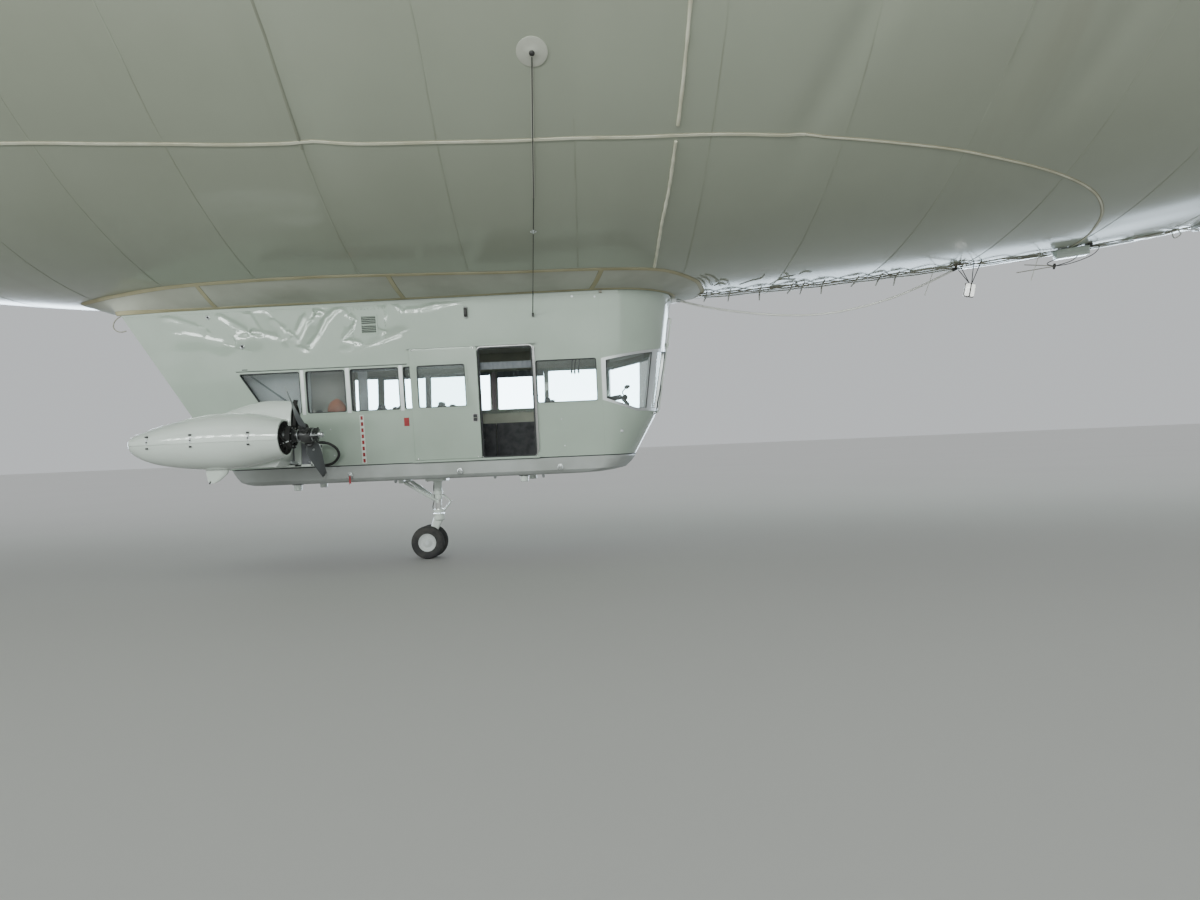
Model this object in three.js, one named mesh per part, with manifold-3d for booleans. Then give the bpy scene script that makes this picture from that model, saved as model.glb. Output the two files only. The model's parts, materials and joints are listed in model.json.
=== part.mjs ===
// Airship: a 1:2 scale model of a 59.9 m pressure airship with a cabin gondola and two engines.
// X points to the nose, Y to port and Z up. The origin is on the hull's axis at its widest station.

import * as THREE from 'three';
import { mergeVertices } from 'three/addons/utils/BufferGeometryUtils.js';
import Module from 'manifold-3d';

const wasm = await Module();
wasm.setup();

// Driving dimensions, in metres of the full-size airship

const modelScale = 0.5;
const groundLevel = -12.0; // the ground that the wheels stand on, below the hull's axis
const gondolaStation = -1.9; // the gondola's middle, from the hull's widest station

const hull = {
  radius: 8.2,
  noseLength: 25.2,
  tailLength: 34.7,
  skin: 0.02,
  noseHole: 0.5,
  tailHole: 0.4,
  segments: 48,
  noseSteps: 9,
  tailSteps: 11,
};

const gondola = {
  wall: 0.04,
  floorHeight: 1.22,
  beltHeight: 1.465,
  sillHeight: 2.235,
  headerHeight: 2.84,
  topHeight: 3.74,
  roofHeight: 3.7994,
  beltHalf: 0.72,
  topHalf: 0.9,
  roofHalf: 0.905,
  roofTail: -3.87,
  roofTip: 4.12,
  tailBelt: -2.43,
  tailTop: -3.83,
  noseStart: 3.05,
  paneThickness: 0.008,
};

const doorOpening = { aft: 1.3, fore: 2.07, bottom: 1.5, top: 3.06 };
const doorPanel = { aft: 0.32, fore: 1.29, top: 3.084, clear: 0.012, windowAft: 0.42, windowFore: 1.11 };
const rail = { aft: 0.28, fore: 2.12, height: 0.03, reach: 0.06 };

const engineLine = { offset: 1.95, height: 1.88, wall: 0.024, flangeStation: -0.99 };
const propeller = { radius: 0.86, station: -0.79, hubRadius: 0.11 };
const outrigger = { fore: -1.22, aft: -1.95, bottom: 1.5, top: 1.82 };

const gear = { station: 0.45, wheelRadius: 0.25, tyreWidth: 0.12, trail: 0.16, legRadius: 0.06 };

const fin = {
  rootFore: -21.3,
  tipFore: -25.4,
  hingeStation: -29.3,
  tipRadius: 8.0,
  rootRadius: 1.9,
  surfaceRootRadius: 2.8,
  rootHalfThickness: 0.2,
  tipHalfThickness: 0.09,
  earLength: 0.05,
  surfaceRootChord: 2.3,
  surfaceTipChord: 1.9,
};

// Small distances in millimetres of the model

const seatGap = 0.3;
const runningGap = 6;

const mm = (metres) => metres * 1000 * modelScale;
const bySide = { starboard: -1, port: 1 };

// Places in the gondola: its station, its side offset and its height over the ground

function place(station, side, height) {
  return new THREE.Vector3(mm(station + gondolaStation), mm(side), mm(height + groundLevel));
}

// Materials

const paint = (color, roughness, metalness = 0) => new THREE.MeshStandardMaterial({ color, roughness, metalness });

const finish = {
  hullFabric: paint(0x8f9186, 0.75),
  whitePaint: paint(0xc9d0c8, 0.3),
  skirtFabric: paint(0x989a90, 0.7),
  greyPaint: paint(0xa9adae, 0.5),
  darkPaint: paint(0x23262a, 0.6),
  bareMetal: paint(0xa8adb2, 0.35, 0.9),
  bladePaint: paint(0x3d4347, 0.5),
  glass: paint(0xb8c8cc, 0.1),
  rubber: paint(0x17181a, 0.85),
  seatFabric: paint(0x44505e, 0.8),
  rope: paint(0xd8d4c8, 0.8),
};

// Solids from points and faces

function signedVolume(positions, faces) {
  let volume = 0;
  for (const [a, b, c] of faces) {
    volume += positions[a].dot(positions[b].clone().cross(positions[c])) / 6;
  }
  return volume;
}

function facesToGeometry(positions, faces) {
  const turned = signedVolume(positions, faces) < 0;
  const geometry = new THREE.BufferGeometry();
  geometry.setAttribute('position', new THREE.Float32BufferAttribute(positions.flatMap((p) => p.toArray()), 3));
  geometry.setIndex(faces.flatMap(([a, b, c]) => (turned ? [a, c, b] : [a, b, c])));
  return geometry;
}

function mergedGeometry(geometry, tolerance = 1e-3) {
  const bare = geometry.clone();
  bare.deleteAttribute('normal');
  bare.deleteAttribute('uv');
  return mergeVertices(bare, tolerance);
}

function toManifold(geometry) {
  const merged = mergedGeometry(geometry);
  const vertProperties = new Float32Array(merged.attributes.position.array);
  const triVerts = new Uint32Array(merged.index.array);
  return new wasm.Manifold(new wasm.Mesh({ numProp: 3, vertProperties, triVerts }));
}

function toGeometry(manifold) {
  const mesh = manifold.getMesh();
  const geometry = new THREE.BufferGeometry();
  geometry.setAttribute('position', new THREE.Float32BufferAttribute(mesh.vertProperties, 3));
  geometry.setIndex(Array.from(mesh.triVerts));
  return geometry;
}

const join = (...pieces) => toGeometry(pieces.map(toManifold).reduce((sum, piece) => sum.add(piece)));
const cut = (body, ...tools) => toGeometry(tools.map(toManifold).reduce((rest, tool) => rest.subtract(tool), toManifold(body)));
const overlap = (body, tool) => toGeometry(toManifold(body).intersect(toManifold(tool)));

// A solid through closed rings of points, capped flat at both ends

function ringSolid(rings) {
  const count = rings[0].length;
  const faces = [];
  for (let row = 0; row < rings.length - 1; row += 1) {
    for (let i = 0; i < count; i += 1) {
      const next = (i + 1) % count;
      const [a, b] = [row * count + i, row * count + next];
      faces.push([a, b, b + count], [a, b + count, a + count]);
    }
  }
  const last = (rings.length - 1) * count;
  for (let i = 1; i < count - 1; i += 1) {
    faces.push([0, i + 1, i], [last, last + i, last + i + 1]);
  }
  return facesToGeometry(rings.flat(), faces);
}

// A solid between an outer and an inner grid of points; it wraps round when its columns form a ring

function shellSolid(columns, rows, outer, inner, wraps) {
  const grid = (point) => {
    const points = [];
    for (let i = 0; i < columns; i += 1) {
      for (let j = 0; j < rows; j += 1) points.push(point(i, j));
    }
    return points;
  };
  const positions = [...grid(outer), ...grid(inner)];
  const index = (side, i, j) => side * columns * rows + (i % columns) * rows + j;
  const faces = [];
  const quad = (a, b, c, d) => faces.push([a, b, c], [a, c, d]);
  const lastColumn = wraps ? columns : columns - 1;
  for (let i = 0; i < lastColumn; i += 1) {
    for (let j = 0; j < rows - 1; j += 1) {
      quad(index(0, i, j), index(0, i + 1, j), index(0, i + 1, j + 1), index(0, i, j + 1));
      quad(index(1, i, j + 1), index(1, i + 1, j + 1), index(1, i + 1, j), index(1, i, j));
    }
    quad(index(0, i, 0), index(1, i, 0), index(1, i + 1, 0), index(0, i + 1, 0));
    quad(index(0, i, rows - 1), index(0, i + 1, rows - 1), index(1, i + 1, rows - 1), index(1, i, rows - 1));
  }
  if (!wraps) {
    for (let j = 0; j < rows - 1; j += 1) {
      quad(index(0, 0, j), index(0, 0, j + 1), index(1, 0, j + 1), index(1, 0, j));
      const end = columns - 1;
      quad(index(1, end, j), index(1, end, j + 1), index(0, end, j + 1), index(0, end, j));
    }
  }
  return facesToGeometry(positions, faces);
}

// A turned solid about the X axis from pairs of station and radius, in millimetres

function turned(profile, segments) {
  const points = profile.map(([station, radius]) => new THREE.Vector2(radius, station));
  const geometry = mergedGeometry(new THREE.LatheGeometry(points, segments));
  geometry.rotateZ(-Math.PI / 2);
  const corner = (i) => new THREE.Vector3().fromBufferAttribute(geometry.attributes.position, i);
  const positions = Array.from({ length: geometry.attributes.position.count }, (_, i) => corner(i));
  const faces = [];
  for (let i = 0; i < geometry.index.count; i += 3) {
    const [a, b, c] = [0, 1, 2].map((k) => geometry.index.getX(i + k));
    if (a !== b && b !== c && c !== a) faces.push([a, b, c]);
  }
  return facesToGeometry(positions, faces);
}

function box(low, high) {
  const size = high.clone().sub(low);
  const middle = high.clone().add(low).multiplyScalar(0.5);
  return new THREE.BoxGeometry(size.x, size.y, size.z).translate(middle.x, middle.y, middle.z);
}

// A round bar between two points

function bar(start, end, radius, segments = 12) {
  const along = end.clone().sub(start);
  const geometry = new THREE.CylinderGeometry(radius, radius, along.length(), segments);
  geometry.translate(0, along.length() / 2, 0);
  geometry.applyQuaternion(new THREE.Quaternion().setFromUnitVectors(new THREE.Vector3(0, 1, 0), along.normalize()));
  return geometry.translate(start.x, start.y, start.z);
}

// A round tube along a smooth line through points

function roundTube(points, radius, steps, curveSegments = 2) {
  const curve = new THREE.CatmullRomCurve3(points, false, 'centripetal');
  const section = new THREE.Shape().absarc(0, 0, radius, 0, 2 * Math.PI);
  return new THREE.ExtrudeGeometry(section, { steps, curveSegments, extrudePath: curve, bevelEnabled: false });
}

// The same shape on the port side

function mirrored(geometry) {
  const copy = geometry.clone().scale(1, -1, 1);
  const index = copy.index ?? null;
  if (index) {
    for (let i = 0; i < index.count; i += 3) {
      const [b, c] = [index.getX(i + 1), index.getX(i + 2)];
      index.setX(i + 1, c);
      index.setX(i + 2, b);
    }
  }
  return copy;
}

const forSide = (side, geometry) => (side === 'starboard' ? geometry : mirrored(geometry));

// The hull: an ellipse to the nose and a parabola to the tail, turned about X

function hullRadiusAt(x) {
  if (x >= 0) return hull.radius * Math.sqrt(Math.max(0, 1 - (x / hull.noseLength) ** 2));
  return hull.radius * (1 - (x / hull.tailLength) ** 2);
}

function hullSlopeAt(x) {
  if (x >= 0) return (-hull.radius * x) / (hull.noseLength ** 2 * Math.sqrt(1 - (x / hull.noseLength) ** 2));
  return (-2 * hull.radius * x) / hull.tailLength ** 2;
}

function hullStations() {
  const noseAngle = Math.asin(hull.noseHole / hull.radius);
  const tailEnd = hull.tailLength * Math.sqrt(1 - hull.tailHole / hull.radius);
  const stations = [];
  for (let k = 0; k <= hull.noseSteps; k += 1) {
    const angle = noseAngle + ((Math.PI / 2 - noseAngle) * k) / hull.noseSteps;
    stations.push(hull.noseLength * Math.cos(angle));
  }
  stations[hull.noseSteps] = 0;
  for (let k = 1; k <= hull.tailSteps; k += 1) stations.push((-tailEnd * k) / hull.tailSteps);
  return stations;
}

// A point of the hull's surface, raised along its normal; angle 0 is at the bottom and grows to port

function hullPoint(x, angle, raised = 0) {
  const slope = hullSlopeAt(x);
  const steep = Math.hypot(1, slope);
  const along = x - (raised * slope) / steep;
  const radius = hullRadiusAt(x) + raised / steep;
  return new THREE.Vector3(mm(along), mm(radius * Math.sin(angle)), mm(-radius * Math.cos(angle)));
}

function hullBottomAt(x, side) {
  return -Math.sqrt(hullRadiusAt(x) ** 2 - side ** 2);
}

const stations = hullStations();
const hullAngle = (i) => (2 * Math.PI * i) / hull.segments;
const gapMetres = seatGap / 1000 / modelScale;

function envelope() {
  const outer = (i, j) => hullPoint(stations[j], hullAngle(i));
  const inner = (i, j) => hullPoint(stations[j], hullAngle(i), -hull.skin);
  return shellSolid(hull.segments, stations.length, outer, inner, true);
}

// The hull's outside, a hair larger, to seat what stands on it

function hullCutter(foremost, aftmost) {
  const used = stations.filter((x) => x <= foremost && x >= aftmost);
  const ring = (x) => Array.from({ length: hull.segments }, (_, i) => hullPoint(x, hullAngle(i), gapMetres));
  return ringSolid(used.map(ring));
}

// Nose: a dish with radial battens, and the mooring spindle in front of it

const nose = { dishRadius: 1.05, dishThickness: 0.06, flatRadius: 0.3, battens: 12, battenReach: 3.7, battenHalf: 0.07 };

const noseStationAt = (radius) => hull.noseLength * Math.sqrt(1 - (radius / hull.radius) ** 2);

function noseDish() {
  const front = mm(hull.noseLength + nose.dishThickness);
  const steps = [0, 0.25, 0.5, 0.75, 1];
  const inner = steps.map((t) => [mm(noseStationAt(t * nose.dishRadius)) + seatGap, mm(t * nose.dishRadius)]);
  const rimOuter = [0.95, 0.65, 0.4].map((t) => t * nose.dishRadius);
  const outer = rimOuter.map((radius) => [mm(noseStationAt(radius) + nose.dishThickness), mm(radius)]);
  const profile = [...inner, ...outer, [front, mm(nose.flatRadius)], [front, 0]];
  return turned(profile, 24);
}

function noseBatten(angle) {
  const rows = 4;
  const reachAt = (j) => 0.8 + ((nose.battenReach - 0.8) * j) / (rows - 1);
  const spread = (i, radius) => angle + ((i === 0 ? -1 : 1) * nose.battenHalf) / radius;
  const surface = (raised) => (i, j) => hullPoint(noseStationAt(reachAt(j)), spread(i, reachAt(j)), raised);
  return shellSolid(2, rows, surface(0.045), surface(-0.04), false);
}

function noseCone() {
  const battens = Array.from({ length: nose.battens }, (_, k) => noseBatten((2 * Math.PI * k) / nose.battens));
  return cut(join(noseDish(), ...battens), hullCutter(26, 10));
}

function mooringSpindle() {
  const base = hull.noseLength + nose.dishThickness;
  const profile = [[base, 0], [base, 0.2], [base + 0.04, 0.2], [base + 0.08, 0.09], [base + 0.2, 0.07],
    [base + 0.22, 0.12], [base + 0.3, 0.12], [base + 0.34, 0.06], [base + 0.34, 0]];
  const sized = profile.map(([station, radius]) => [mm(station), mm(radius)]);
  return turned(sized, 16).translate(seatGap, 0, 0);
}

function tailCone() {
  const edge = 0.75;
  const tailAt = (radius) => -hull.tailLength * Math.sqrt(1 - radius / hull.radius);
  const inner = [[tailAt(0.4) - 0.01, 0], [tailAt(0.4) - 0.01, 0.402], [tailAt(edge), edge - 0.03]];
  const outer = [[tailAt(edge) - 0.1, edge + 0.03], [0.55 - hull.tailLength, 0.22], [0.4 - hull.tailLength, 0]];
  const cone = turned([...inner, ...outer].map(([station, radius]) => [mm(station), mm(radius)]), 24);
  return cut(cone, hullCutter(-18, -34.6));
}

// Fins, built pointing up and then turned about the hull's axis

const finAngles = { upper_starboard: 45, upper_port: -45, lower_starboard: 135, lower_port: -135 };

function finSection(fore, aft, radius, half) {
  const chord = fore - aft;
  const points = [[fore, 0], [fore - 0.08 * chord, 0.55], [fore - 0.3 * chord, 1], [aft, 0.8]];
  const mirroredPoints = [[aft, -0.8], [fore - 0.3 * chord, -1], [fore - 0.08 * chord, -0.55]];
  return [...points, ...mirroredPoints].map(([x, y]) => new THREE.Vector3(mm(x), mm(y * half), mm(radius)));
}

const hingeRadius = fin.rootHalfThickness * 0.6;

function fixedFin() {
  const aft = fin.hingeStation + hingeRadius + runningGap / 1000 / modelScale;
  const blade = ringSolid([
    finSection(fin.rootFore, aft, fin.rootRadius, fin.rootHalfThickness),
    finSection(fin.tipFore, aft, fin.tipRadius, fin.tipHalfThickness),
  ]);
  const ear = (radius, outward) => {
    const low = new THREE.Vector3(mm(fin.hingeStation - 0.12), mm(-0.1), mm(radius) + outward * seatGap);
    const high = new THREE.Vector3(mm(aft + 0.3), mm(0.1), mm(radius + outward * fin.earLength) + outward * seatGap);
    const [bottom, top] = outward > 0 ? [low, high] : [low.clone().setZ(high.z), high.clone().setZ(low.z)];
    return box(bottom, top);
  };
  const whole = join(blade, ear(fin.tipRadius - fin.earLength, 1), ear(fin.surfaceRootRadius, -1));
  return cut(whole, hullCutter(-18, -34.5));
}

function controlSurface() {
  const section = (radius, chord, half) => {
    const nose = [90, 60, 30, 0, -30, -60, -90].map((degrees) => {
      const angle = THREE.MathUtils.degToRad(degrees);
      return [fin.hingeStation + half * Math.cos(angle), half * Math.sin(angle)];
    });
    const trailing = [[fin.hingeStation - chord, -0.012], [fin.hingeStation - chord, 0.012]];
    return [...nose, ...trailing].map(([x, y]) => new THREE.Vector3(mm(x), mm(y), mm(radius)));
  };
  const tip = fin.tipRadius - fin.earLength;
  return ringSolid([
    section(fin.surfaceRootRadius, fin.surfaceRootChord, hingeRadius),
    section(tip, fin.surfaceTipChord, fin.tipHalfThickness * 0.8),
  ]);
}

// Gondola walls lean out evenly from the belt to the top

function halfWidthAt(height) {
  const rise = (height - gondola.beltHeight) / (gondola.topHeight - gondola.beltHeight);
  return gondola.beltHalf + (gondola.topHalf - gondola.beltHalf) * rise;
}

function tailStationAt(height) {
  const rise = (height - gondola.beltHeight) / (gondola.topHeight - gondola.beltHeight);
  return gondola.tailBelt + (gondola.tailTop - gondola.tailBelt) * rise;
}

// Rounded nose: height over the ground and the station of the tip

const noseTips = [[1.22, 3.0], [1.465, 3.48], [2.07, 3.83], [3.0, 4.0], [3.74, 4.11]];

function noseTipAt(height) {
  const row = noseTips.findIndex(([level], k) => k < noseTips.length - 2 && height <= noseTips[k + 1][0] && height >= level);
  const [[lowHeight, lowTip], [highHeight, highTip]] = row < 0 ? noseTips.slice(-2) : noseTips.slice(row, row + 2);
  return lowTip + ((highTip - lowTip) * (height - lowHeight)) / (highHeight - lowHeight);
}

function nosePoint(angle, height, inset = 0) {
  const start = gondola.noseStart + gapMetres;
  const reach = noseTipAt(height) - start - inset;
  return place(start + reach * Math.cos(angle), (halfWidthAt(height) - inset) * Math.sin(angle), height);
}

// A flat shape in station and height, given thickness and leaned with the side wall

function wallPlate(outline, outside, thickness) {
  const shape = new THREE.Shape(outline.map(([s, h]) => new THREE.Vector2(s, h)));
  const flat = mergedGeometry(new THREE.ExtrudeGeometry(shape, { depth: thickness, bevelEnabled: false }), 1e-5);
  const corner = new THREE.Vector3();
  const positions = [];
  for (let i = 0; i < flat.attributes.position.count; i += 1) {
    corner.fromBufferAttribute(flat.attributes.position, i);
    positions.push(place(corner.x, -(halfWidthAt(corner.y) + outside - corner.z), corner.y));
  }
  const faces = [];
  for (let i = 0; i < flat.index.count; i += 3) {
    faces.push([flat.index.getX(i), flat.index.getX(i + 1), flat.index.getX(i + 2)]);
  }
  return facesToGeometry(positions, faces);
}

// The same plate with holes cut right through it

function windowedPlate(outline, holes, outside, thickness) {
  const cutters = holes.map((hole) => wallPlate(hole, outside + 0.02, thickness + 0.04));
  return cut(wallPlate(outline, outside, thickness), ...cutters);
}

const rectangle = (aft, fore, bottom, top) => [[aft, bottom], [fore, bottom], [fore, top], [aft, top]];

// Cabin windows, aft to fore: the slanted one first, then stations of each one's edges

const slantedWindow = [[-1.8, 2.245], [-1.3, 2.245], [-1.3, 2.845], [-2.18, 2.845]];
const cabinWindows = [[-1.21, -0.64], [-0.56, 0.14], [0.21, 1.19]];
const frontWindow = [2.12, 2.98];
const windowSpan = (aft, fore) => rectangle(aft, fore, 2.245, 2.845);

function sideOutline() {
  const bottom = gondola.beltHeight + gapMetres;
  const top = gondola.topHeight - gapMetres;
  return [[tailStationAt(bottom), bottom], [gondola.noseStart, bottom], [gondola.noseStart, top], [tailStationAt(top), top]];
}

function railBar(bottom) {
  const corner = (station, out, height) => place(station, -(halfWidthAt(height) + out), height);
  const ring = (station) => [
    corner(station, -0.02, bottom),
    corner(station, rail.reach, bottom),
    corner(station, rail.reach, bottom + rail.height),
    corner(station, -0.02, bottom + rail.height),
  ];
  return ringSolid([ring(rail.aft), ring(rail.fore)]);
}

function starboardSide() {
  const door = rectangle(doorOpening.aft, doorOpening.fore, doorOpening.bottom, doorOpening.top);
  const windows = [slantedWindow, ...cabinWindows.map(([a, f]) => windowSpan(a, f)), windowSpan(...frontWindow), door];
  const plate = windowedPlate(sideOutline(), windows, 0, gondola.wall);
  return join(plate, railBar(doorPanel.top), railBar(gondola.beltHeight + gapMetres));
}

function portSide() {
  const doorwayWindow = windowSpan(doorOpening.aft, doorOpening.fore);
  const windows = [slantedWindow, ...cabinWindows.map(([a, f]) => windowSpan(a, f)), doorwayWindow, windowSpan(...frontWindow)];
  return mirrored(windowedPlate(sideOutline(), windows, 0, gondola.wall));
}

function pane(aftTop, aftBottom, fore) {
  const outline = [[aftBottom, 2.19], [fore, 2.19], [fore, 2.885], [aftTop, 2.885]];
  return wallPlate(outline, -gondola.wall - gapMetres, gondola.paneThickness);
}

// Lower edge of the glazing falls and its upper edge rises towards the nose

const chinTopAt = (station) => 2.08 + 0.17 * Math.max(0, 1 - (station - gondola.noseStart) / 0.47);
const browBottomAt = (station) => gondola.headerHeight + 0.167 * (station - gondola.noseStart);
const arcAngle = (i, columns, limit = Math.PI / 2) => -limit + (2 * limit * i) / (columns - 1);

function stationOnArc(angle, height) {
  return gondola.noseStart + (noseTipAt(height) - gondola.noseStart) * Math.cos(angle);
}

const glassBottom = (angle) => chinTopAt(stationOnArc(angle, 2.1));
const glassTop = (angle) => browBottomAt(stationOnArc(angle, 2.95));

function noseShell(columns, rows, low, high, from, to) {
  const point = (inset) => (i, j) => {
    const angle = arcAngle(i, columns);
    const height = low(angle) + ((high(angle) - low(angle)) * j) / (rows - 1);
    return nosePoint(angle, height, inset);
  };
  return shellSolid(columns, rows, point(from), point(to), false);
}

function chin() {
  return noseShell(13, 4, () => gondola.beltHeight + gapMetres, (angle) => glassBottom(angle), 0, gondola.wall);
}

function brow() {
  return noseShell(13, 3, (angle) => glassTop(angle), () => gondola.topHeight - gapMetres, 0, gondola.wall);
}

function windscreenFrame() {
  const railHeight = 0.05;
  const bottom = (angle) => glassBottom(angle) + gapMetres;
  const top = (angle) => glassTop(angle) - gapMetres;
  const lowRail = noseShell(13, 2, bottom, (angle) => bottom(angle) + railHeight, 0, gondola.wall);
  const highRail = noseShell(13, 2, (angle) => top(angle) - railHeight, top, 0, gondola.wall);
  const pillar = (middle, half) => {
    const point = (inset) => (i, j) => {
      const angle = THREE.MathUtils.clamp(middle + (i === 0 ? -half : half), -Math.PI / 2, Math.PI / 2);
      const [low, high] = [bottom(angle) + 0.02, top(angle) - 0.02];
      return nosePoint(angle, low + ((high - low) * j) / 3, inset);
    };
    return shellSolid(2, 4, point(0), point(gondola.wall), false);
  };
  const degrees = THREE.MathUtils.degToRad;
  const places = [[-88, 2.5], [-36, 3], [0, 2], [36, 3], [88, 2.5]];
  return join(lowRail, highRail, ...places.map(([middle, half]) => pillar(degrees(middle), degrees(half))));
}

function cockpitGlass() {
  const inner = gondola.wall + gapMetres * 3;
  const bottom = (angle) => glassBottom(angle) + 0.012;
  const top = (angle) => glassTop(angle) - 0.012;
  return noseShell(13, 3, bottom, top, inner, inner + gondola.paneThickness);
}

function planOutline(half, tail, start, tip, height) {
  const arc = Array.from({ length: 13 }, (_, i) => arcAngle(i, 13));
  const round = arc.map((angle) => place(start + (tip - start) * Math.cos(angle), half * Math.sin(angle), height));
  return [place(tail, -half, height), ...round, place(tail, half, height)];
}

function floorTub() {
  const top = gondola.beltHeight;
  return ringSolid([
    planOutline(0.64, -2.15, 2.6, 3.0, gondola.floorHeight),
    planOutline(0.7, -2.32, 2.95, 3.33, gondola.floorHeight + 0.06),
    planOutline(gondola.beltHalf, gondola.tailBelt, gondola.noseStart, 3.48, top),
  ]);
}

function roof() {
  const bottom = planOutline(gondola.topHalf, gondola.roofTail + 0.04, gondola.noseStart, 4.11, gondola.topHeight);
  const top = planOutline(gondola.roofHalf, gondola.roofTail, gondola.noseStart, gondola.roofTip, gondola.roofHeight);
  return ringSolid([bottom, top]);
}

function tailWall() {
  const row = (height) => {
    const side = halfWidthAt(height) - gondola.wall - gapMetres;
    const station = tailStationAt(height);
    return [place(station, -side, height), place(station + 0.047, -side, height),
      place(station + 0.047, side, height), place(station, side, height)];
  };
  return ringSolid([row(gondola.beltHeight + gapMetres), row(gondola.topHeight - gapMetres)]);
}

// The fabric skirt closes the step between the gondola's roof and the hull

// Each row: station and half width of its outer edge on the hull, then of its inner edge under the roof's side

const skirtThickness = 0.02;
const skirtRows = [
  [-4.95, 0, -3.8, 0],
  [-4.85, 0.25, -3.8, 0.35],
  [-4.4, 0.6, -3.8, 0.7],
  [-3.9, 0.9, -3.78, 0.85],
  [-3.09, 1.27, -3.0, 0.85],
  [-2.1, 1.54, -2.1, 0.85],
  [-0.64, 1.73, -0.64, 0.85],
  [0.68, 1.74, 0.68, 0.85],
  [1.76, 1.68, 1.76, 0.85],
  [2.55, 1.63, 2.4, 0.85],
  [3.21, 1.55, 3.0, 0.84],
  [3.82, 1.42, 3.45, 0.77],
  [4.16, 1.2, 3.75, 0.6],
  [4.46, 0.77, 3.96, 0.36],
  [4.56, 0.35, 4.05, 0.17],
  [4.6, 0, 4.07, 0],
];

function skirtRing() {
  const otherSide = skirtRows.slice(1, -1).reverse();
  const columns = skirtRows.length + otherSide.length;
  const rowAt = (i) => {
    const first = i < skirtRows.length;
    const [outerStation, outerHalf, innerStation, innerHalf] = first ? skirtRows[i] : otherSide[i - skirtRows.length];
    const sign = first ? -1 : 1;
    return { outer: [outerStation, sign * outerHalf], inner: [innerStation, sign * innerHalf] };
  };
  const corner = (i, j, lower) => {
    const row = rowAt(i % columns);
    const [station, side] = j === 0 ? row.inner : row.outer;
    const hullHeight = hullBottomAt(station + gondolaStation, side) - groundLevel - gapMetres;
    const upper = j === 0 ? gondola.roofHeight - 0.01 : hullHeight;
    return place(station, side, lower ? upper - skirtThickness : upper);
  };
  const ring = shellSolid(columns, 2, (i, j) => corner(i, j, true), (i, j) => corner(i, j, false), true);
  return cut(ring, roofPrism(gapMetres));
}

// The roof's outline as a tall prism, grown by a gap

function roofPrism(grown) {
  const tail = gondola.roofTail - grown;
  const tip = gondola.roofTip + grown;
  const outline = (height) => planOutline(gondola.roofHalf + grown, tail, gondola.noseStart, tip, height);
  return ringSolid([outline(3.6), outline(3.95)]);
}

// Sliding door, pushed aft along its rails as in the photograph

function cabinDoor() {
  const bottom = gondola.beltHeight + rail.height + gapMetres * 2;
  const outline = rectangle(doorPanel.aft, doorPanel.fore, bottom, doorPanel.top - gapMetres);
  const window = rectangle(doorPanel.windowAft, doorPanel.windowFore, 2.245, 2.845);
  return windowedPlate(outline, [window], doorPanel.clear + gondola.wall, gondola.wall);
}

function doorGlass() {
  const edge = 0.0006;
  const outline = rectangle(doorPanel.windowAft + edge, doorPanel.windowFore - edge, 2.2456, 2.8444);
  return wallPlate(outline, doorPanel.clear + 0.024, gondola.paneThickness);
}

// Seats: a pair on one floor frame, at the station of the seats' front edge

function seatPair(station, spacing, backHeight) {
  const floor = gondola.beltHeight + gapMetres;
  const piece = (aft, fore, right, left, bottom, top) => box(place(aft, right, bottom), place(fore, left, top));
  const parts = [piece(station - 0.42, station - 0.34, -spacing - 0.1, spacing + 0.1, floor, floor + 0.05)];
  for (const side of [-spacing, spacing]) {
    parts.push(piece(station - 0.42, station - 0.34, side - 0.12, side + 0.12, floor, floor + 0.3));
    parts.push(piece(station - 0.48, station, side - 0.22, side + 0.22, floor + 0.29, floor + 0.44));
    parts.push(piece(station - 0.56, station - 0.44, side - 0.21, side + 0.21, floor + 0.3, backHeight));
    parts.push(piece(station - 0.55, station - 0.46, side - 0.12, side + 0.12, backHeight - 0.05, backHeight + 0.17));
  }
  return join(...parts);
}

function instrumentConsole() {
  const floor = gondola.beltHeight + gapMetres;
  const section = (side) => [
    place(2.95, side, floor), place(3.27, side, floor), place(3.3, side, 2.0), place(3.12, side, 2.13), place(3.0, side, 2.08),
  ];
  const desk = ringSolid([section(-0.42), section(0.42)]);
  const pedestal = box(place(2.75, -0.1, floor), place(3.0, 0.1, 1.95));
  return join(desk, pedestal);
}

// Engine nacelle, starboard side: station, half width, height above and depth below its axis

const nacelleSections = [
  [-3.15, 0.05, 0.05, 0.06],
  [-3.08, 0.16, 0.1, 0.16],
  [-2.85, 0.26, 0.18, 0.27],
  [-2.5, 0.35, 0.27, 0.34],
  [-2.1, 0.4, 0.34, 0.38],
  [-1.75, 0.4, 0.35, 0.38],
  [-1.4, 0.36, 0.32, 0.33],
  [-1.07, 0.27, 0.24, 0.25],
];

// The air scoop on the nacelle's inboard shoulder: station, half width, height of its ridge over the axis

const scoopSections = [
  [-2.15, 0.1, 0.3],
  [-1.85, 0.16, 0.42],
  [-1.5, 0.2, 0.5],
  [-1.04, 0.2, 0.49],
];

const scoopSide = 1.66;

function nacelleSolid(inset, front = 0) {
  const sides = 20;
  const ring = ([station, half, above, below], row) => {
    const moved = row === nacelleSections.length - 1 ? station + front : station + (row === 0 ? inset * 2 : 0);
    return Array.from({ length: sides }, (_, k) => {
      const angle = (2 * Math.PI * k) / sides;
      const rise = Math.sin(angle);
      const across = Math.max(0.02, half - inset) * Math.cos(angle);
      const upright = Math.max(0.02, (rise > 0 ? above : below) - inset) * rise;
      return place(moved, -engineLine.offset + across, engineLine.height + upright);
    });
  };
  return ringSolid(nacelleSections.map(ring));
}

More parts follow.
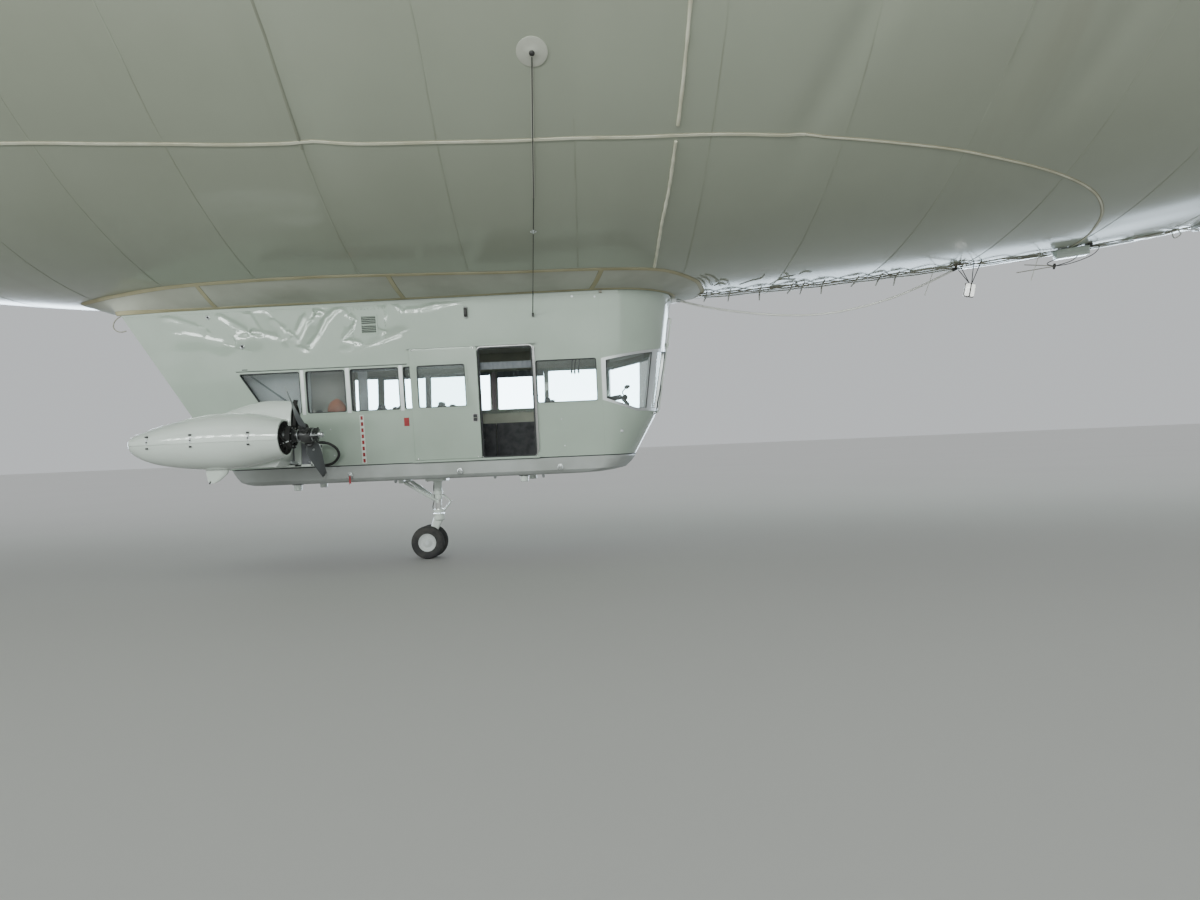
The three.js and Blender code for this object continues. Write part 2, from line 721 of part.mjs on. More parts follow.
function scoopSolid(inset, front = 0) {
  const ring = ([station, half, ridge], row) => {
    const moved = row === scoopSections.length - 1 ? station + front : station;
    return Array.from({ length: 9 }, (_, k) => {
      const angle = (Math.PI * k) / 8;
      const across = (half - inset) * Math.cos(angle);
      const upright = 0.05 + (ridge - 0.05 - inset) * Math.sin(angle) ** 0.8;
      return place(moved, -scoopSide + across, engineLine.height + upright);
    });
  };
  return ringSolid(scoopSections.map(ring));
}

function nacelle() {
  const mouth = box(place(-1.5, -scoopSide - 0.5, engineLine.height + 0.27), place(-0.9, -scoopSide + 0.5, 2.6));
  const scoopHollow = overlap(scoopSolid(engineLine.wall, 0.1), mouth);
  return cut(join(nacelleSolid(0), scoopSolid(0)), nacelleSolid(engineLine.wall, 0.1), scoopHollow);
}

function engine() {
  const centre = (station, side, height) => place(station, -engineLine.offset + side, engineLine.height + height);
  const slab = box(centre(-1.22, -0.5, -0.5), centre(-1.14, 0.5, 0.5));
  const baffle = overlap(nacelleSolid(engineLine.wall + gapMetres, 0.1), slab);
  const block = box(centre(-2.0, -0.2, -0.17), centre(-1.2, 0.2, 0.14));
  const shaft = bar(centre(-1.2, 0, 0), centre(engineLine.flangeStation - 0.03, 0, 0), mm(0.05), 16);
  const flange = bar(centre(engineLine.flangeStation - 0.03, 0, 0), centre(engineLine.flangeStation, 0, 0), mm(0.09), 16);
  return join(baffle, block, shaft, flange);
}

// Blade sections: distance from the hub, chord, thickness and pitch angle in degrees

const bladeSections = [
  [0.06, 0.06, 0.055, 60],
  [0.16, 0.075, 0.05, 55],
  [0.3, 0.145, 0.03, 45],
  [0.5, 0.17, 0.022, 34],
  [0.7, 0.165, 0.016, 27],
  [0.82, 0.14, 0.012, 23],
  [0.86, 0.09, 0.01, 22],
];

function blade() {
  const ring = ([distance, chord, thickness, pitch]) => {
    const turn = THREE.MathUtils.degToRad(pitch);
    const points = [[0.5, 0], [0.25, 0.5], [-0.1, 0.5], [-0.4, 0.25], [-0.5, 0], [-0.4, -0.25], [-0.1, -0.5], [0.25, -0.5]];
    return points.map(([across, through]) => {
      const [a, b] = [across * chord, through * thickness];
      const [x, y] = [b * Math.cos(turn) - a * Math.sin(turn), a * Math.cos(turn) + b * Math.sin(turn)];
      return new THREE.Vector3(mm(x), mm(y), mm(distance));
    });
  };
  return ringSolid(bladeSections.map(ring));
}

const bladeLean = 47; // degrees from upright, so that the upper blade leans outboard

function propellerSolid() {
  const back = engineLine.flangeStation - propeller.station;
  const profile = [[back, 0], [back, 0.09], [back + 0.04, 0.09], [back + 0.06, 0.06], [-0.08, 0.06], [-0.06, 0.11],
    [0.07, 0.11], [0.1, 0.075], [0.19, 0.07], [0.23, 0.045], [0.23, 0]];
  const hub = turned(profile.map(([station, radius]) => [mm(station), mm(radius)]), 16).translate(seatGap, 0, 0);
  const upper = blade();
  const lower = blade().rotateX(Math.PI);
  const whole = join(hub, upper, lower).rotateX(THREE.MathUtils.degToRad(bladeLean));
  const centre = place(propeller.station, -engineLine.offset, engineLine.height + 0.02);
  return whole.translate(centre.x, centre.y, centre.z);
}

function outriggerBeam() {
  const section = (side) => [
    place(outrigger.fore - 0.06, side, outrigger.bottom),
    place(outrigger.fore, side, outrigger.bottom + 0.08),
    place(outrigger.fore, side, outrigger.top - 0.1),
    place(outrigger.fore - 0.08, side, outrigger.top),
    place(outrigger.aft + 0.2, side, outrigger.top - 0.03),
    place(outrigger.aft, side, outrigger.top - 0.15),
    place(outrigger.aft + 0.2, side, outrigger.bottom),
  ];
  const beam = ringSolid([section(-0.6), section(-engineLine.offset)]);
  const wallCutter = wallPlate(rectangle(-2.4, -0.5, 1.467, 2.2), gapMetres, 0.4);
  return cut(beam, wallCutter, nacelleSolid(-gapMetres));
}

// The heater hose loops from the outrigger to the gondola's wall

function heaterHose() {
  const route = [[-1.215, 0.98, 1.72], [-1.05, 0.98, 1.75], [-0.86, 0.94, 1.7], [-0.78, 0.88, 1.6], [-0.88, 0.83, 1.51],
    [-1.02, 0.79, 1.49], [-1.16, 0.7235, 1.49]];
  const tube = roundTube(route.map(([s, y, h]) => place(s, -y, h)), mm(0.022), 24, 4);
  return cut(tube, wallPlate(rectangle(-2.4, -0.5, 1.467, 2.2), gapMetres, 0.4), outriggerFace());
}

function outriggerFace() {
  return box(place(outrigger.aft, -1.5, outrigger.bottom), place(outrigger.fore + gapMetres, -0.8, outrigger.top));
}

// Landing gear: a fixed leg, a castoring fork and a pair of wheels

function gearLeg() {
  const top = place(gear.station, 0, gondola.floorHeight - gapMetres);
  const bottom = place(gear.station, 0, 0.68);
  const plate = box(place(gear.station - 0.16, -0.16, gondola.floorHeight - 0.05), place(gear.station + 0.16, 0.16, gondola.floorHeight - gapMetres));
  const leg = bar(top, bottom, mm(gear.legRadius), 16);
  const collar = bar(place(gear.station, 0, 0.74), bottom, mm(gear.legRadius + 0.03), 16);
  const brace = (side) => bar(place(gear.station - 0.5, side, gondola.floorHeight - 0.02), place(gear.station, side * 0.3, 0.86), mm(0.025), 8);
  const foot = (side) => box(place(gear.station - 0.56, side - 0.06, gondola.floorHeight - 0.04), place(gear.station - 0.44, side + 0.06, gondola.floorHeight - gapMetres));
  const aboveFloor = box(place(-1, -1, gondola.floorHeight - gapMetres), place(1.5, 1, gondola.floorHeight + 0.5));
  return cut(join(plate, leg, collar, brace(0.2), brace(-0.2), foot(0.2), foot(-0.2)), aboveFloor);
}

function gearFork() {
  const crownTop = 0.68 - gapMetres;
  const crown = bar(place(gear.station, 0, crownTop), place(gear.station, 0, 0.56), mm(0.09), 16);
  const arm = bar(place(gear.station, 0, 0.6), place(gear.station - gear.trail, 0, gear.wheelRadius), mm(0.045), 12);
  const boss = bar(place(gear.station - gear.trail, -0.06, gear.wheelRadius), place(gear.station - gear.trail, 0.06, gear.wheelRadius), mm(0.07), 16);
  const bore = bar(place(gear.station - gear.trail, -0.1, gear.wheelRadius), place(gear.station - gear.trail, 0.1, gear.wheelRadius), mm(0.025) + seatGap, 16);
  return cut(join(crown, arm, boss), bore);
}

function gearWheels() {
  const centre = (side) => place(gear.station - gear.trail, side, gear.wheelRadius);
  const axle = bar(centre(-0.2), centre(0.2), mm(0.025), 16);
  const half = gear.tyreWidth / 2;
  const radius = gear.wheelRadius;
  const profile = [[-half * 0.7, 0], [-half * 0.7, 0.6 * radius], [-half, 0.72 * radius], [-half, 0.86 * radius], [-half * 0.6, 0.98 * radius],
    [half * 0.6, radius], [half, 0.86 * radius], [half, 0.72 * radius], [half * 0.7, 0.6 * radius], [half * 0.7, 0]];
  profile[4][1] = radius;
  const wheel = (side) => {
    const tyre = turned(profile.map(([station, r]) => [mm(station), mm(r)]), 28).rotateZ(Math.PI / 2);
    const middle = centre(side);
    return tyre.translate(middle.x, middle.y, middle.z);
  };
  return join(axle, wheel(-0.135), wheel(0.135));
}

// Stay cable on each side: it lies on the hull from a round patch, then runs straight to the gondola's wall

const stay = { patchStation: 0.77, patchAngle: -36, leaveAngle: -23, footStation: 2.12, footHeight: 3.49, radius: 3 };

function stayCable() {
  const angle = THREE.MathUtils.degToRad(stay.patchAngle);
  const x = stay.patchStation;
  const patchPoint = (i, raised) => {
    const turn = (2 * Math.PI * i) / 16;
    return hullPoint(x + 0.22 * Math.cos(turn), angle + (0.22 * Math.sin(turn)) / hull.radius, raised);
  };
  const ring = (raised) => Array.from({ length: 16 }, (_, i) => patchPoint(i, raised));
  const patch = ringSolid([ring(-0.05), ring(0.03)]);
  const foot = place(stay.footStation, -halfWidthAt(stay.footHeight) - 0.035, stay.footHeight);
  const onHull = [0, 0.4, 0.75, 1].map((part) => {
    const turn = THREE.MathUtils.degToRad(THREE.MathUtils.lerp(stay.patchAngle, stay.leaveAngle, part));
    return hullPoint(THREE.MathUtils.lerp(x, x - 0.22, part), turn, 0.022);
  });
  const leaves = onHull[3];
  const route = [...onHull, leaves.clone().lerp(foot, 0.2), leaves.clone().lerp(foot, 0.6), foot];
  const cable = roundTube(route, stay.radius, 20);
  const turnbuckle = bar(leaves.clone().lerp(foot, 0.42), leaves.clone().lerp(foot, 0.56), mm(0.03), 8);
  const lug = box(
    place(stay.footStation - 0.04, -halfWidthAt(stay.footHeight) - 0.05, stay.footHeight - 0.05),
    place(stay.footStation + 0.04, -halfWidthAt(stay.footHeight) + 0.05, stay.footHeight + 0.03),
  );
  const wallCutter = wallPlate(rectangle(1.5, 2.8, 3.3, 3.7), gapMetres, 0.3);
  return cut(join(patch, cable, turnbuckle, lug), wallCutter, hullCutter(26, -12));
}

// Air valves under the hull: station and radius

function airValve(x) {
  const normal = hullPoint(x, 0, 1).sub(hullPoint(x, 0, 0)).normalize();
  const start = hullPoint(x, 0, -0.1);
  const flange = bar(start, hullPoint(x, 0, 0.05), mm(0.46), 24);
  const cover = bar(start, hullPoint(x, 0, 0.13), mm(0.34), 24);
  return cut(join(flange, cover), hullCutter(26, -34.6)).translate(normal.x * 0.01, 0, normal.z * 0.01);
}

// Belly lights in front of the gondola

function lightBox() {
  const x = 8.15;
  const top = hullPoint(x, 0, 0.02);
  const low = new THREE.Vector3(top.x - mm(0.26), -mm(0.08), top.z - mm(0.16));
  const high = new THREE.Vector3(top.x + mm(0.26), mm(0.08), top.z + mm(0.02));
  const body = box(low, high);
  const hanger = (along) => box(
    new THREE.Vector3(top.x + mm(along) - mm(0.02), -mm(0.02), top.z - mm(0.02)),
    new THREE.Vector3(top.x + mm(along) + mm(0.02), mm(0.02), top.z + mm(0.12)),
  );
  return cut(join(body, hanger(-0.2), hanger(0.2)), hullCutter(26, -12));
}

function hangingLight() {
  const x = 6.59;
  const top = hullPoint(x, 0, -0.05);
  const lampTop = hullPoint(x, 0, 0.3);
  const strap = (side) => bar(new THREE.Vector3(top.x, mm(side), top.z), new THREE.Vector3(lampTop.x, mm(side * 0.3), lampTop.z), 3, 8);
  const low = new THREE.Vector3(lampTop.x - mm(0.07), -mm(0.05), lampTop.z - mm(0.2));
  const high = new THREE.Vector3(lampTop.x + mm(0.07), mm(0.05), lampTop.z + 2);
  return cut(join(box(low, high), strap(0.1), strap(-0.1)), hullCutter(26, -12));
}

// The free cable that sags between the gondola's front and the hull: station, height over the ground

const freeCableRoute = [
  [4.26, 3.725], [4.4, 3.68], [4.6, 3.625], [4.85, 3.57], [5.15, 3.515], [5.5, 3.465], [5.85, 3.432], [6.17, 3.42],
  [6.5, 3.435], [6.8, 3.475], [7.1, 3.535], [7.4, 3.615], [7.65, 3.7], [7.88, 3.79], [8.1, 3.885], [8.3, 3.975],
];
const freeCableRadius = 0.016;

function freeCable() {
  return roundTube(freeCableRoute.map(([s, h]) => place(s, 0, h)), mm(freeCableRadius), 44, 3);
}

// The clips that hold the free cable's two ends: one on the roof's front edge, one under the hull

function aftCableClip() {
  return cut(box(place(4.1, -0.03, 3.695), place(4.254, 0.03, 3.762)), roofPrism(gapMetres));
}

function foreCableClip() {
  return cut(box(place(8.3075, -0.04, 3.94), place(8.4, 0.04, 4.4)), hullCutter(26, -12));
}

// The airship

const airship = new THREE.Group();

function add(name, geometry, material, parent = airship) {
  const mesh = new THREE.Mesh(mergedGeometry(geometry), material);
  mesh.name = name;
  parent.add(mesh);
  return mesh;
}

add('envelope', envelope(), finish.hullFabric);
add('nose_cone', noseCone(), finish.whitePaint);
add('mooring_spindle', mooringSpindle(), finish.bareMetal);
add('tail_cone', tailCone(), finish.whitePaint);

const finShape = fixedFin();
const surfaceShape = controlSurface();
for (const [name, degrees] of Object.entries(finAngles)) {
  const frame = new THREE.Group();
  frame.rotation.x = THREE.MathUtils.degToRad(degrees);
  airship.add(frame);
  add(`fin_${name}`, finShape, finish.hullFabric, frame);
  add(`ruddervator_${name}`, surfaceShape, finish.hullFabric, frame);
}

add('air_valve_fore', airValve(10.4), finish.greyPaint);
add('air_valve_aft', airValve(-14.5), finish.greyPaint);
add('skirt', skirtRing(), finish.skirtFabric);

add('gondola_floor', floorTub(), finish.greyPaint);
add('gondola_side_starboard', starboardSide(), finish.whitePaint);
add('gondola_side_port', portSide(), finish.whitePaint);
add('gondola_chin', chin(), finish.whitePaint);
add('gondola_brow', brow(), finish.whitePaint);
add('gondola_tail', tailWall(), finish.whitePaint);
add('gondola_roof', roof().translate(0, 0, seatGap), finish.whitePaint);
add('windscreen_frame', windscreenFrame(), finish.bareMetal);
add('glass_cockpit', cockpitGlass(), finish.glass);
add('glass_starboard_cabin', pane(-2.23, -1.82, 1.26), finish.glass);
add('glass_starboard_front', pane(2.1, 2.1, 3.03), finish.glass);
add('glass_port', mirrored(pane(-2.23, -1.82, 3.03)), finish.glass);
add('cabin_door', cabinDoor(), finish.whitePaint);
add('cabin_door_glass', doorGlass(), finish.glass);

add('seats_cockpit', seatPair(2.72, 0.36, 2.2), finish.seatFabric);
add('seats_fore', seatPair(1.15, 0.38, 2.2), finish.seatFabric);
add('seats_middle', seatPair(0.25, 0.38, 2.2), finish.seatFabric);
add('seats_aft', seatPair(-0.65, 0.38, 2.2), finish.seatFabric);
add('instrument_console', instrumentConsole(), finish.darkPaint);

add('gear_leg', gearLeg(), finish.bareMetal);
add('gear_fork', gearFork(), finish.bareMetal);
add('gear_wheels', gearWheels(), finish.rubber);

for (const side of Object.keys(bySide)) {
  add(`outrigger_${side}`, forSide(side, outriggerBeam()), finish.greyPaint);
  add(`nacelle_${side}`, forSide(side, nacelle()), finish.whitePaint);
  add(`engine_${side}`, forSide(side, engine()), finish.darkPaint);
  add(`propeller_${side}`, forSide(side, propellerSolid()), finish.bladePaint);
  add(`heater_hose_${side}`, forSide(side, heaterHose()), finish.rubber);
  add(`stay_cable_${side}`, forSide(side, stayCable()), finish.rope);
}

add('light_box', lightBox(), finish.greyPaint);
add('hanging_light', hangingLight(), finish.greyPaint);
add('free_cable', freeCable(), finish.rope);
add('cable_clip_aft', aftCableClip(), finish.bareMetal);
add('cable_clip_fore', foreCableClip(), finish.bareMetal);

export default airship;
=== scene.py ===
"""Looks of the half-size airship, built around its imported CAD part.

Lengths in tables are in metres of the full-size airship. Stations run forward
from the gondola's middle, sides run to port and heights run up from the ground.
"""

import json
import logging
import math
from dataclasses import dataclass
from enum import Enum
from typing import Any, Callable, Iterable, Sequence

import bmesh
import bpy
import numpy as np
from mathutils import Matrix, Vector, noise

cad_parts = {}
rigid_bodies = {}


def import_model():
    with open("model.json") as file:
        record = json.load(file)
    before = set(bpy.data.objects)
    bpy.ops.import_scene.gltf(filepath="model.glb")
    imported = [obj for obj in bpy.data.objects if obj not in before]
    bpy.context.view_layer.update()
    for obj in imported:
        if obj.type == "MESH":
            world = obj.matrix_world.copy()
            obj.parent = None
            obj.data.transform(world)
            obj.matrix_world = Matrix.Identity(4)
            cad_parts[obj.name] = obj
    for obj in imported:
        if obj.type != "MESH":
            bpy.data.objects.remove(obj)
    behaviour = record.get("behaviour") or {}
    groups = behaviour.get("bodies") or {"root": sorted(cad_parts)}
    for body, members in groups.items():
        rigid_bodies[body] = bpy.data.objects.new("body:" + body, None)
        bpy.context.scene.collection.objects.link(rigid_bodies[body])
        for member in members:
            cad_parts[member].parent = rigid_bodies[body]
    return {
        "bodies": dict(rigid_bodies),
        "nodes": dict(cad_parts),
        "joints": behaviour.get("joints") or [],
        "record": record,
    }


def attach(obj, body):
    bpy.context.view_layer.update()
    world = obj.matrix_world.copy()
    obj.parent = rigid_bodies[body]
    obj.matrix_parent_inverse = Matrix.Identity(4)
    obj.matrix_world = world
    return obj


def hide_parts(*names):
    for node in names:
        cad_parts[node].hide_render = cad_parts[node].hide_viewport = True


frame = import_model()

log = logging.getLogger("airship")

SCALE = 0.5
GROUND = -12.0
GONDOLA = -1.9

AHEAD = Vector((1, 0, 0))
ACROSS = Vector((0, 1, 0))
UP = Vector((0, 0, 1))
DOWN = Vector((0, 0, -1))

# The gondola's walls: foot and rise, half width and flare, tail and its run aft.
WALL_FOOT = 1.465
WALL_RISE = 2.275
HALF_WIDTH = 0.72
FLARE = 0.18
LEAN = 0.0791
TAIL = -2.43
TAIL_RUN = 1.4
SHEET_FOOT = 1.4656
SHEET_TOP = 3.7394
SILL = 2.245
LINTEL = 2.845

Pair = tuple[float, float]
Triple = tuple[float, float, float]
Path = Sequence[Vector]


def at(station: float, side: float, height: float) -> Vector:
    """A place by the gondola, as a point of the model in metres."""
    return Vector((station + GONDOLA, side, height + GROUND)) * SCALE


class Side(Enum):
    """The two sides of the airship and the sign of their Y."""

    STARBOARD = -1
    PORT = 1

    @property
    def word(self) -> str:
        """The side's name as the CAD nodes have it."""
        return self.name.lower()


def wall_half(height: float) -> float:
    """Half the gondola's width at a height; its walls lean out evenly."""
    return HALF_WIDTH + FLARE * (height - WALL_FOOT) / WALL_RISE


def tail_station(height: float) -> float:
    """The station of the gondola's sloped rear wall at a height."""
    return TAIL - TAIL_RUN * (height - WALL_FOOT) / WALL_RISE


def smooth(low: float, high: float, value: float) -> float:
    """Rises from 0 at low to 1 at high with soft ends."""
    part = min(1.0, max(0.0, (value - low) / (high - low)))
    return part * part * (3 - 2 * part)


def between(table: Sequence[Pair], value: float) -> float:
    """Reads a table of pairs at a value, in straight lines between its rows."""
    columns = np.array(table, float)
    return float(np.interp(value, columns[:, 0], columns[:, 1]))


def spread(low: float, high: float, count: int) -> list[float]:
    """Evenly spaced numbers from low to high, both included."""
    return [float(v) for v in np.linspace(low, high, count)]


def circle(count: int) -> list[float]:
    """Evenly spaced angles round a full turn, in radians."""
    return spread(0, 2 * math.pi, count + 1)[:-1]


def ring(centre: Vector, first: Vector, second: Vector, count: int) -> list[Vector]:
    """Points round an oval with two half axes."""
    return [centre + first * math.cos(t) + second * math.sin(t) for t in circle(count)]


def run_length(path: Path) -> float:
    """How long a line of points is."""
    return sum((b - a).length for a, b in zip(path, path[1:]))


def curve_through(points: Path, steps: int) -> list[Vector]:
    """A smooth line through points.

    Args:
        points: the points to pass through, two or more.
        steps: how many pieces each stretch is cut into.

    Returns:
        The points along the line, from the first to the last.
    """
    ends = [points[0] * 2 - points[1], *points, points[-1] * 2 - points[-2]]
    line = []
    for k in range(1, len(ends) - 2):
        a, b, c, d = ends[k - 1 : k + 3]
        for step in range(steps):
            t = step / steps
            line.append(
                b
                + (c - a) * (t / 2)
                + (a * 2 - b * 5 + c * 4 - d) * (t * t / 2)
                + (b * 3 - a - c * 3 + d) * (t * t * t / 2)
            )
    line.append(Vector(points[-1]))
    return line


def closed_curve(points: Path, steps: int) -> list[Vector]:
    """A smooth loop through points, cut into that many pieces between each two."""
    line = curve_through([*points[-2:], *points, *points[:3]], steps)
    return line[2 * steps : (2 + len(points)) * steps]


def inset(outline: Sequence[Pair], distance: float) -> list[Pair]:
    """Moves an anticlockwise outline inwards, or outwards by a negative distance.

    Args:
        outline: its corners.
        distance: how far to move it.

    Returns:
        The moved outline.
    """
    moved = []
    for k, (x, z) in enumerate(outline):
        before, after = outline[k - 1], outline[(k + 1) % len(outline)]
        first = Vector((before[1] - z, x - before[0])).normalized()
        second = Vector((z - after[1], after[0] - x)).normalized()
        share = (first + second) * (distance / (1 + first.dot(second)))
        moved.append((x + share.x, z + share.y))
    return moved


def rounded(outline: Sequence[Pair], radius: float, steps: int = 5) -> list[Pair]:
    """Rounds the corners of an outline.

    Args:
        outline: the corners, anticlockwise.
        radius: how far from each corner its curve starts.
        steps: points on each curve.

    Returns:
        The rounded outline's points.
    """
    curve = []
    for k, corner in enumerate(outline):
        here = Vector(corner)
        before = Vector(outline[k - 1])
        after = Vector(outline[(k + 1) % len(outline)])
        start = here + (before - here).normalized() * radius
        end = here + (after - here).normalized() * radius
        for t in spread(0.0, 1.0, steps):
            point = start * (1 - t) ** 2 + here * (2 * t * (1 - t)) + end * t**2
            curve.append((point.x, point.y))
    return curve


def span(aft: float, fore: float, bottom: float, top: float) -> list[Pair]:
    """A rectangle of stations and heights, anticlockwise."""
    return [(aft, bottom), (fore, bottom), (fore, top), (aft, top)]


def carved(mesh: bpy.types.Mesh, cutters: Sequence[bpy.types.Mesh]) -> bpy.types.Mesh:
    """Cuts solids out of a mesh.

    Args:
        mesh: the closed mesh to cut.
        cutters: closed meshes to take away.

    Returns:
        The mesh that is left.
    """
    scene = bpy.context.scene.collection.objects
    work = bpy.data.objects.new("work", mesh)
    scene.link(work)
    tools = []
    for cutter in cutters:
        tool = bpy.data.objects.new("cutter", cutter)
        scene.link(tool)
        tools.append(tool)
        boolean = work.modifiers.new("cut", "BOOLEAN")
        boolean.operation = "DIFFERENCE"
        boolean.solver = "EXACT"
        boolean.object = tool
    left = bpy.data.meshes.new_from_object(work.evaluated_get(bpy.context.evaluated_depsgraph_get()))
    for item in (work, *tools):
        bpy.data.objects.remove(item)
    return left


# Shaders


class Wire:
    """A value in a material's nodes. Python's operators on it add Math nodes."""

    def __init__(self, shader: "Shader", socket: bpy.types.NodeSocket) -> None:
        """Keeps the shader and the output that the value comes from."""
        self.shader = shader
        self.socket = socket

    def math(self, operation: str, *others: Any) -> "Wire":
        """A Math node with this value first."""
        return self.shader.math(operation, self, *others)

    def __add__(self, other: Any) -> "Wire":
        """The sum."""
        return self.math("ADD", other)

    def __radd__(self, other: Any) -> "Wire":
        """The sum, with this value second."""
        return self.math("ADD", other)

    def __sub__(self, other: Any) -> "Wire":
        """The difference."""
        return self.math("SUBTRACT", other)

    def __rsub__(self, other: Any) -> "Wire":
        """The difference, with this value taken away."""
        return self.shader.math("SUBTRACT", other, self)

    def __mul__(self, other: Any) -> "Wire":
        """The product."""
        return self.math("MULTIPLY", other)

    def __rmul__(self, other: Any) -> "Wire":
        """The product, with this value second."""
        return self.math("MULTIPLY", other)

    def __truediv__(self, other: Any) -> "Wire":
        """The quotient."""
        return self.math("DIVIDE", other)

    def __pow__(self, other: Any) -> "Wire":
        """The power."""
        return self.math("POWER", other)

    def step(self, low: float, high: float) -> "Wire":
        """Rises smoothly from 0 at low to 1 at high; low may be the larger."""
        values = {"Value": self, "From Min": low, "From Max": high}
        return self.shader.node("ShaderNodeMapRange", {"interpolation_type": "SMOOTHSTEP"}, values)


class Shader:
    """One material under construction, with a Principled BSDF at its end."""

    def __init__(self, name: str) -> None:
        """Makes an empty material under a name."""
        self.material = bpy.data.materials.new(name)
        self.material.use_nodes = True
        self.tree = self.material.node_tree
        self.surface = self.tree.nodes["Principled BSDF"]

    def put(self, socket: bpy.types.NodeSocket, value: Any) -> None:
        """Links a wire to a socket, or sets the socket to a number or colour.

        Args:
            socket: the input to set.
            value: what it gets.
        """
        if isinstance(value, Wire):
            self.tree.links.new(value.socket, socket)
        elif isinstance(value, (tuple, list)) and socket.type == "RGBA":
            socket.default_value = (*value[:3], 1.0)
        else:
            socket.default_value = value

    def node(
        self, kind: str, settings: dict | None = None, values: dict | None = None, output: int | str = 0
    ) -> Wire:
        """Adds a node.

        Args:
            kind: the node's type.
            settings: its properties, set first; a ramp's "stops" are pairs of place and colour.
            values: numbers, colours or wires for its inputs, by name or number.
            output: the output to read.

        Returns:
            The wire from that output.
        """
        made = self.tree.nodes.new(kind)
        for name, value in (settings or {}).items():
            if name == "stops":
                ramp = made.color_ramp
                while len(ramp.elements) < len(value):
                    ramp.elements.new(0.5)
                for element, (place, colour) in zip(ramp.elements, value):
                    element.position = place
                    element.color = (*colour, 1.0)
            else:
                setattr(made, name, value)
        for name, value in (values or {}).items():
            self.put(made.inputs[name], value)
        return Wire(self, made.outputs[output])

    def math(self, operation: str, *values: Any) -> Wire:
        """A Math node on numbers or wires."""
        return self.node("ShaderNodeMath", {"operation": operation}, dict(enumerate(values)))

    def place(self) -> Wire:
        """The point's place in the model, in metres."""
        return self.node("ShaderNodeTexCoord", output="Object")

    def axis(self, name: str) -> Wire:
        """One coordinate of the point's place: X, Y or Z."""
        return self.node("ShaderNodeSeparateXYZ", None, {0: self.place()}, name)

    def stretched(self, scale: Triple) -> Wire:
        """The point's place, scaled by three factors."""
        return self.node("ShaderNodeMapping", None, {"Vector": self.place(), "Scale": scale})

    def noise(self, scale: float, detail: float = 3.0, stretch: Triple = (1, 1, 1)) -> Wire:
        """Soft noise from 0 to 1 with features about 1 / scale metres across."""
        values = {"Vector": self.stretched(stretch), "Scale": scale, "Detail": detail}
        return self.node("ShaderNodeTexNoise", None, values)

    def cells(self, scale: float, stretch: Triple = (1, 1, 1)) -> Wire:
        """Distance to the nearest of scattered points."""
        return self.node("ShaderNodeTexVoronoi", None, {"Vector": self.stretched(stretch), "Scale": scale})

    def mix(self, part: Any, first: Any, second: Any) -> Wire:
        """Mixes two colours.

        Args:
            part: the share of the second colour.
            first: the colour at 0.
            second: the colour at 1.

        Returns:
            The wire with the mixed colour.
        """
        made = self.tree.nodes.new("ShaderNodeMix")
        made.data_type = "RGBA"
        for socket, value in zip((made.inputs[0], made.inputs[6], made.inputs[7]), (part, first, second)):
            self.put(socket, value)
        return Wire(self, made.outputs[2])

    def bump(self, height: Wire, depth: float, under: Wire | None = None) -> Wire:
        """A Bump node whose height of 1 stands for depth metres.

        Args:
            height: the wire that it follows.
            depth: how deep it is, in metres.
            under: the normal that it is added to.

        Returns:
            The wire with the normal.
        """
        values = {"Height": height, "Distance": depth, "Strength": 1.0}
        if under:
            values["Normal"] = under
        return self.node("ShaderNodeBump", None, values)

    def done(self, **sockets: Any) -> bpy.types.Material:
        """Sets the surface's sockets, named with _ for a space, and returns the material."""
        for name, value in sockets.items():
            self.put(self.surface.inputs[name.replace("_", " ")], value)
        return self.material


@dataclass(frozen=True)
class Coating:
    """A surface with a soft drift of colour, uneven gloss and fine grain."""

    colour: Triple
    drift: Triple
    roughness: Pair
    patch: float = 3.0
    grain: float = 400.0
    grain_depth: float = 0.0002
    metallic: float = 0.0
    coat: float = 0.0
    stretch: Triple = (1, 1, 1)
    sheen: float = 0.0
    glow: float = 0.0

    def build(self, name: str) -> bpy.types.Material:
        """Makes the material under a name.

        Args:
            name: the material's name.

        Returns:
            The material.
        """
        shader = Shader(name)
        patches = shader.noise(self.patch, 4.0)
        specks = shader.noise(self.grain, 2.0, self.stretch)
        colour = shader.mix(patches.step(0.35, 0.68), self.colour, self.drift)
        low, high = self.roughness
        roughness = low + (high - low) * (patches * 0.6 + specks * 0.4)
        return shader.done(
            Base_Color=colour,
            Roughness=roughness,
            Metallic=self.metallic,
            Coat_Weight=self.coat,
            Sheen_Weight=self.sheen,
            Emission_Color=colour,
            Emission_Strength=self.glow,
            Normal=shader.bump(specks, self.grain_depth),
        )


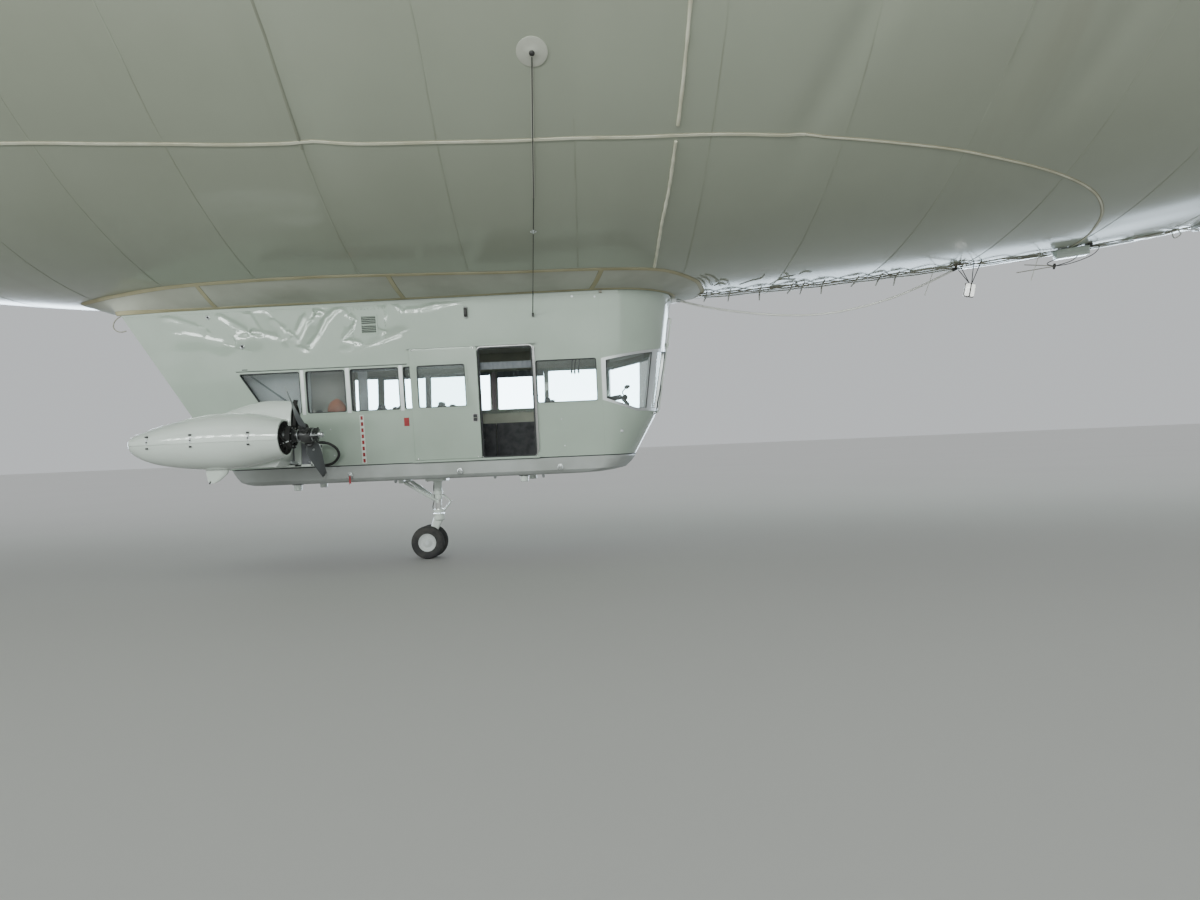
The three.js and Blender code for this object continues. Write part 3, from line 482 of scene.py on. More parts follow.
@dataclass(frozen=True)
class HullFabric:
    """Coated fabric: woven grain, faint rain streaks, soft patches of wear and old stains."""

    clean: Triple = (0.39, 0.42, 0.34)
    worn: Triple = (0.325, 0.345, 0.275)
    stain: Triple = (0.22, 0.21, 0.16)

    def build(self, name: str) -> bpy.types.Material:
        """Makes the material under a name.

        Args:
            name: the material's name.

        Returns:
            The material.
        """
        shader = Shader(name)
        clouds = shader.noise(0.35, 5.0)
        streaks = shader.noise(2.2, 4.0, (1.0, 0.12, 0.12))
        spots = shader.cells(1.3).step(0.05, 0.0) * shader.noise(6.0).step(0.45, 0.7)
        colour = shader.mix(clouds.step(0.3, 0.75), self.clean, self.worn)
        colour = shader.mix(streaks.step(0.56, 0.86) * 0.35, colour, self.stain)
        colour = shader.mix(spots * 0.5, colour, self.stain)
        ripples = shader.noise(0.9, 2.0, (1.0, 0.5, 0.5))
        weave = shader.noise(260.0, 1.0)
        normal = shader.bump(ripples, 0.02)
        return shader.done(
            Base_Color=colour,
            Roughness=0.5 + 0.2 * clouds,
            Normal=shader.bump(weave, 0.0003, normal),
            Specular_IOR_Level=0.25,
            Coat_Weight=0.9,
            Coat_Roughness=0.16,
        )


@dataclass(frozen=True)
class GlossPaint:
    """Gloss paint over thin sheet: soft waves, fine dust and faint runs."""

    clean: Triple = (0.66, 0.715, 0.665)
    dusty: Triple = (0.58, 0.63, 0.58)

    def build(self, name: str) -> bpy.types.Material:
        """Makes the material under a name.

        Args:
            name: the material's name.

        Returns:
            The material.
        """
        shader = Shader(name)
        dust = shader.noise(2.4, 5.0)
        runs = shader.noise(9.0, 3.0, (1.0, 1.0, 0.1))
        colour = shader.mix(dust.step(0.35, 0.75) * 0.6 + runs.step(0.6, 0.85) * 0.3, self.clean, self.dusty)
        waves = shader.bump(shader.noise(1.6, 1.0), 0.012)
        skin = shader.bump(shader.noise(700.0, 1.0), 0.00005, waves)
        return shader.done(
            Base_Color=colour,
            Roughness=0.10 + 0.14 * dust,
            Coat_Weight=0.8,
            Coat_Roughness=0.04,
            Normal=skin,
        )


@dataclass(frozen=True)
class WindowGlass:
    """Clear glazing with a trace of dust."""

    tint: Triple = (0.90, 0.955, 0.94)

    def build(self, name: str) -> bpy.types.Material:
        """Makes the material under a name.

        Args:
            name: the material's name.

        Returns:
            The material.
        """
        shader = Shader(name)
        dust = shader.noise(5.0, 5.0)
        return shader.done(
            Base_Color=self.tint,
            Roughness=0.01 + 0.05 * dust.step(0.5, 0.9),
            Transmission_Weight=0.94,
            IOR=1.3,
            Specular_IOR_Level=0.6,
        )


class Finish(Enum):
    """Every finish that a piece or a CAD node is given."""

    HULL_FABRIC = HullFabric()
    WHITE_PAINT = GlossPaint()
    # The gondola's white paint, darkened: a copy of the white paint that paints in the shade the hull casts
    # on the gondola.
    WALL_PAINT = GlossPaint((0.40, 0.475, 0.405), (0.34, 0.40, 0.34))
    WINDOW_GLASS = WindowGlass()
    # A darker band, wider than the pale tapes it lies under, whose edges paint the tapes' shadows.
    TAPE = Coating((0.37, 0.345, 0.24), (0.28, 0.26, 0.18), (0.55, 0.8), 6.0, 300.0, 0.0002)
    PALE_TAPE = Coating((0.76, 0.755, 0.62), (0.60, 0.585, 0.44), (0.5, 0.75), 5.0, 300.0, 0.0003)
    PATCH_FABRIC = Coating((0.56, 0.57, 0.50), (0.48, 0.485, 0.42), (0.55, 0.8), 5.0, 300.0, 0.0003)
    SKIRT_TAPE = Coating((0.50, 0.46, 0.30), (0.40, 0.36, 0.22), (0.5, 0.75), 5.0, 300.0, 0.0003)
    SATIN_METAL = Coating((0.70, 0.72, 0.72), (0.60, 0.62, 0.63), (0.28, 0.45), 6.0, 90.0, 0.0001, 0.85)
    # Grey for the pan below the gondola's belt, a painted shade of its underside.
    PAN_PAINT = Coating((0.42, 0.44, 0.43), (0.34, 0.355, 0.34), (0.35, 0.6), 3.0, 500.0, 0.0001, coat=0.1)
    PALE_RUBBER = Coating((0.86, 0.86, 0.83), (0.76, 0.76, 0.72), (0.4, 0.6), 9.0, 400.0, 0.0002)
    HUB_PAINT = Coating((0.022, 0.023, 0.024), (0.045, 0.045, 0.045), (0.22, 0.42), 14.0, 200.0, 0.0003)
    BLIND_CLOTH = Coating(
        (0.15, 0.165, 0.185), (0.19, 0.205, 0.22), (0.8, 0.95), 9.0, 500.0, 0.0005, sheen=0.2
    )
    DIAL_FACE = Coating((0.02, 0.02, 0.022), (0.05, 0.05, 0.05), (0.1, 0.2), 30.0, 300.0, 0.0001, coat=0.6)
    LAVENDER_PANEL = Coating((0.56, 0.56, 0.605), (0.48, 0.48, 0.52), (0.6, 0.8), 4.0, 400.0, 0.0002)
    BROWN_PANEL = Coating((0.25, 0.225, 0.215), (0.19, 0.17, 0.16), (0.6, 0.85), 4.0, 400.0, 0.0002)
    LAMP_GLASS = Coating((0.60, 0.68, 0.62), (0.52, 0.60, 0.54), (0.08, 0.2), 12.0, 200.0, 0.0001, coat=0.6)
    PALE_PANEL = Coating((0.62, 0.62, 0.60), (0.52, 0.52, 0.50), (0.4, 0.6), 6.0, 400.0, 0.0002)
    SEAM_TAPE = Coating((0.36, 0.385, 0.31), (0.31, 0.33, 0.26), (0.55, 0.8), 4.0, 300.0, 0.0002)
    # A darker tone of the hull fabric that paints the shade in creases and folds.
    CREASE_SHADE = Coating((0.29, 0.305, 0.24), (0.25, 0.26, 0.205), (0.55, 0.8), 4.0, 300.0, 0.0002)
    BRACKET_PAINT = Coating((0.27, 0.27, 0.30), (0.21, 0.21, 0.235), (0.4, 0.6), 6.0, 400.0, 0.0002)
    SKIRT_FABRIC = Coating(
        (0.50, 0.51, 0.44), (0.42, 0.425, 0.36), (0.55, 0.8), 3.0, 260.0, 0.0003, sheen=0.1
    )
    GREY_PAINT = Coating((0.52, 0.54, 0.53), (0.44, 0.46, 0.45), (0.3, 0.5), 4.0, 500.0, 0.0001, coat=0.15)
    DARK_PAINT = Coating((0.018, 0.019, 0.02), (0.04, 0.038, 0.036), (0.4, 0.65), 8.0, 350.0, 0.0003)
    BARE_METAL = Coating(
        (0.66, 0.68, 0.69), (0.55, 0.57, 0.58), (0.22, 0.42), 6.0, 60.0, 0.0001, 1.0, 0.0, (1, 1, 14)
    )
    BRIGHT_METAL = Coating((0.80, 0.80, 0.79), (0.68, 0.68, 0.67), (0.08, 0.2), 8.0, 120.0, 0.0001, 1.0)
    BLADE_PAINT = Coating((0.115, 0.125, 0.13), (0.085, 0.09, 0.095), (0.35, 0.55), 9.0, 300.0, 0.0002)
    BLADE_TIP = Coating((0.42, 0.43, 0.42), (0.34, 0.35, 0.34), (0.35, 0.55), 9.0, 300.0, 0.0002)
    BLACK_RUBBER = Coating((0.018, 0.018, 0.019), (0.035, 0.035, 0.034), (0.45, 0.75), 9.0, 300.0, 0.0003)
    TYRE_RUBBER = Coating((0.02, 0.02, 0.021), (0.05, 0.048, 0.044), (0.7, 0.95), 14.0, 500.0, 0.0004)
    BELLY_ROPE = Coating((0.40, 0.385, 0.32), (0.26, 0.245, 0.20), (0.6, 0.85), 12.0, 500.0, 0.0006)
    ROPE = Coating((0.70, 0.70, 0.66), (0.52, 0.51, 0.46), (0.6, 0.85), 12.0, 500.0, 0.0006)
    SEAT_CLOTH = Coating(
        (0.045, 0.05, 0.07), (0.07, 0.075, 0.095), (0.75, 0.95), 10.0, 700.0, 0.0006, sheen=0.3
    )
    LINING = Coating((0.42, 0.43, 0.355), (0.35, 0.36, 0.295), (0.75, 0.95), 6.0, 500.0, 0.0005, sheen=0.2)
    CURTAIN = Coating((0.42, 0.36, 0.38), (0.34, 0.29, 0.31), (0.75, 0.95), 9.0, 500.0, 0.0006, sheen=0.3)
    CARPET = Coating((0.10, 0.10, 0.105), (0.06, 0.06, 0.065), (0.85, 1.0), 20.0, 900.0, 0.001)
    ORANGE_CLOTH = Coating((0.42, 0.12, 0.06), (0.32, 0.09, 0.05), (0.7, 0.9), 9.0, 500.0, 0.0005)
    RED_PAINT = Coating((0.32, 0.012, 0.016), (0.25, 0.012, 0.016), (0.35, 0.5), 20.0, 400.0, 0.0001)
    LAMP_LENS = Coating(
        (0.85, 0.86, 0.84), (0.78, 0.79, 0.76), (0.1, 0.2), 20.0, 400.0, 0.0001, coat=0.5, glow=1.2
    )
    SOOT = Coating((0.010, 0.010, 0.010), (0.026, 0.025, 0.024), (0.78, 0.96), 12.0, 300.0, 0.0003)
    GASKET = Coating((0.02, 0.022, 0.024), (0.035, 0.036, 0.038), (0.5, 0.7), 12.0, 400.0, 0.0002)


class Workshop:
    """Makes the pieces and dresses them, and keeps count of what it made."""

    def __init__(self) -> None:
        """Makes the material of every finish."""
        self.materials = {finish: finish.value.build(finish.name.lower()) for finish in Finish}
        self.made = 0

    def piece(
        self, name: str, mesh: bpy.types.Mesh, finishes: Sequence[Finish], body: str = "hull"
    ) -> bpy.types.Object:
        """Puts a mesh in the scene as a piece of a body.

        Args:
            name: its name in the scene.
            mesh: its points and faces.
            finishes: its finishes, in the order of its material slots.
            body: the body that it moves with.

        Returns:
            The piece's object.
        """
        for finish in finishes:
            mesh.materials.append(self.materials[finish])
        made = bpy.data.objects.new(name, mesh)
        bpy.context.scene.collection.objects.link(made)
        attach(made, body)
        self.made += 1
        log.info("made %s on %s", name, body)
        return made

    def shape(self, name: str, form: "Form", body: str = "hull", sharp: float = 32.0) -> bpy.types.Object:
        """Puts a form in the scene as a piece of a body, smooth up to an angle in degrees."""
        return self.piece(name, form.mesh(name, sharp), form.used(), body)

    def dress(self, node: str, finish: Finish) -> None:
        """Gives a CAD node a finish in all its slots.

        Args:
            node: the node's name.
            finish: what it wears.
        """
        slots = frame["nodes"][node].data.materials
        for k in range(len(slots)):
            slots[k] = self.materials[finish]
        if not len(slots):
            slots.append(self.materials[finish])


class Form:
    """The points and faces of one piece, gathered shape by shape in the finish of the moment."""

    def __init__(self, finish: Finish | None = None) -> None:
        """Starts empty; a form that only cuts needs no finish."""
        self.points: list[Sequence[float]] = []
        self.faces: list[tuple[int, ...]] = []
        self.finishes: list[Finish | None] = []
        self.finish = finish

    def used(self) -> list[Finish | None]:
        """The finishes of the gathered faces, in the order of their first use."""
        return list(dict.fromkeys(self.finishes))

    def add(self, points: Iterable[Sequence[float]], faces: Iterable[Sequence[int]]) -> None:
        """Adds points and faces that count from the first of them.

        Args:
            points: the new points.
            faces: the new faces, as numbers of points.
        """
        start = len(self.points)
        self.points.extend(tuple(p) for p in points)
        fresh = [tuple(start + i for i in face) for face in faces]
        self.faces.extend(fresh)
        self.finishes.extend([self.finish] * len(fresh))

    def grid(self, rows: Sequence[Path], closed: bool = False, looped: bool = False) -> None:
        """Adds a sheet through rows of points.

        Args:
            rows: rows of equally many points.
            closed: whether each row's end joins its start.
            looped: whether the last row joins the first.
        """
        count = len(rows[0])
        faces = []
        for r in range(len(rows) if looped else len(rows) - 1):
            below = ((r + 1) % len(rows)) * count
            for c in range(count if closed else count - 1):
                n = (c + 1) % count
                faces.append((r * count + c, r * count + n, below + n, below + c))
        self.add([p for row in rows for p in row], faces)

    def loft(self, rings: Sequence[Path], capped: bool = True) -> None:
        """Adds a skin through closed rings, with flat ends when capped.

        Args:
            rings: the rings, with as many points each.
            capped: whether the first and last ring are closed.
        """
        start = len(self.points)
        self.grid(rings, closed=True)
        if capped:
            count = len(rings[0])
            last = start + (len(rings) - 1) * count
            self.faces.append(tuple(start + k for k in reversed(range(count))))
            self.faces.append(tuple(last + k for k in range(count)))
            self.finishes.extend([self.finish] * 2)

    def slab(
        self, outer: Sequence[Path], inner: Sequence[Path], closed: bool = False, lined: Finish | None = None
    ) -> None:
        """Adds a closed solid between two equal grids.

        Args:
            outer: the outer grid's rows.
            inner: the inner grid's rows.
            closed: whether each row's end joins its start.
            lined: the finish of the inner side, if it has its own.
        """
        rows, count = len(outer), len(outer[0])
        other = rows * count
        faces = []
        for r in range(rows - 1):
            for c in range(count if closed else count - 1):
                n = (c + 1) % count
                a, b, d, e = r * count + c, r * count + n, (r + 1) * count + n, (r + 1) * count + c
                faces.append((a, b, d, e))
                faces.append((other + e, other + d, other + b, other + a))
        if closed:
            rims = [list(range(count)), [(rows - 1) * count + c for c in reversed(range(count))]]
        else:
            rim = list(range(count))
            rim += [r * count + count - 1 for r in range(1, rows)]
            rim += [(rows - 1) * count + c for c in reversed(range(count - 1))]
            rim += [r * count for r in reversed(range(1, rows - 1))]
            rims = [rim]
        for rim in rims:
            for a, b in zip(rim, rim[1:] + rim[:1]):
                faces.append((b, a, other + a, other + b))
        first = len(self.faces)
        self.add([p for grid in (outer, inner) for row in grid for p in row], faces)
        if lined is not None:
            for k in range((rows - 1) * (count if closed else count - 1)):
                self.finishes[first + 2 * k + 1] = lined

    def band(self, path: Path, outward: Path, width: float, height: float, looped: bool = False) -> None:
        """Adds a flat strap that lies along a path on a surface.

        Args:
            path: points on the surface.
            outward: the surface's direction at each point.
            width: the strap's width.
            height: how far it stands off the surface.
            looped: whether its end joins its start.
        """
        rings = []
        for k, (point, out) in enumerate(zip(path, outward)):
            before = path[k - 1] if k or looped else path[0]
            after = path[(k + 1) % len(path)] if k + 1 < len(path) or looped else path[-1]
            across = (after - before).cross(out).normalized() * (width / 2)
            top = out * height
            sunk = out * (height * -0.5)
            brow = across * 0.9
            rings.append(
                [point - across + sunk, point - brow + top, point + brow + top, point + across + sunk]
            )
        if looped:
            self.grid(rings, closed=True, looped=True)
        else:
            self.loft(rings)

    def tube(
        self, path: Path, radius: float | Callable[[float], float], sides: int = 10, looped: bool = False
    ) -> None:
        """Adds a round bar along a path; radius may depend on the part of the way.

        Args:
            path: the points along its middle.
            radius: a number, or a function of the part of the way.
            sides: how many sides stand for the round.
            looped: whether its end joins its start.
        """
        width = radius if callable(radius) else lambda part: radius
        rings = []
        side = None
        for k, point in enumerate(path):
            before = path[k - 1] if k or looped else path[0]
            after = path[(k + 1) % len(path)] if k + 1 < len(path) or looped else path[-1]
            along = (after - before).normalized()
            if side is None:
                side = along.orthogonal().normalized()
            side = (side - along * side.dot(along)).normalized()
            third = along.cross(side)
            r = width(k / max(1, len(path) - 1))
            rings.append(ring(point, side * r, third * r, sides))
        if looped:
            self.grid(rings, closed=True, looped=True)
        else:
            self.loft(rings)

    def turned(
        self, profile: Sequence[Pair], origin: Vector, axis: Vector, sides: int = 32, hollow: bool = False
    ) -> None:
        """Adds a turned solid, end to end, or a ring when hollow.

        Args:
            profile: pairs of distance along the axis and radius.
            origin: the point that the distances count from.
            axis: the direction of the axis.
            sides: how many sides stand for the round.
            hollow: whether the profile's end joins its start.
        """
        along = axis.normalized()
        side = along.orthogonal().normalized()
        third = along.cross(side)
        rings = [ring(origin + along * x, side * r, third * r, sides) for x, r in profile]
        if hollow:
            self.grid(rings, closed=True, looped=True)
        else:
            self.loft(rings)

    def block(self, low: Vector, high: Vector, turn: Matrix | None = None) -> None:
        """Adds a box between two corners, turned about its middle.

        Args:
            low: the lowest corner.
            high: the highest corner.
            turn: the turn, if it has one.
        """
        middle = (low + high) / 2
        half = (high - low) / 2
        rings = []
        for x in (-1, 1):
            corners = [Vector((x * half.x, y * half.y, z * half.z)) for y, z in span(-1, 1, -1, 1)]
            rings.append([middle + (turn @ p if turn else p) for p in corners])
        self.loft(rings)

    def beam(self, section: Sequence[Pair], sides: Iterable[float], side: Side = Side.PORT) -> None:
        """Adds a bar that runs across the gondola.

        Args:
            section: its corners, as stations and heights.
            sides: how far to the side its cuts lie, from end to end.
            side: the side that they lie to.
        """
        self.loft([[at(s, side.value * y, z) for s, z in section] for y in sides])

    def cup(self, outer: Sequence[Path], inner: Sequence[Path], lined: Finish) -> None:
        """Adds a shell whose outside ends in its mouth and whose inside starts there, with its own finish.

        Args:
            outer: the outside's rings, up to the mouth.
            inner: the inside's rings, from the mouth on.
            lined: the inside's finish.
        """
        own = self.finish
        self.grid([*outer, inner[0]], closed=True)
        self.add(outer[0], [tuple(reversed(range(len(outer[0]))))])
        self.finish = lined
        self.grid(inner, closed=True)
        self.add(inner[-1], [tuple(range(len(inner[-1])))])
        self.finish = own

    def plate(self, outline: Path, through: Vector) -> None:
        """Adds a flat shape with thickness."""
        self.loft([outline, [p + through for p in outline]])

    def dome(self, centre: Vector, out: Vector, radius: float, height: float, sides: int = 8) -> None:
        """Adds a low round head, such as a rivet's, on a surface."""
        outline = ((-0.3, 1.0), (0.3, 1.0), (0.8, 0.6), (1.0, 0.15))
        self.turned([(height * up, radius * part) for up, part in outline], centre, out, sides)

    def moulding(
        self, place: Callable[[float, float, float], Vector], outline: Sequence[Pair], edges: Pair,
        levels: Pair
    ) -> None:
        """Adds a frame round an outline on a surface.

        Args:
            place: gives the point for a station, a height and a distance off the surface.
            outline: the corners, anticlockwise.
            edges: how far the frame reaches inside and outside the outline.
            levels: its lower and upper distance off the surface.
        """
        within, beyond = edges
        low, high = levels
        corners = ((-beyond, low), (-beyond, high), (within, high), (within, low))
        rings = [[place(x, z, level) for x, z in inset(outline, distance)] for distance, level in corners]
        self.grid(rings, closed=True, looped=True)

    def mesh(self, name: str, sharp: float = 32.0) -> bpy.types.Mesh:
        """The gathered shapes as a mesh, outward-facing and smooth up to an angle in degrees.

        Args:
            name: the mesh's name.
            sharp: the angle from which an edge is sharp, in degrees.

        Returns:
            The mesh.
        """
        made = bpy.data.meshes.new(name)
        made.from_pydata([tuple(p) for p in self.points], [], self.faces)
        places = {finish: index for index, finish in enumerate(self.used())}
        made.polygons.foreach_set("material_index", [places[finish] for finish in self.finishes])
        made.polygons.foreach_set("use_smooth", [True] * len(self.faces))
        work = bmesh.new()
        work.from_mesh(made)
        bmesh.ops.remove_doubles(work, verts=work.verts, dist=1e-6)
        bmesh.ops.recalc_face_normals(work, faces=work.faces)
        work.to_mesh(made)
        work.free()
        made.set_sharp_from_angle(angle=math.radians(sharp))
        made.update()
        return made


# Camera, light and floor


@dataclass(frozen=True)
class PhotoCamera:
    """The camera beside the gondola, low down and looking up at the hull."""

    station: float = 3.51
    side: float = -12.95
    height: float = 1.58
    forward: Triple = (-0.0435, 0.999, -0.0035)
    roll: float = 2.46
    lens: float = 25.68

    def build(self) -> None:
        """Makes the scene's camera."""
        data = bpy.data.cameras.new("photo_camera")
        data.lens = self.lens
        data.sensor_width = 36.0
        data.clip_start, data.clip_end = 0.05, 500.0
        made = bpy.data.objects.new("photo_camera", data)
        bpy.context.scene.collection.objects.link(made)
        ahead = Vector(self.forward).normalized()
        right = ahead.cross(UP).normalized()
        up = right.cross(ahead)
        turn = math.radians(self.roll)
        x = right * math.cos(turn) - up * math.sin(turn)
        y = right * math.sin(turn) + up * math.cos(turn)
        aim = Matrix((x, y, -ahead)).transposed().to_4x4()
        made.matrix_world = Matrix.Translation(at(self.station, self.side, self.height)) @ aim
        bpy.context.scene.camera = made


DAYLIGHT = (0.93, 1.0, 0.955)
BLUISH = (0.72, 0.87, 1.0)


@dataclass(frozen=True)
class Lamp:
    """One soft lamp that lights the object and leaves the floor to the sky."""

    name: str
    colour: Triple
    place: Triple
    target: Triple
    size: Pair
    radiance: float

    def hang(self, room: bpy.types.Collection) -> None:
        """Hangs the lamp; what is in the room's collection isn't lit by it.

        Args:
            room: the collection that the lamp leaves out.
        """
        light = bpy.data.lights.new(self.name, "AREA")
        light.shape = "RECTANGLE"
        light.size, light.size_y = self.size
        light.energy = self.radiance * math.pi * self.size[0] * self.size[1]
        light.color = self.colour
        made = bpy.data.objects.new(self.name, light)
        made.location = self.place
        made.rotation_euler = (Vector(self.target) - Vector(self.place)).to_track_quat("-Z", "Y").to_euler()
        made.light_linking.receiver_collection = room
        bpy.context.scene.collection.objects.link(made)


@dataclass(frozen=True)
class Studio:
    """Pale floor, pale surroundings, rows of tall soft lamps and a wide one overhead."""

    sky: Triple = (0.80, 0.83, 0.85)
    sky_strength: float = 0.78
    reach: float = 300.0
    rows: tuple = (
        ("near", DAYLIGHT, -20.0, spread(-27.0, 5.0, 11), 0.9, (1.8, 3.0), 24.0),
        ("far", BLUISH, 24.0, (-25.0, -19.2, -13.4, -7.6, -1.8, 15.5, 21.3, 27.1), -4.0, (5.8, 3.8), 11.0),
    )
    single: tuple[Lamp, ...] = (
        Lamp("veil", DAYLIGHT, (-6.0, -21.0, -3.6), (-6.0, 0.0, -3.6), (36.0, 4.4), 1.3),
        Lamp("overhead", DAYLIGHT, (-4.0, -8.0, 26.0), (-4.0, 0.0, 0.0), (30.0, 16.0), 3.2),
        Lamp("glare_0", BLUISH, (6.0, 14.4, -5.93), (6.0, 14.4, 0.0), (9.0, 17.6), 4.4),
        Lamp("glare_1", BLUISH, (8.2, 4.5, -5.93), (8.2, 4.5, 0.0), (1.6, 1.0), 5.0),
    )

    def build_world(self) -> None:
        """Makes the pale surroundings."""
        world = bpy.data.worlds.new("studio")
        bpy.context.scene.world = world
        world.use_nodes = True
        back = world.node_tree.nodes["Background"]
        back.inputs[0].default_value = (*self.sky, 1.0)
        back.inputs[1].default_value = self.sky_strength

    def build_floor(self) -> bpy.types.Collection:
        """Makes the floor, and returns the collection that the lamps leave out."""
        shader = Shader("studio_floor")
        tone = shader.mix(shader.noise(0.4, 4.0), (0.76, 0.755, 0.73), (0.71, 0.70, 0.68))
        shader.done(Base_Color=tone, Roughness=0.65)
        mesh = bpy.data.meshes.new("studio_floor")
        corners = [(x, y, GROUND * SCALE) for x, y in span(-self.reach, self.reach, -self.reach, self.reach)]
        mesh.from_pydata(corners, [], [(0, 1, 2, 3)])
        mesh.materials.append(shader.material)
        floor = bpy.data.objects.new("studio_floor", mesh)
        bpy.context.scene.collection.objects.link(floor)
        room = bpy.data.collections.new("studio_room")
        room.objects.link(floor)
        room.collection_objects[0].light_linking.link_state = "EXCLUDE"
        return room

    def build(self) -> None:
        """Makes the world, the floor and the lamps."""
        self.build_world()
        room = self.build_floor()
        for name, colour, side, places, height, size, radiance in self.rows:
            for number, x in enumerate(places):
                place, target = (x, side, height), (x, 0.0, height)
                Lamp(f"{name}_lamp_{number}", colour, place, target, size, radiance).hang(room)
        for lamp in self.single:
            lamp.hang(room)


# Hull

# Small creases of the patches under the bow, as stations and degrees, worked out from places in the
# photograph. A separate program worked them out from places picked by eye in the photograph.
PUCKERS = (
    ((2.583, 7.07), (2.708, 5.71), (2.811, 3.01)),
    ((2.546, 6.52), (2.644, 5.15), (2.732, 2.34)),
    ((2.650, 7.26), (2.770, 6.42), (2.880, 4.45), (2.938, 2.24)),
    ((2.835, 4.56), (2.928, 5.08), (3.010, 4.34), (3.068, 2.35)),
    ((2.841, 2.96), (2.917, 3.78), (3.016, 2.92)),
    ((3.213, 2.37), (3.364, 3.66), (3.495, 4.29), (3.514, 5.46)),
    ((3.682, 0.92), (3.799, 2.86), (4.034, 2.16)),
    ((3.742, 2.16), (3.809, 3.65), (3.973, 3.96)),
    ((3.794, 5.49), (3.882, 4.20), (3.951, 1.97)),
    ((4.039, 4.17), (4.099, 5.09), (4.201, 4.46)),
)
# Load folds: stations by degrees round the hull, with their width and depth.
FOLDS = (
    (((27.0, -1.76), (32.0, -1.78), (60.0, -1.92)), 0.30, 0.018),
    (((25.0, 3.40), (28.3, 3.46), (33.6, 3.71), (37.6, 3.92), (60.0, 4.5)), 0.22, 0.016),
    (((25.0, 6.12), (27.6, 6.18), (35.8, 6.42), (60.0, 7.0)), 0.24, 0.013),
    (((28.0, 5.38), (35.6, 5.55), (60.0, 6.0)), 0.16, 0.006),
    (((31.0, 1.08), (39.2, 1.14), (60.0, 1.2)), 0.14, 0.007),
    (((33.0, -5.9), (60.0, -6.3)), 0.25, 0.012),
)
# Half of the long oval tape round the gondola, and the sleeve that crosses it.
OVAL = (
    (8.12, 0.0), (8.08, 3.2), (7.98, 6.9), (7.76, 11.6), (7.33, 16.0), (6.62, 19.9), (5.68, 23.2),
    (4.59, 25.8), (3.1, 27.9), (1.36, 28.8), (-0.43, 29.4), (-2.38, 30.0), (-5.0, 30.6), (-7.6, 30.0),
    (-10.0, 27.6), (-11.6, 23.2), (-12.5, 16.0), (-12.9, 8.0), (-13.0, 0.0),
)
SLEEVE = ((10.2, 1.94), (18.4, 2.02), (23.1, 2.10), (29.0, 2.17), (32.4, 2.21), (38.6, 2.27), (180.0, 2.45))


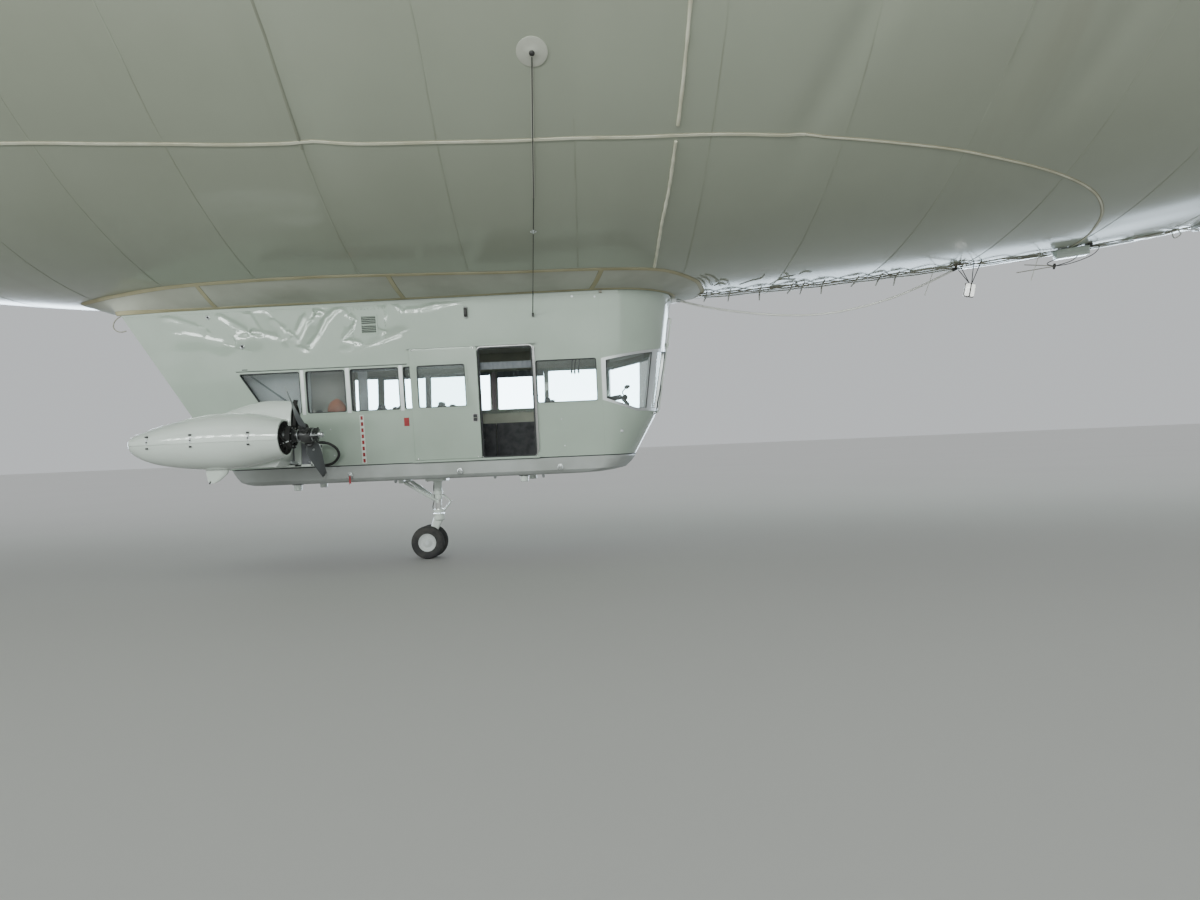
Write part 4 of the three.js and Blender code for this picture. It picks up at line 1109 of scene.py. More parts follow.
@dataclass
class Hull:
    """The pressure hull, its seams and tapes, and what stands on its ends."""

    shop: Workshop
    radius: float = 8.2
    nose: float = 25.2
    tail: float = 34.7
    nose_hole: float = 0.5
    tail_hole: float = 0.4
    near: Pair = (-9.0, 10.5)
    first_ring: float = 1.17
    ring_spacing: float = 1.45
    first_gore: float = 48.4
    gore_spacing: float = 18.0
    batten_root: float = 0.8
    batten_run: float = 2.88
    batten_half: float = 0.066

    def radius_at(self, x: float) -> float:
        """The hull's radius at a station from its widest one.

        Args:
            x: the station.

        Returns:
            The radius in full-size metres.
        """
        if x >= 0:
            return self.radius * math.sqrt(max(0.0, 1 - (x / self.nose) ** 2))
        return self.radius * (1 - (x / self.tail) ** 2)

    def slope_at(self, x: float) -> float:
        """How fast the radius grows with the station.

        Args:
            x: the station.

        Returns:
            The slope.
        """
        if x >= 0:
            return -self.radius * x / (self.nose**2 * math.sqrt(1 - (x / self.nose) ** 2))
        return -2 * self.radius * x / self.tail**2

    def out(self, x: float, angle: float) -> Vector:
        """The direction square to the hull; angle 0 is the belly and grows to port."""
        return Vector((-self.slope_at(x), math.sin(angle), -math.cos(angle))).normalized()

    def point(self, x: float, angle: float, raised: float = 0.0) -> Vector:
        """A point of the hull's surface, raised off it by metres of the model."""
        r = self.radius_at(x)
        return Vector((x, r * math.sin(angle), -r * math.cos(angle))) * SCALE + self.out(x, angle) * raised

    def stations(self) -> list[float]:
        """Stations from nose to tail, close together over the belly that is seen from near by."""
        first = math.asin(self.nose_hole / self.radius)
        aft, fore = self.near
        nose = [self.nose * math.cos(a) for a in spread(first, math.acos(fore / self.nose), 36)]
        tail = self.tail * math.sqrt(1 - self.tail_hole / self.radius)
        return nose + spread(fore, aft, 150)[1:] + spread(aft, -tail, 60)[1:]

    def turns(self) -> list[float]:
        """Angles round the hull from the top over port to the top again, close together below."""
        degrees = spread(-180, -60, 31)[:-1] + spread(-60, 60, 145) + spread(60, 180, 31)[1:-1]
        return [math.radians(d) for d in degrees]

    def ring_seam(self, number: int, angle: float) -> float:
        """The station of a ring seam at an angle; the seams lean a little near the belly."""
        lean = max(0.0, 38 - abs(math.degrees(angle))) * 0.009
        return self.first_ring + self.ring_spacing * number - lean

    def swell(self, x: float, angle: float) -> float:
        """Soft hollows, load folds and swellings of the fabric, in metres of the model.

        Args:
            x: the station from the hull's widest one.
            angle: the angle round the hull, in radians.

        Returns:
            How far the fabric stands out there.
        """
        where = Vector((x * 0.22, math.sin(angle) * 2.2, math.cos(angle) * 2.2))
        height = 0.012 * noise.noise(where) + 0.004 * noise.noise(where * 3.1 + Vector((7, 3, 1)))
        degrees = abs(math.degrees(angle))
        part = ((x - self.ring_seam(0, angle)) / self.ring_spacing) % 1.0
        height += 0.004 * math.sin(math.pi * part) ** 2 * smooth(10, 25, degrees)
        for line, width, depth in FOLDS:
            low = line[0][0]
            if low - 6 < degrees < 70:
                across = (x - between(line, degrees)) / width
                fade = smooth(low - 6, low + 7, degrees) * (1 - smooth(50, 70, degrees))
                height -= depth * fade * math.exp(-across * across) * (1 + 0.9 * math.tanh(across * 2))
        return height

    def build_skin(self) -> None:
        """Makes the hull's skin as one closed body."""
        form = Form(Finish.HULL_FABRIC)
        angles = self.turns()
        form.loft([[self.point(x, a, self.swell(x, a)) for a in angles] for x in self.stations()])
        skin = self.shop.shape("hull_skin", form, sharp=60)
        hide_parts("envelope")

    def line(self, spots: Sequence[Pair], raised: float = 0.0) -> tuple[list[Vector], list[Vector]]:
        """Points and outward directions along a line of stations and angles in radians."""
        points = [self.point(x, a, self.swell(x, a) + raised) for x, a in spots]
        return points, [self.out(x, a) for x, a in spots]

    def build_seams(self) -> None:
        """Makes the welded seams: rings across the hull and gores along it, and dark bands that paint a
        fold's shade.
        """
        form = Form(Finish.SEAM_TAPE)
        wide = spread(-math.pi, math.pi, 241)
        for number in range(-22, 16):
            if -32.5 < self.ring_seam(number, 1.0) < 23.5:
                form.band(*self.line([(self.ring_seam(number, a), a) for a in wide]), 0.008, 0.0012)
        for k in range(8):
            angle = math.radians(self.first_gore + self.gore_spacing * k)
            for side in (-1, 1):
                form.band(*self.line([(x, side * angle) for x in self.stations()[4:-6]]), 0.007, 0.0022)
        # Two darker bands along ring seam -2 on the starboard side paint the shade of the fold there.
        form.finish = Finish.CREASE_SHADE
        shaded = [-math.radians(d) for d in spread(29.2, 75.0, 120)]
        for raised, width in ((0.0030, 0.006), (0.0018, 0.016)):
            form.band(*self.line([(self.ring_seam(-2, a), a) for a in shaded], raised), width, 0.0012)
        seams = self.shop.shape("hull_seams", form, sharp=30)

    def oval(self) -> list[Pair]:
        """The line of the long oval tape round the gondola, as stations and angles."""
        half = curve_through([Vector((x, d, 0)) for x, d in OVAL], 18)
        spots = [(p.x, math.radians(max(0.0, p.y))) for p in half]
        return spots + [(x, -a) for x, a in reversed(spots[1:-1])]

    def build_tapes(self) -> None:
        """Makes the oval load tape round the belly, the dark band under it that paints its shadow, and the
        crossing laced sleeve.
        """
        form = Form(Finish.PALE_TAPE)
        loop = self.oval()
        astern = [k for k, (x, _) in enumerate(loop) if x < 3.6]
        form.band(*self.line(loop[astern[0]:astern[-1] + 1]), 0.0165, 0.005)
        form.band(*self.line(loop[astern[-1]:] + loop[:astern[0] + 1]), 0.0115, 0.004)
        # A wider dark band under the pale tape; its edges paint the tape's shadow.
        form.finish = Finish.TAPE
        form.band(*self.line(loop), 0.0215, 0.0018, looped=True)
        form.finish = Finish.PALE_TAPE
        for low, high, steps in ((10.4, 28.0, 66), (29.45, 179.0, 344)):

            def gathered(part: float) -> float:
                """The sleeve's radius, uneven where its lacing pulls."""
                turn = part * steps
                return 0.0092 * (1 + 0.10 * math.sin(turn * 1.3) + 0.06 * math.sin(turn * 0.37))

            for side in (-1, 1):
                spots = [(between(SLEEVE, d), math.radians(side * d)) for d in spread(low, high, steps)]
                points, outs = self.line(spots, 0.004)
                points = [p + o * (0.002 * math.sin(k * 0.9)) for k, (p, o) in enumerate(zip(points, outs))]
                form.tube(points, gathered, 8)
        tapes = self.shop.shape("belly_tapes", form, sharp=50)

    def build_stays(self, side: Side) -> None:
        """Makes the main stay of one side: its round patch, the cable, its shackle, its rod and a pale strip
        that paints the highlight beside the cable.

        Args:
            side: the side that it is on.
        """
        form = Form(Finish.PATCH_FABRIC)

        def lie(part: float) -> Pair:
            """A station and angle on the cable's way down the hull."""
            return 0.77 - 0.22 * part, side.value * math.radians(36 - 13 * part)

        x, turn = lie(0.0)
        swell = self.swell(x, turn)
        middle, out = self.point(x, turn, swell), self.out(x, turn)
        across = out.cross(AHEAD).normalized()
        patch = (
            (0.076, -0.004), (0.076, 0.0025), (0.070, 0.004), (0.05, 0.005), (0.028, 0.008), (0.018, 0.012)
        )
        form.loft([ring(middle + out * lift, AHEAD * reach, across * reach, 48) for reach, lift in patch])
        form.finish = Finish.DARK_PAINT
        form.dome(middle + out * 0.012, out, 0.014, 0.012, 12)
        foot = at(2.12, side.value * (wall_half(3.49) + 0.035), 3.49)
        onto = [self.point(*lie(t), 0.011) for t in (0.0, 0.4, 0.75, 1.0)]
        leaves = onto[-1]
        shackle = leaves.lerp(foot, 0.24)
        form.tube(curve_through([*onto, leaves.lerp(foot, 0.12), shackle], 8), 0.0024, 8)
        form.tube([shackle, leaves.lerp(foot, 0.78)], 0.0024, 8)
        form.tube([leaves.lerp(foot, 0.76), foot], 0.0034, 10)
        form.finish = Finish.BARE_METAL
        form.tube(ring(shackle, AHEAD * 0.017, UP * 0.006, 24), 0.0026, 7, looped=True)
        form.tube([shackle.lerp(foot, -0.02), shackle.lerp(foot, 0.02)], 0.004, 9)
        form.finish = Finish.DARK_PAINT
        form.block(foot - Vector((0.006, 0.010, 0.014)), foot + Vector((0.006, 0.010, 0.010)))
        # A pale strip along the cable's way on the hull paints the highlight beside the cable.
        form.finish = Finish.PATCH_FABRIC
        lane = [lie(t) for t in spread(0.08, 1.0, 20)]
        form.band(
            [self.point(*spot, swell) for spot in lane], [self.out(*spot) for spot in lane], 0.014, 0.0015
        )
        stay = self.shop.shape(f"main_stay_{side.word}", form)
        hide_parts(f"stay_cable_{side.word}")

    def build_belly_line(self) -> None:
        """Makes the two handling ropes under the bow, their toggles, their fabric patches and small creases
        with painted shade and highlights.
        """
        form = Form(Finish.BELLY_ROPE)
        pegs = (2.75, 3.1, 3.56, 4.03, 4.2, 4.5, 5.0, 5.35, 5.6, 6.05, 6.5, 7.1, 7.6, 8.7, 9.3)
        for turned in (0, 1):
            spots = []
            for k, x in enumerate(pegs):
                high = (k + turned) % 2
                spots.append(self.point(x, math.radians(2.2 - 2.6 * high), 0.008 + 0.008 * high))
            aft, fore = (self.point(x, math.radians(0.8), 0.006) for x in (2.62, 9.75))
            line = curve_through([aft, *spots, fore], 8)
            form.tube(line, lambda part: 0.0045 * (1 + 0.12 * math.sin(part * 900)), 7)
        spots = [self.point(x, math.radians(3.4 + 0.8 * (k % 2)), 0.008) for k, x in enumerate(pegs)]
        form.tube(curve_through(spots, 8), 0.004, 7)
        for k, x in enumerate(pegs[:9]):
            top = self.point(x, math.radians(-0.6), 0.008)
            middle = self.point(x, math.radians(1.0), 0.028)
            low = self.point(x, math.radians(2.2), 0.045 + 0.012 * (k % 3)) + AHEAD * (0.008 * (k % 3 - 1))
            form.tube(
                curve_through([top, middle, low], 5),
                lambda part: 0.0042 + 0.0022 * math.sin(math.pi * part), 8
            )
            form.finish = Finish.ROPE
            form.tube([middle.lerp(low, 0.45), middle.lerp(low, 1.15)], 0.0056, 8)
            form.finish = Finish.BELLY_ROPE
            pin = [
                self.point(x - 0.1, math.radians(0.9), 0.018), self.point(x + 0.1, math.radians(0.6), 0.02)
            ]
            form.tube(pin, 0.0045, 7)
        form.finish = Finish.PATCH_FABRIC
        for x in (3.85, 6.05, 6.3, 7.3, 7.75, 9.9):
            rings = []
            for t, lift in ((1.0, -0.002), (1.0, 0.002), (0.75, 0.004), (0.3, 0.005)):
                edge = []
                for a in circle(32):
                    aside = t * 0.012 * math.sin(a) * (1 - 0.4 * abs(math.cos(a)))
                    edge.append(self.point(x + t * 0.24 * math.cos(a), math.radians(1.0) + aside, lift))
                rings.append(edge)
            form.loft(rings)
        # Each small crease is a dark band that paints its shade, beside a real ridge in the pale patch fabric
        # whose paleness paints the glint on the wrinkle.
        for pucker in PUCKERS:
            curve = curve_through([Vector((x, degrees, 0)) for x, degrees in pucker], 6)
            spots = [(p.x, -math.radians(p.y)) for p in curve]
            form.finish = Finish.CREASE_SHADE
            form.band(*self.line(spots), 0.0036, 0.0020)
            form.finish = Finish.PATCH_FABRIC
            points, outs = self.line([(x - 0.011, a + 0.0045) for x, a in spots])
            ridge = [p + o * 0.001 for p, o in zip(points, outs)]
            form.tube(ridge, lambda part: 0.0012 + 0.0032 * math.sin(math.pi * part), 8)
        form.finish = Finish.ROPE
        for x, dx in ((6.1, -0.17), (7.62, -0.15)):
            top = self.point(x, math.radians(-1.0), 0.006)
            form.tube([top, top + Vector((dx * 0.5, 0, -0.215))], 0.0028, 8)
        line = self.shop.shape("belly_line", form, sharp=40)

    def build_nose(self) -> None:
        """Makes the nose dish, its battens and the mooring spindle."""
        form = Form(Finish.WHITE_PAINT)

        def ahead(radius: float) -> float:
            """The station at which the bow has a radius."""
            return self.nose * math.sqrt(1 - (radius / self.radius) ** 2)

        steps = spread(0.0, 1.0, 12)[1:]
        front = [
            (ahead(1.02 * t) + 0.058 * (1 - 0.5 * smooth(0.8, 1.0, t)), 1.02 * t) for t in reversed(steps)
        ]
        back = [(ahead(1.05 * t) + 0.002, 1.05 * t) for t in steps]
        profile = [(x * SCALE, r * SCALE) for x, r in [*back, *front]]
        form.turned([(profile[0][0], 0.0005), *profile, (profile[-1][0], 0.0005)], Vector(), AHEAD, 72)
        ridge = (-1, -0.7, 0, 0.7, 1)
        for angle in circle(12):
            outer, inner = [], []
            for t in spread(0.0, 1.0, 26):
                radius = self.batten_root + self.batten_run * t
                half = self.batten_half * (1 - 0.45 * t**3) / radius
                lift = 0.0215 * (1 - 0.75 * smooth(0.85, 1.0, t))
                row = [(ahead(radius), angle + half * w) for w in ridge]
                outer.append([self.point(*spot, lift * (1 - 0.35 * w**2)) for spot, w in zip(row, ridge)])
                inner.append([self.point(*spot, -0.006) for spot in row])
            form.slab(outer, inner)
            form.finish = Finish.BARE_METAL
            for t in spread(0.12, 0.95, 9):
                radius = self.batten_root + self.batten_run * t
                for w in (-1.35, 1.35):
                    spot = (ahead(radius), angle + w * self.batten_half / radius)
                    form.dome(self.point(*spot, 0.001), self.out(*spot), 0.006, 0.004)
            form.finish = Finish.WHITE_PAINT
        form.finish = Finish.BARE_METAL
        for turn in circle(24):
            spot = (ahead(0.93), turn + math.pi / 24)
            form.dome(self.point(*spot, 0.027), self.out(*spot), 0.007, 0.005)
        cone = self.shop.shape("nose_battens", form)
        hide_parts("nose_cone")
        form = Form(Finish.BARE_METAL)
        base = self.nose + 0.06
        shape = (
            (0.0, 0.2), (0.03, 0.2), (0.045, 0.185), (0.06, 0.12), (0.08, 0.088), (0.2, 0.072), (0.205, 0.1),
            (0.22, 0.12), (0.29, 0.12), (0.31, 0.11), (0.34, 0.06),
        )
        form.turned([((base + x) * SCALE, r * SCALE) for x, r in shape], AHEAD * 0.0003, AHEAD, 40)
        for centre in ring(AHEAD * ((base + 0.04) * SCALE), ACROSS * 0.079, UP * 0.079, 8):
            form.dome(centre, AHEAD, 0.007, 0.008, 6)
        spindle = self.shop.shape("spindle", form)
        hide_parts("mooring_spindle")

    def build_stern(self) -> None:
        """Makes the tail cone's skin with its laced rim, and the valves' rims."""
        form = Form(Finish.WHITE_PAINT)
        tip = 0.4 - self.tail
        rows = (
            (-34.02, 0.03), (-34.02, 0.40), (-33.1, 0.755), (-33.13, 0.775), (-33.2, 0.77), (-33.6, 0.6),
            (-33.9, 0.44), (-34.12, 0.27), (tip + 0.06, 0.12), (tip + 0.005, 0.02),
        )
        form.turned([(x * SCALE, r * SCALE) for x, r in rows], Vector(), AHEAD, 72)
        form.finish = Finish.BARE_METAL
        for out in ring(Vector(), ACROSS, UP, 28):
            form.dome((AHEAD * -33.165 + out * 0.772) * SCALE, out, 0.007, 0.005)
        stern = self.shop.shape("stern_cone", form, sharp=40)
        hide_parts("tail_cone")
        form = Form(Finish.GREY_PAINT)
        for x in (10.4, -14.5):
            out = self.out(x, 0.0)
            along = Vector((-out.z, 0, out.x))
            centre = self.point(x, 0.0, 0.0255)
            for spot in ring(centre, along * 0.2, ACROSS * 0.2, 20):
                form.dome(spot, out, 0.007, 0.006, 6)
            form.turned([(0.04, 0.165), (0.07, 0.16), (0.078, 0.12), (0.082, 0.03)], centre, out, 40)
            for k in range(5):
                reach = 0.03 + 0.026 * k
                form.tube(
                    ring(centre + out * 0.081, along * reach, ACROSS * reach, 36), 0.003, 6, looped=True
                )
        valves = self.shop.shape("valve_rims", form)

    def build(self) -> None:
        """Makes every piece of the hull."""
        self.build_skin()
        self.build_seams()
        self.build_tapes()
        for side in Side:
            self.build_stays(side)
        self.build_belly_line()
        self.build_nose()
        self.build_stern()


# Cord


@dataclass(frozen=True)
class FreeCable:
    """The cable that sags from the gondola's roof to the belly ahead of it."""

    shop: Workshop
    diameter: float = 0.016
    route: tuple[Pair, ...] = (
        (4.26, 3.725), (4.4, 3.68), (4.6, 3.625), (4.85, 3.57), (5.15, 3.515), (5.5, 3.465), (5.85, 3.432),
        (6.17, 3.42), (6.5, 3.435), (6.8, 3.475), (7.1, 3.535), (7.4, 3.615), (7.65, 3.7), (7.88, 3.79),
        (8.1, 3.885), (8.3, 3.975)
    )

    def build(self) -> None:
        path = curve_through([at(s, 0.0, z) for s, z in self.route], 6)
        form = Form(Finish.PALE_RUBBER)
        form.tube(path, self.diameter / 2, 12)
        cable = self.shop.shape("sagging_cable", form)
        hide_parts("free_cable")
        length = run_length(path)


# Gondola


@dataclass
class Skirt:
    """The fabric between the gondola's roof and the hull, with its tapes."""

    shop: Workshop
    hull: Hull
    rows: tuple = (
        (-4.95, 0.0, -3.875, 0.0), (-4.85, 0.25, -3.875, 0.35), (-4.4, 0.6, -3.875, 0.7),
        (-3.9, 0.9, -3.86, 0.904), (-3.09, 1.27, -3.0, 0.908), (-2.1, 1.54, -2.1, 0.908),
        (-0.64, 1.73, -0.64, 0.908), (0.68, 1.74, 0.68, 0.908), (1.76, 1.68, 1.76, 0.908),
        (2.55, 1.63, 2.4, 0.908), (3.21, 1.55, 3.0, 0.908), (3.82, 1.42, 3.45, 0.843),
        (4.16, 1.2, 3.76, 0.68), (4.46, 0.77, 4.0, 0.42), (4.56, 0.35, 4.1, 0.185), (4.6, 0.0, 4.125, 0.0)
    )
    steps: int = 10
    height: float = 3.79

    def build(self) -> None:
        """Makes the fabric, its tapes and the strips across it."""
        loop = [(a, -b, c, -d) for a, b, c, d in self.rows] + [
            (a, b, c, d) for a, b, c, d in self.rows[-2:0:-1]
        ]
        outer = []
        for p in closed_curve([Vector((a, b, 0)) for a, b, _, _ in loop], self.steps):
            x = p.x + GONDOLA
            angle = math.asin(p.y / self.hull.radius_at(x))
            outer.append(self.hull.point(x, angle, self.hull.swell(x, angle) + 0.0015))
        inner = [
            at(p.x, p.y, self.height)
            for p in closed_curve([Vector((c, d, 0)) for _, _, c, d in loop], self.steps)
        ]

        def surface(k: int, part: float) -> Vector:
            """A point of the fabric, from the roof's edge at 0 to the hull at 1.

            Args:
                k: the number of the point on the rims.
                part: the share of the way.

            Returns:
                The point in the model.
            """
            low, high = inner[k % len(inner)], outer[k % len(outer)]
            sag = 0.014 * math.sin(math.pi * part) * (0.6 + 0.4 * (high - low).length)
            ruck = 0.0022 * noise.noise(Vector((k * 0.28, part * 2.5, 0))) * math.sin(math.pi * part)
            return low.lerp(high, part) - Vector((0, 0, sag + ruck))

        form = Form(Finish.SKIRT_FABRIC)
        parts = spread(0.0, 1.0, 15)
        below = [[surface(k, t) for k in range(len(inner))] for t in parts]
        form.slab(below, [[p + UP * 0.0018 for p in row] for row in below], closed=True)
        fabric = self.shop.shape("skirt_fabric", form, sharp=50)
        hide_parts("skirt")
        area = 0.0
        for low, high in zip(below, below[1:]):
            for k in range(len(low)):
                a, b, c, d = low[k - 1], low[k], high[k], high[k - 1]
                area += ((c - a).cross(d - b)).length / 2

        def lane(spots: Sequence[tuple[int, float]]) -> tuple[list[Vector], list[Vector]]:
            """Points and outward directions along a line on the fabric.

            Args:
                spots: pairs of a point's number and its place across the fabric.

            Returns:
                The points, and the directions.
            """
            points, outs = [], []
            for k, t in spots:
                across = surface(k, min(1.0, t + 0.03)) - surface(k, t - 0.03)
                along = surface(k + 1, t) - surface(k - 1, t)
                out = across.cross(along).normalized()
                outs.append(out if out.z < 0 else -out)
                points.append(surface(k, t))
            return points, outs

        form = Form(Finish.SKIRT_TAPE)
        around = range(len(inner))
        lanes = [[(k, t) for k in around] for t in (0.055, 0.965)]
        strips = []
        for station in (-2.47, 0.28, 3.12):
            for side in Side:
                ks = [k for k in around if outer[k].y * side.value > 0.3]
                near = min(ks, key=lambda k: abs(outer[k].x / SCALE - GONDOLA - station))
                strips.append([(near, t) for t in spread(0.06, 0.96, 16)])
        taped = [(spots, True, 0.028) for spots in lanes] + [(spots, False, 0.03) for spots in strips]
        for spots, looped, wide in taped:
            # A wider dark band under each skirt tape; its edges paint the tape's shadow.
            form.finish = Finish.TAPE
            form.band(*lane(spots), wide + 0.007, 0.0016, looped)
            form.finish = Finish.SKIRT_TAPE
            form.band(*lane(spots), wide, 0.0028, looped)
        tapes = self.shop.shape("skirt_tapes", form, sharp=50)


WINDOWS = (
    [(-1.8, SILL), (-1.3, SILL), (-1.3, LINTEL), (-2.18, LINTEL)],
    span(-1.21, -0.64, SILL, LINTEL),
    span(-0.56, 0.14, SILL, LINTEL),
    span(0.21, 1.19, SILL, LINTEL),
    span(2.12, 2.98, SILL, LINTEL),
)
DOORWAY = span(1.3, 2.07, 1.5, 3.06)
# Creases of the wall's sheet: their lines of stations and heights, depth and width.
CREASES = (
    (((-3.18, 3.73), (-2.76, 3.58), (-2.61, 3.50)), 0.010, 0.05),
    (((-2.38, 3.70), (-2.04, 3.48), (-1.81, 3.44), (-1.61, 3.38)), 0.016, 0.05),
    (((-1.99, 3.76), (-1.81, 3.46)), 0.013, 0.045),
    (((-1.62, 3.60), (-1.47, 3.47), (-1.30, 3.33)), 0.012, 0.05),
    (((-1.30, 3.43), (-1.20, 3.62), (-1.00, 3.72), (-0.90, 3.69)), 0.015, 0.035),
    (((-1.25, 3.20), (-1.18, 3.17), (-0.99, 3.38), (-0.88, 3.58), (-0.76, 3.68), (-0.65, 3.75)), 0.018, 0.04),
    (((-1.26, 3.24), (-1.10, 3.50), (-0.97, 3.68)), -0.014, 0.05),
    (((-0.65, 3.79), (-0.55, 3.65), (-0.43, 3.56), (-0.49, 3.42), (-0.62, 3.29), (-0.39, 3.23)), 0.014, 0.04),
    (((-0.01, 3.76), (0.02, 3.58), (-0.03, 3.37)), 0.014, 0.045),
    (((0.11, 3.79), (0.24, 3.66), (0.50, 3.66), (0.80, 3.73), (1.06, 3.77)), 0.012, 0.04),
    (((0.19, 3.32), (-0.25, 3.17), (-0.62, 3.11)), 0.009, 0.06),
    (((-2.95, 3.45), (-2.4, 3.30), (-1.9, 3.36)), -0.008, 0.10),
    (((-1.75, 3.72), (-1.55, 3.52), (-1.45, 3.3)), -0.010, 0.07),
)


@dataclass
class SideWall:
    """One side of the gondola: sheet, windows, door opening and what is fixed to it."""

    shop: Workshop
    side: Side
    thickness: float = 0.04
    nose_start: float = 3.05

    def place(self, station: float, height: float, off: float = 0.0) -> Vector:
        """A point at a distance off the wall's outside, all in full-size metres."""
        return at(station, self.side.value * (wall_half(height) + off), height)

    def out(self) -> Vector:
        """The direction square to the wall."""
        return Vector((0, self.side.value, -LEAN)).normalized()

    def dent(self, station: float, height: float) -> float:
        """How far the sheet stands in at a place: creases of old handling, and soft waves.

        Args:
            station: the place's station.
            height: the place's height.

        Returns:
            The depth in metres of the model.
        """
        waves = 0.0035 * noise.noise(Vector((station * 1.3, height * 1.1, self.side.value * 3.0)))
        if self.side is Side.PORT:
            return waves
        depth = waves * 1.5
        here = Vector((station, height))
        for line, deep, wide in CREASES:
            for start, end in zip(line, line[1:]):
                a, b = Vector(start), Vector(end)
                part = min(1.0, max(0.0, (here - a).dot(b - a) / (b - a).length_squared))
                gap = here - a.lerp(b, part)
                across = gap.cross(b - a)
                uneven = noise.noise(Vector((station * 2.6, height * 2.6, 5.0)))
                reach = gap.length / (wide * (1.35 if across > 0 else 0.5) * (1 + 0.7 * uneven))
                if reach < 3 and (0 < part < 1 or end == line[-1] or start == line[0]):
                    depth += deep * math.exp(-reach * reach) * (0.85 + 0.8 * uneven)
                    break
        return depth * smooth(3.0, 3.25, height) * (1 - smooth(3.70, 3.74, height)) + waves * 0.5

    def outlines(self) -> list[list[Pair]]:
        """The openings of this side."""
        door = DOORWAY if self.side is Side.STARBOARD else span(1.3, 2.07, SILL, LINTEL)
        return [*WINDOWS, door]

    def build_sheet(self) -> None:
        """Makes the wall with its openings cut out."""
        form = Form()
        if self.side is Side.STARBOARD:
            heights = spread(SHEET_FOOT, 3.0, 12) + spread(3.0, SHEET_TOP, 62)[1:]
            parts = spread(0.0, 0.74, 300) + spread(0.74, 1.0, 20)[1:]
        else:
            heights = spread(SHEET_FOOT, SHEET_TOP, 24)
            parts = spread(0.0, 1.0, 60)
        rows = []
        for z in heights:
            aft = tail_station(z)
            rows.append([(aft + (self.nose_start - aft) * t, z) for t in parts])
        outer = [[self.place(s, z, -self.dent(s, z)) for s, z in row] for row in rows]
        form.slab(outer, [[self.place(s, z, -self.thickness) for s, z in row] for row in rows])
        tool = Form()
        for outline in self.outlines():
            corner = rounded(outline, 0.05 if outline is DOORWAY else 0.035)
            tool.loft([[self.place(s, z, off) for s, z in corner] for off in (-0.08, 0.05)])
        sheet = carved(form.mesh("sheet"), [tool.mesh("openings")])
        for face in sheet.polygons:
            toward = face.normal.y * self.side.value
            face.material_index = 1 if toward < -0.5 else 0
            face.use_smooth = True
        sheet.set_sharp_from_angle(angle=math.radians(32))
        name = f"wall_{self.side.word}"
        sheet.name = name
        wall = self.shop.piece(name, sheet, [Finish.WALL_PAINT, Finish.LINING])
        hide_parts(f"gondola_side_{self.side.word}")

    def strip(self, form: Form, section: Sequence[Pair], aft: float, fore: float) -> None:
        """Adds a bar along the wall from a section of heights and distances off it."""
        form.loft([[self.place(s, z, off) for z, off in section] for s in (aft, fore)])

    def bar(self, form: Form, heights: Pair, levels: Pair, aft: float, fore: float) -> None:
        """Adds a flat bar along the wall between two heights and two distances off it."""
        (low, high), (under, over) = heights, levels
        self.strip(form, [(low, under), (low, over), (high, over), (high, under)], aft, fore)

    def build_windows(self) -> None:
        """Makes the window mouldings, their seals, the posts' covers, the drip rail and a dark strip under it
        that paints its shadow.
        """
        form = Form(Finish.WALL_PAINT)
        for outline in self.outlines():
            if outline is DOORWAY:
                continue
            soft = rounded(outline, 0.035)
            form.finish = Finish.WALL_PAINT
            form.moulding(self.place, soft, (-0.004, 0.026), (-0.002, 0.008))
            form.finish = Finish.GASKET
            form.moulding(self.place, soft, (0.009, 0.003), (-0.034, 0.0045))
        # A dark strip just under the drip rail paints the rail's shadow on the wall.
        form.finish = Finish.GASKET
        self.bar(form, (2.876, 2.885), (-0.002, 0.004), -2.22, 0.27)
        form.finish = Finish.WALL_PAINT
        self.strip(form, [(2.885, -0.002), (2.885, 0.014), (2.892, 0.012), (2.897, -0.002)], -2.23, 0.27)
        form.finish = Finish.SATIN_METAL
        for aft, fore in ((-1.282, -1.236), (-0.628, -0.572), (0.15, 0.2)):
            self.bar(form, (2.225, 2.866), (-0.002, 0.011), aft, fore)
        frames = self.shop.shape(f"window_frames_{self.side.word}", form)

    def rivets(self, form: Form, spots: Sequence[Pair], radius: float = 0.0042) -> None:
        """Adds rivet heads on the wall at stations and heights."""
        for s, z in spots:
            form.dome(self.place(s, z, -self.dent(s, z)), self.out(), radius, radius * 0.55, 7)

    def build_louvre(self) -> None:
        """Makes the air louvre with a dark plate that paints the shade behind its vanes, the rivets round it
        and the rivet rows of the sheet's joints.
        """
        form = Form(Finish.WALL_PAINT)
        aft, fore, low, high = -0.35, -0.13, 3.34, 3.59
        form.moulding(self.place, span(aft, fore, low, high), (0.006, 0.016), (-0.012, 0.006))
        self.bar(form, (3.46, 3.472), (-0.01, 0.004), aft, fore)
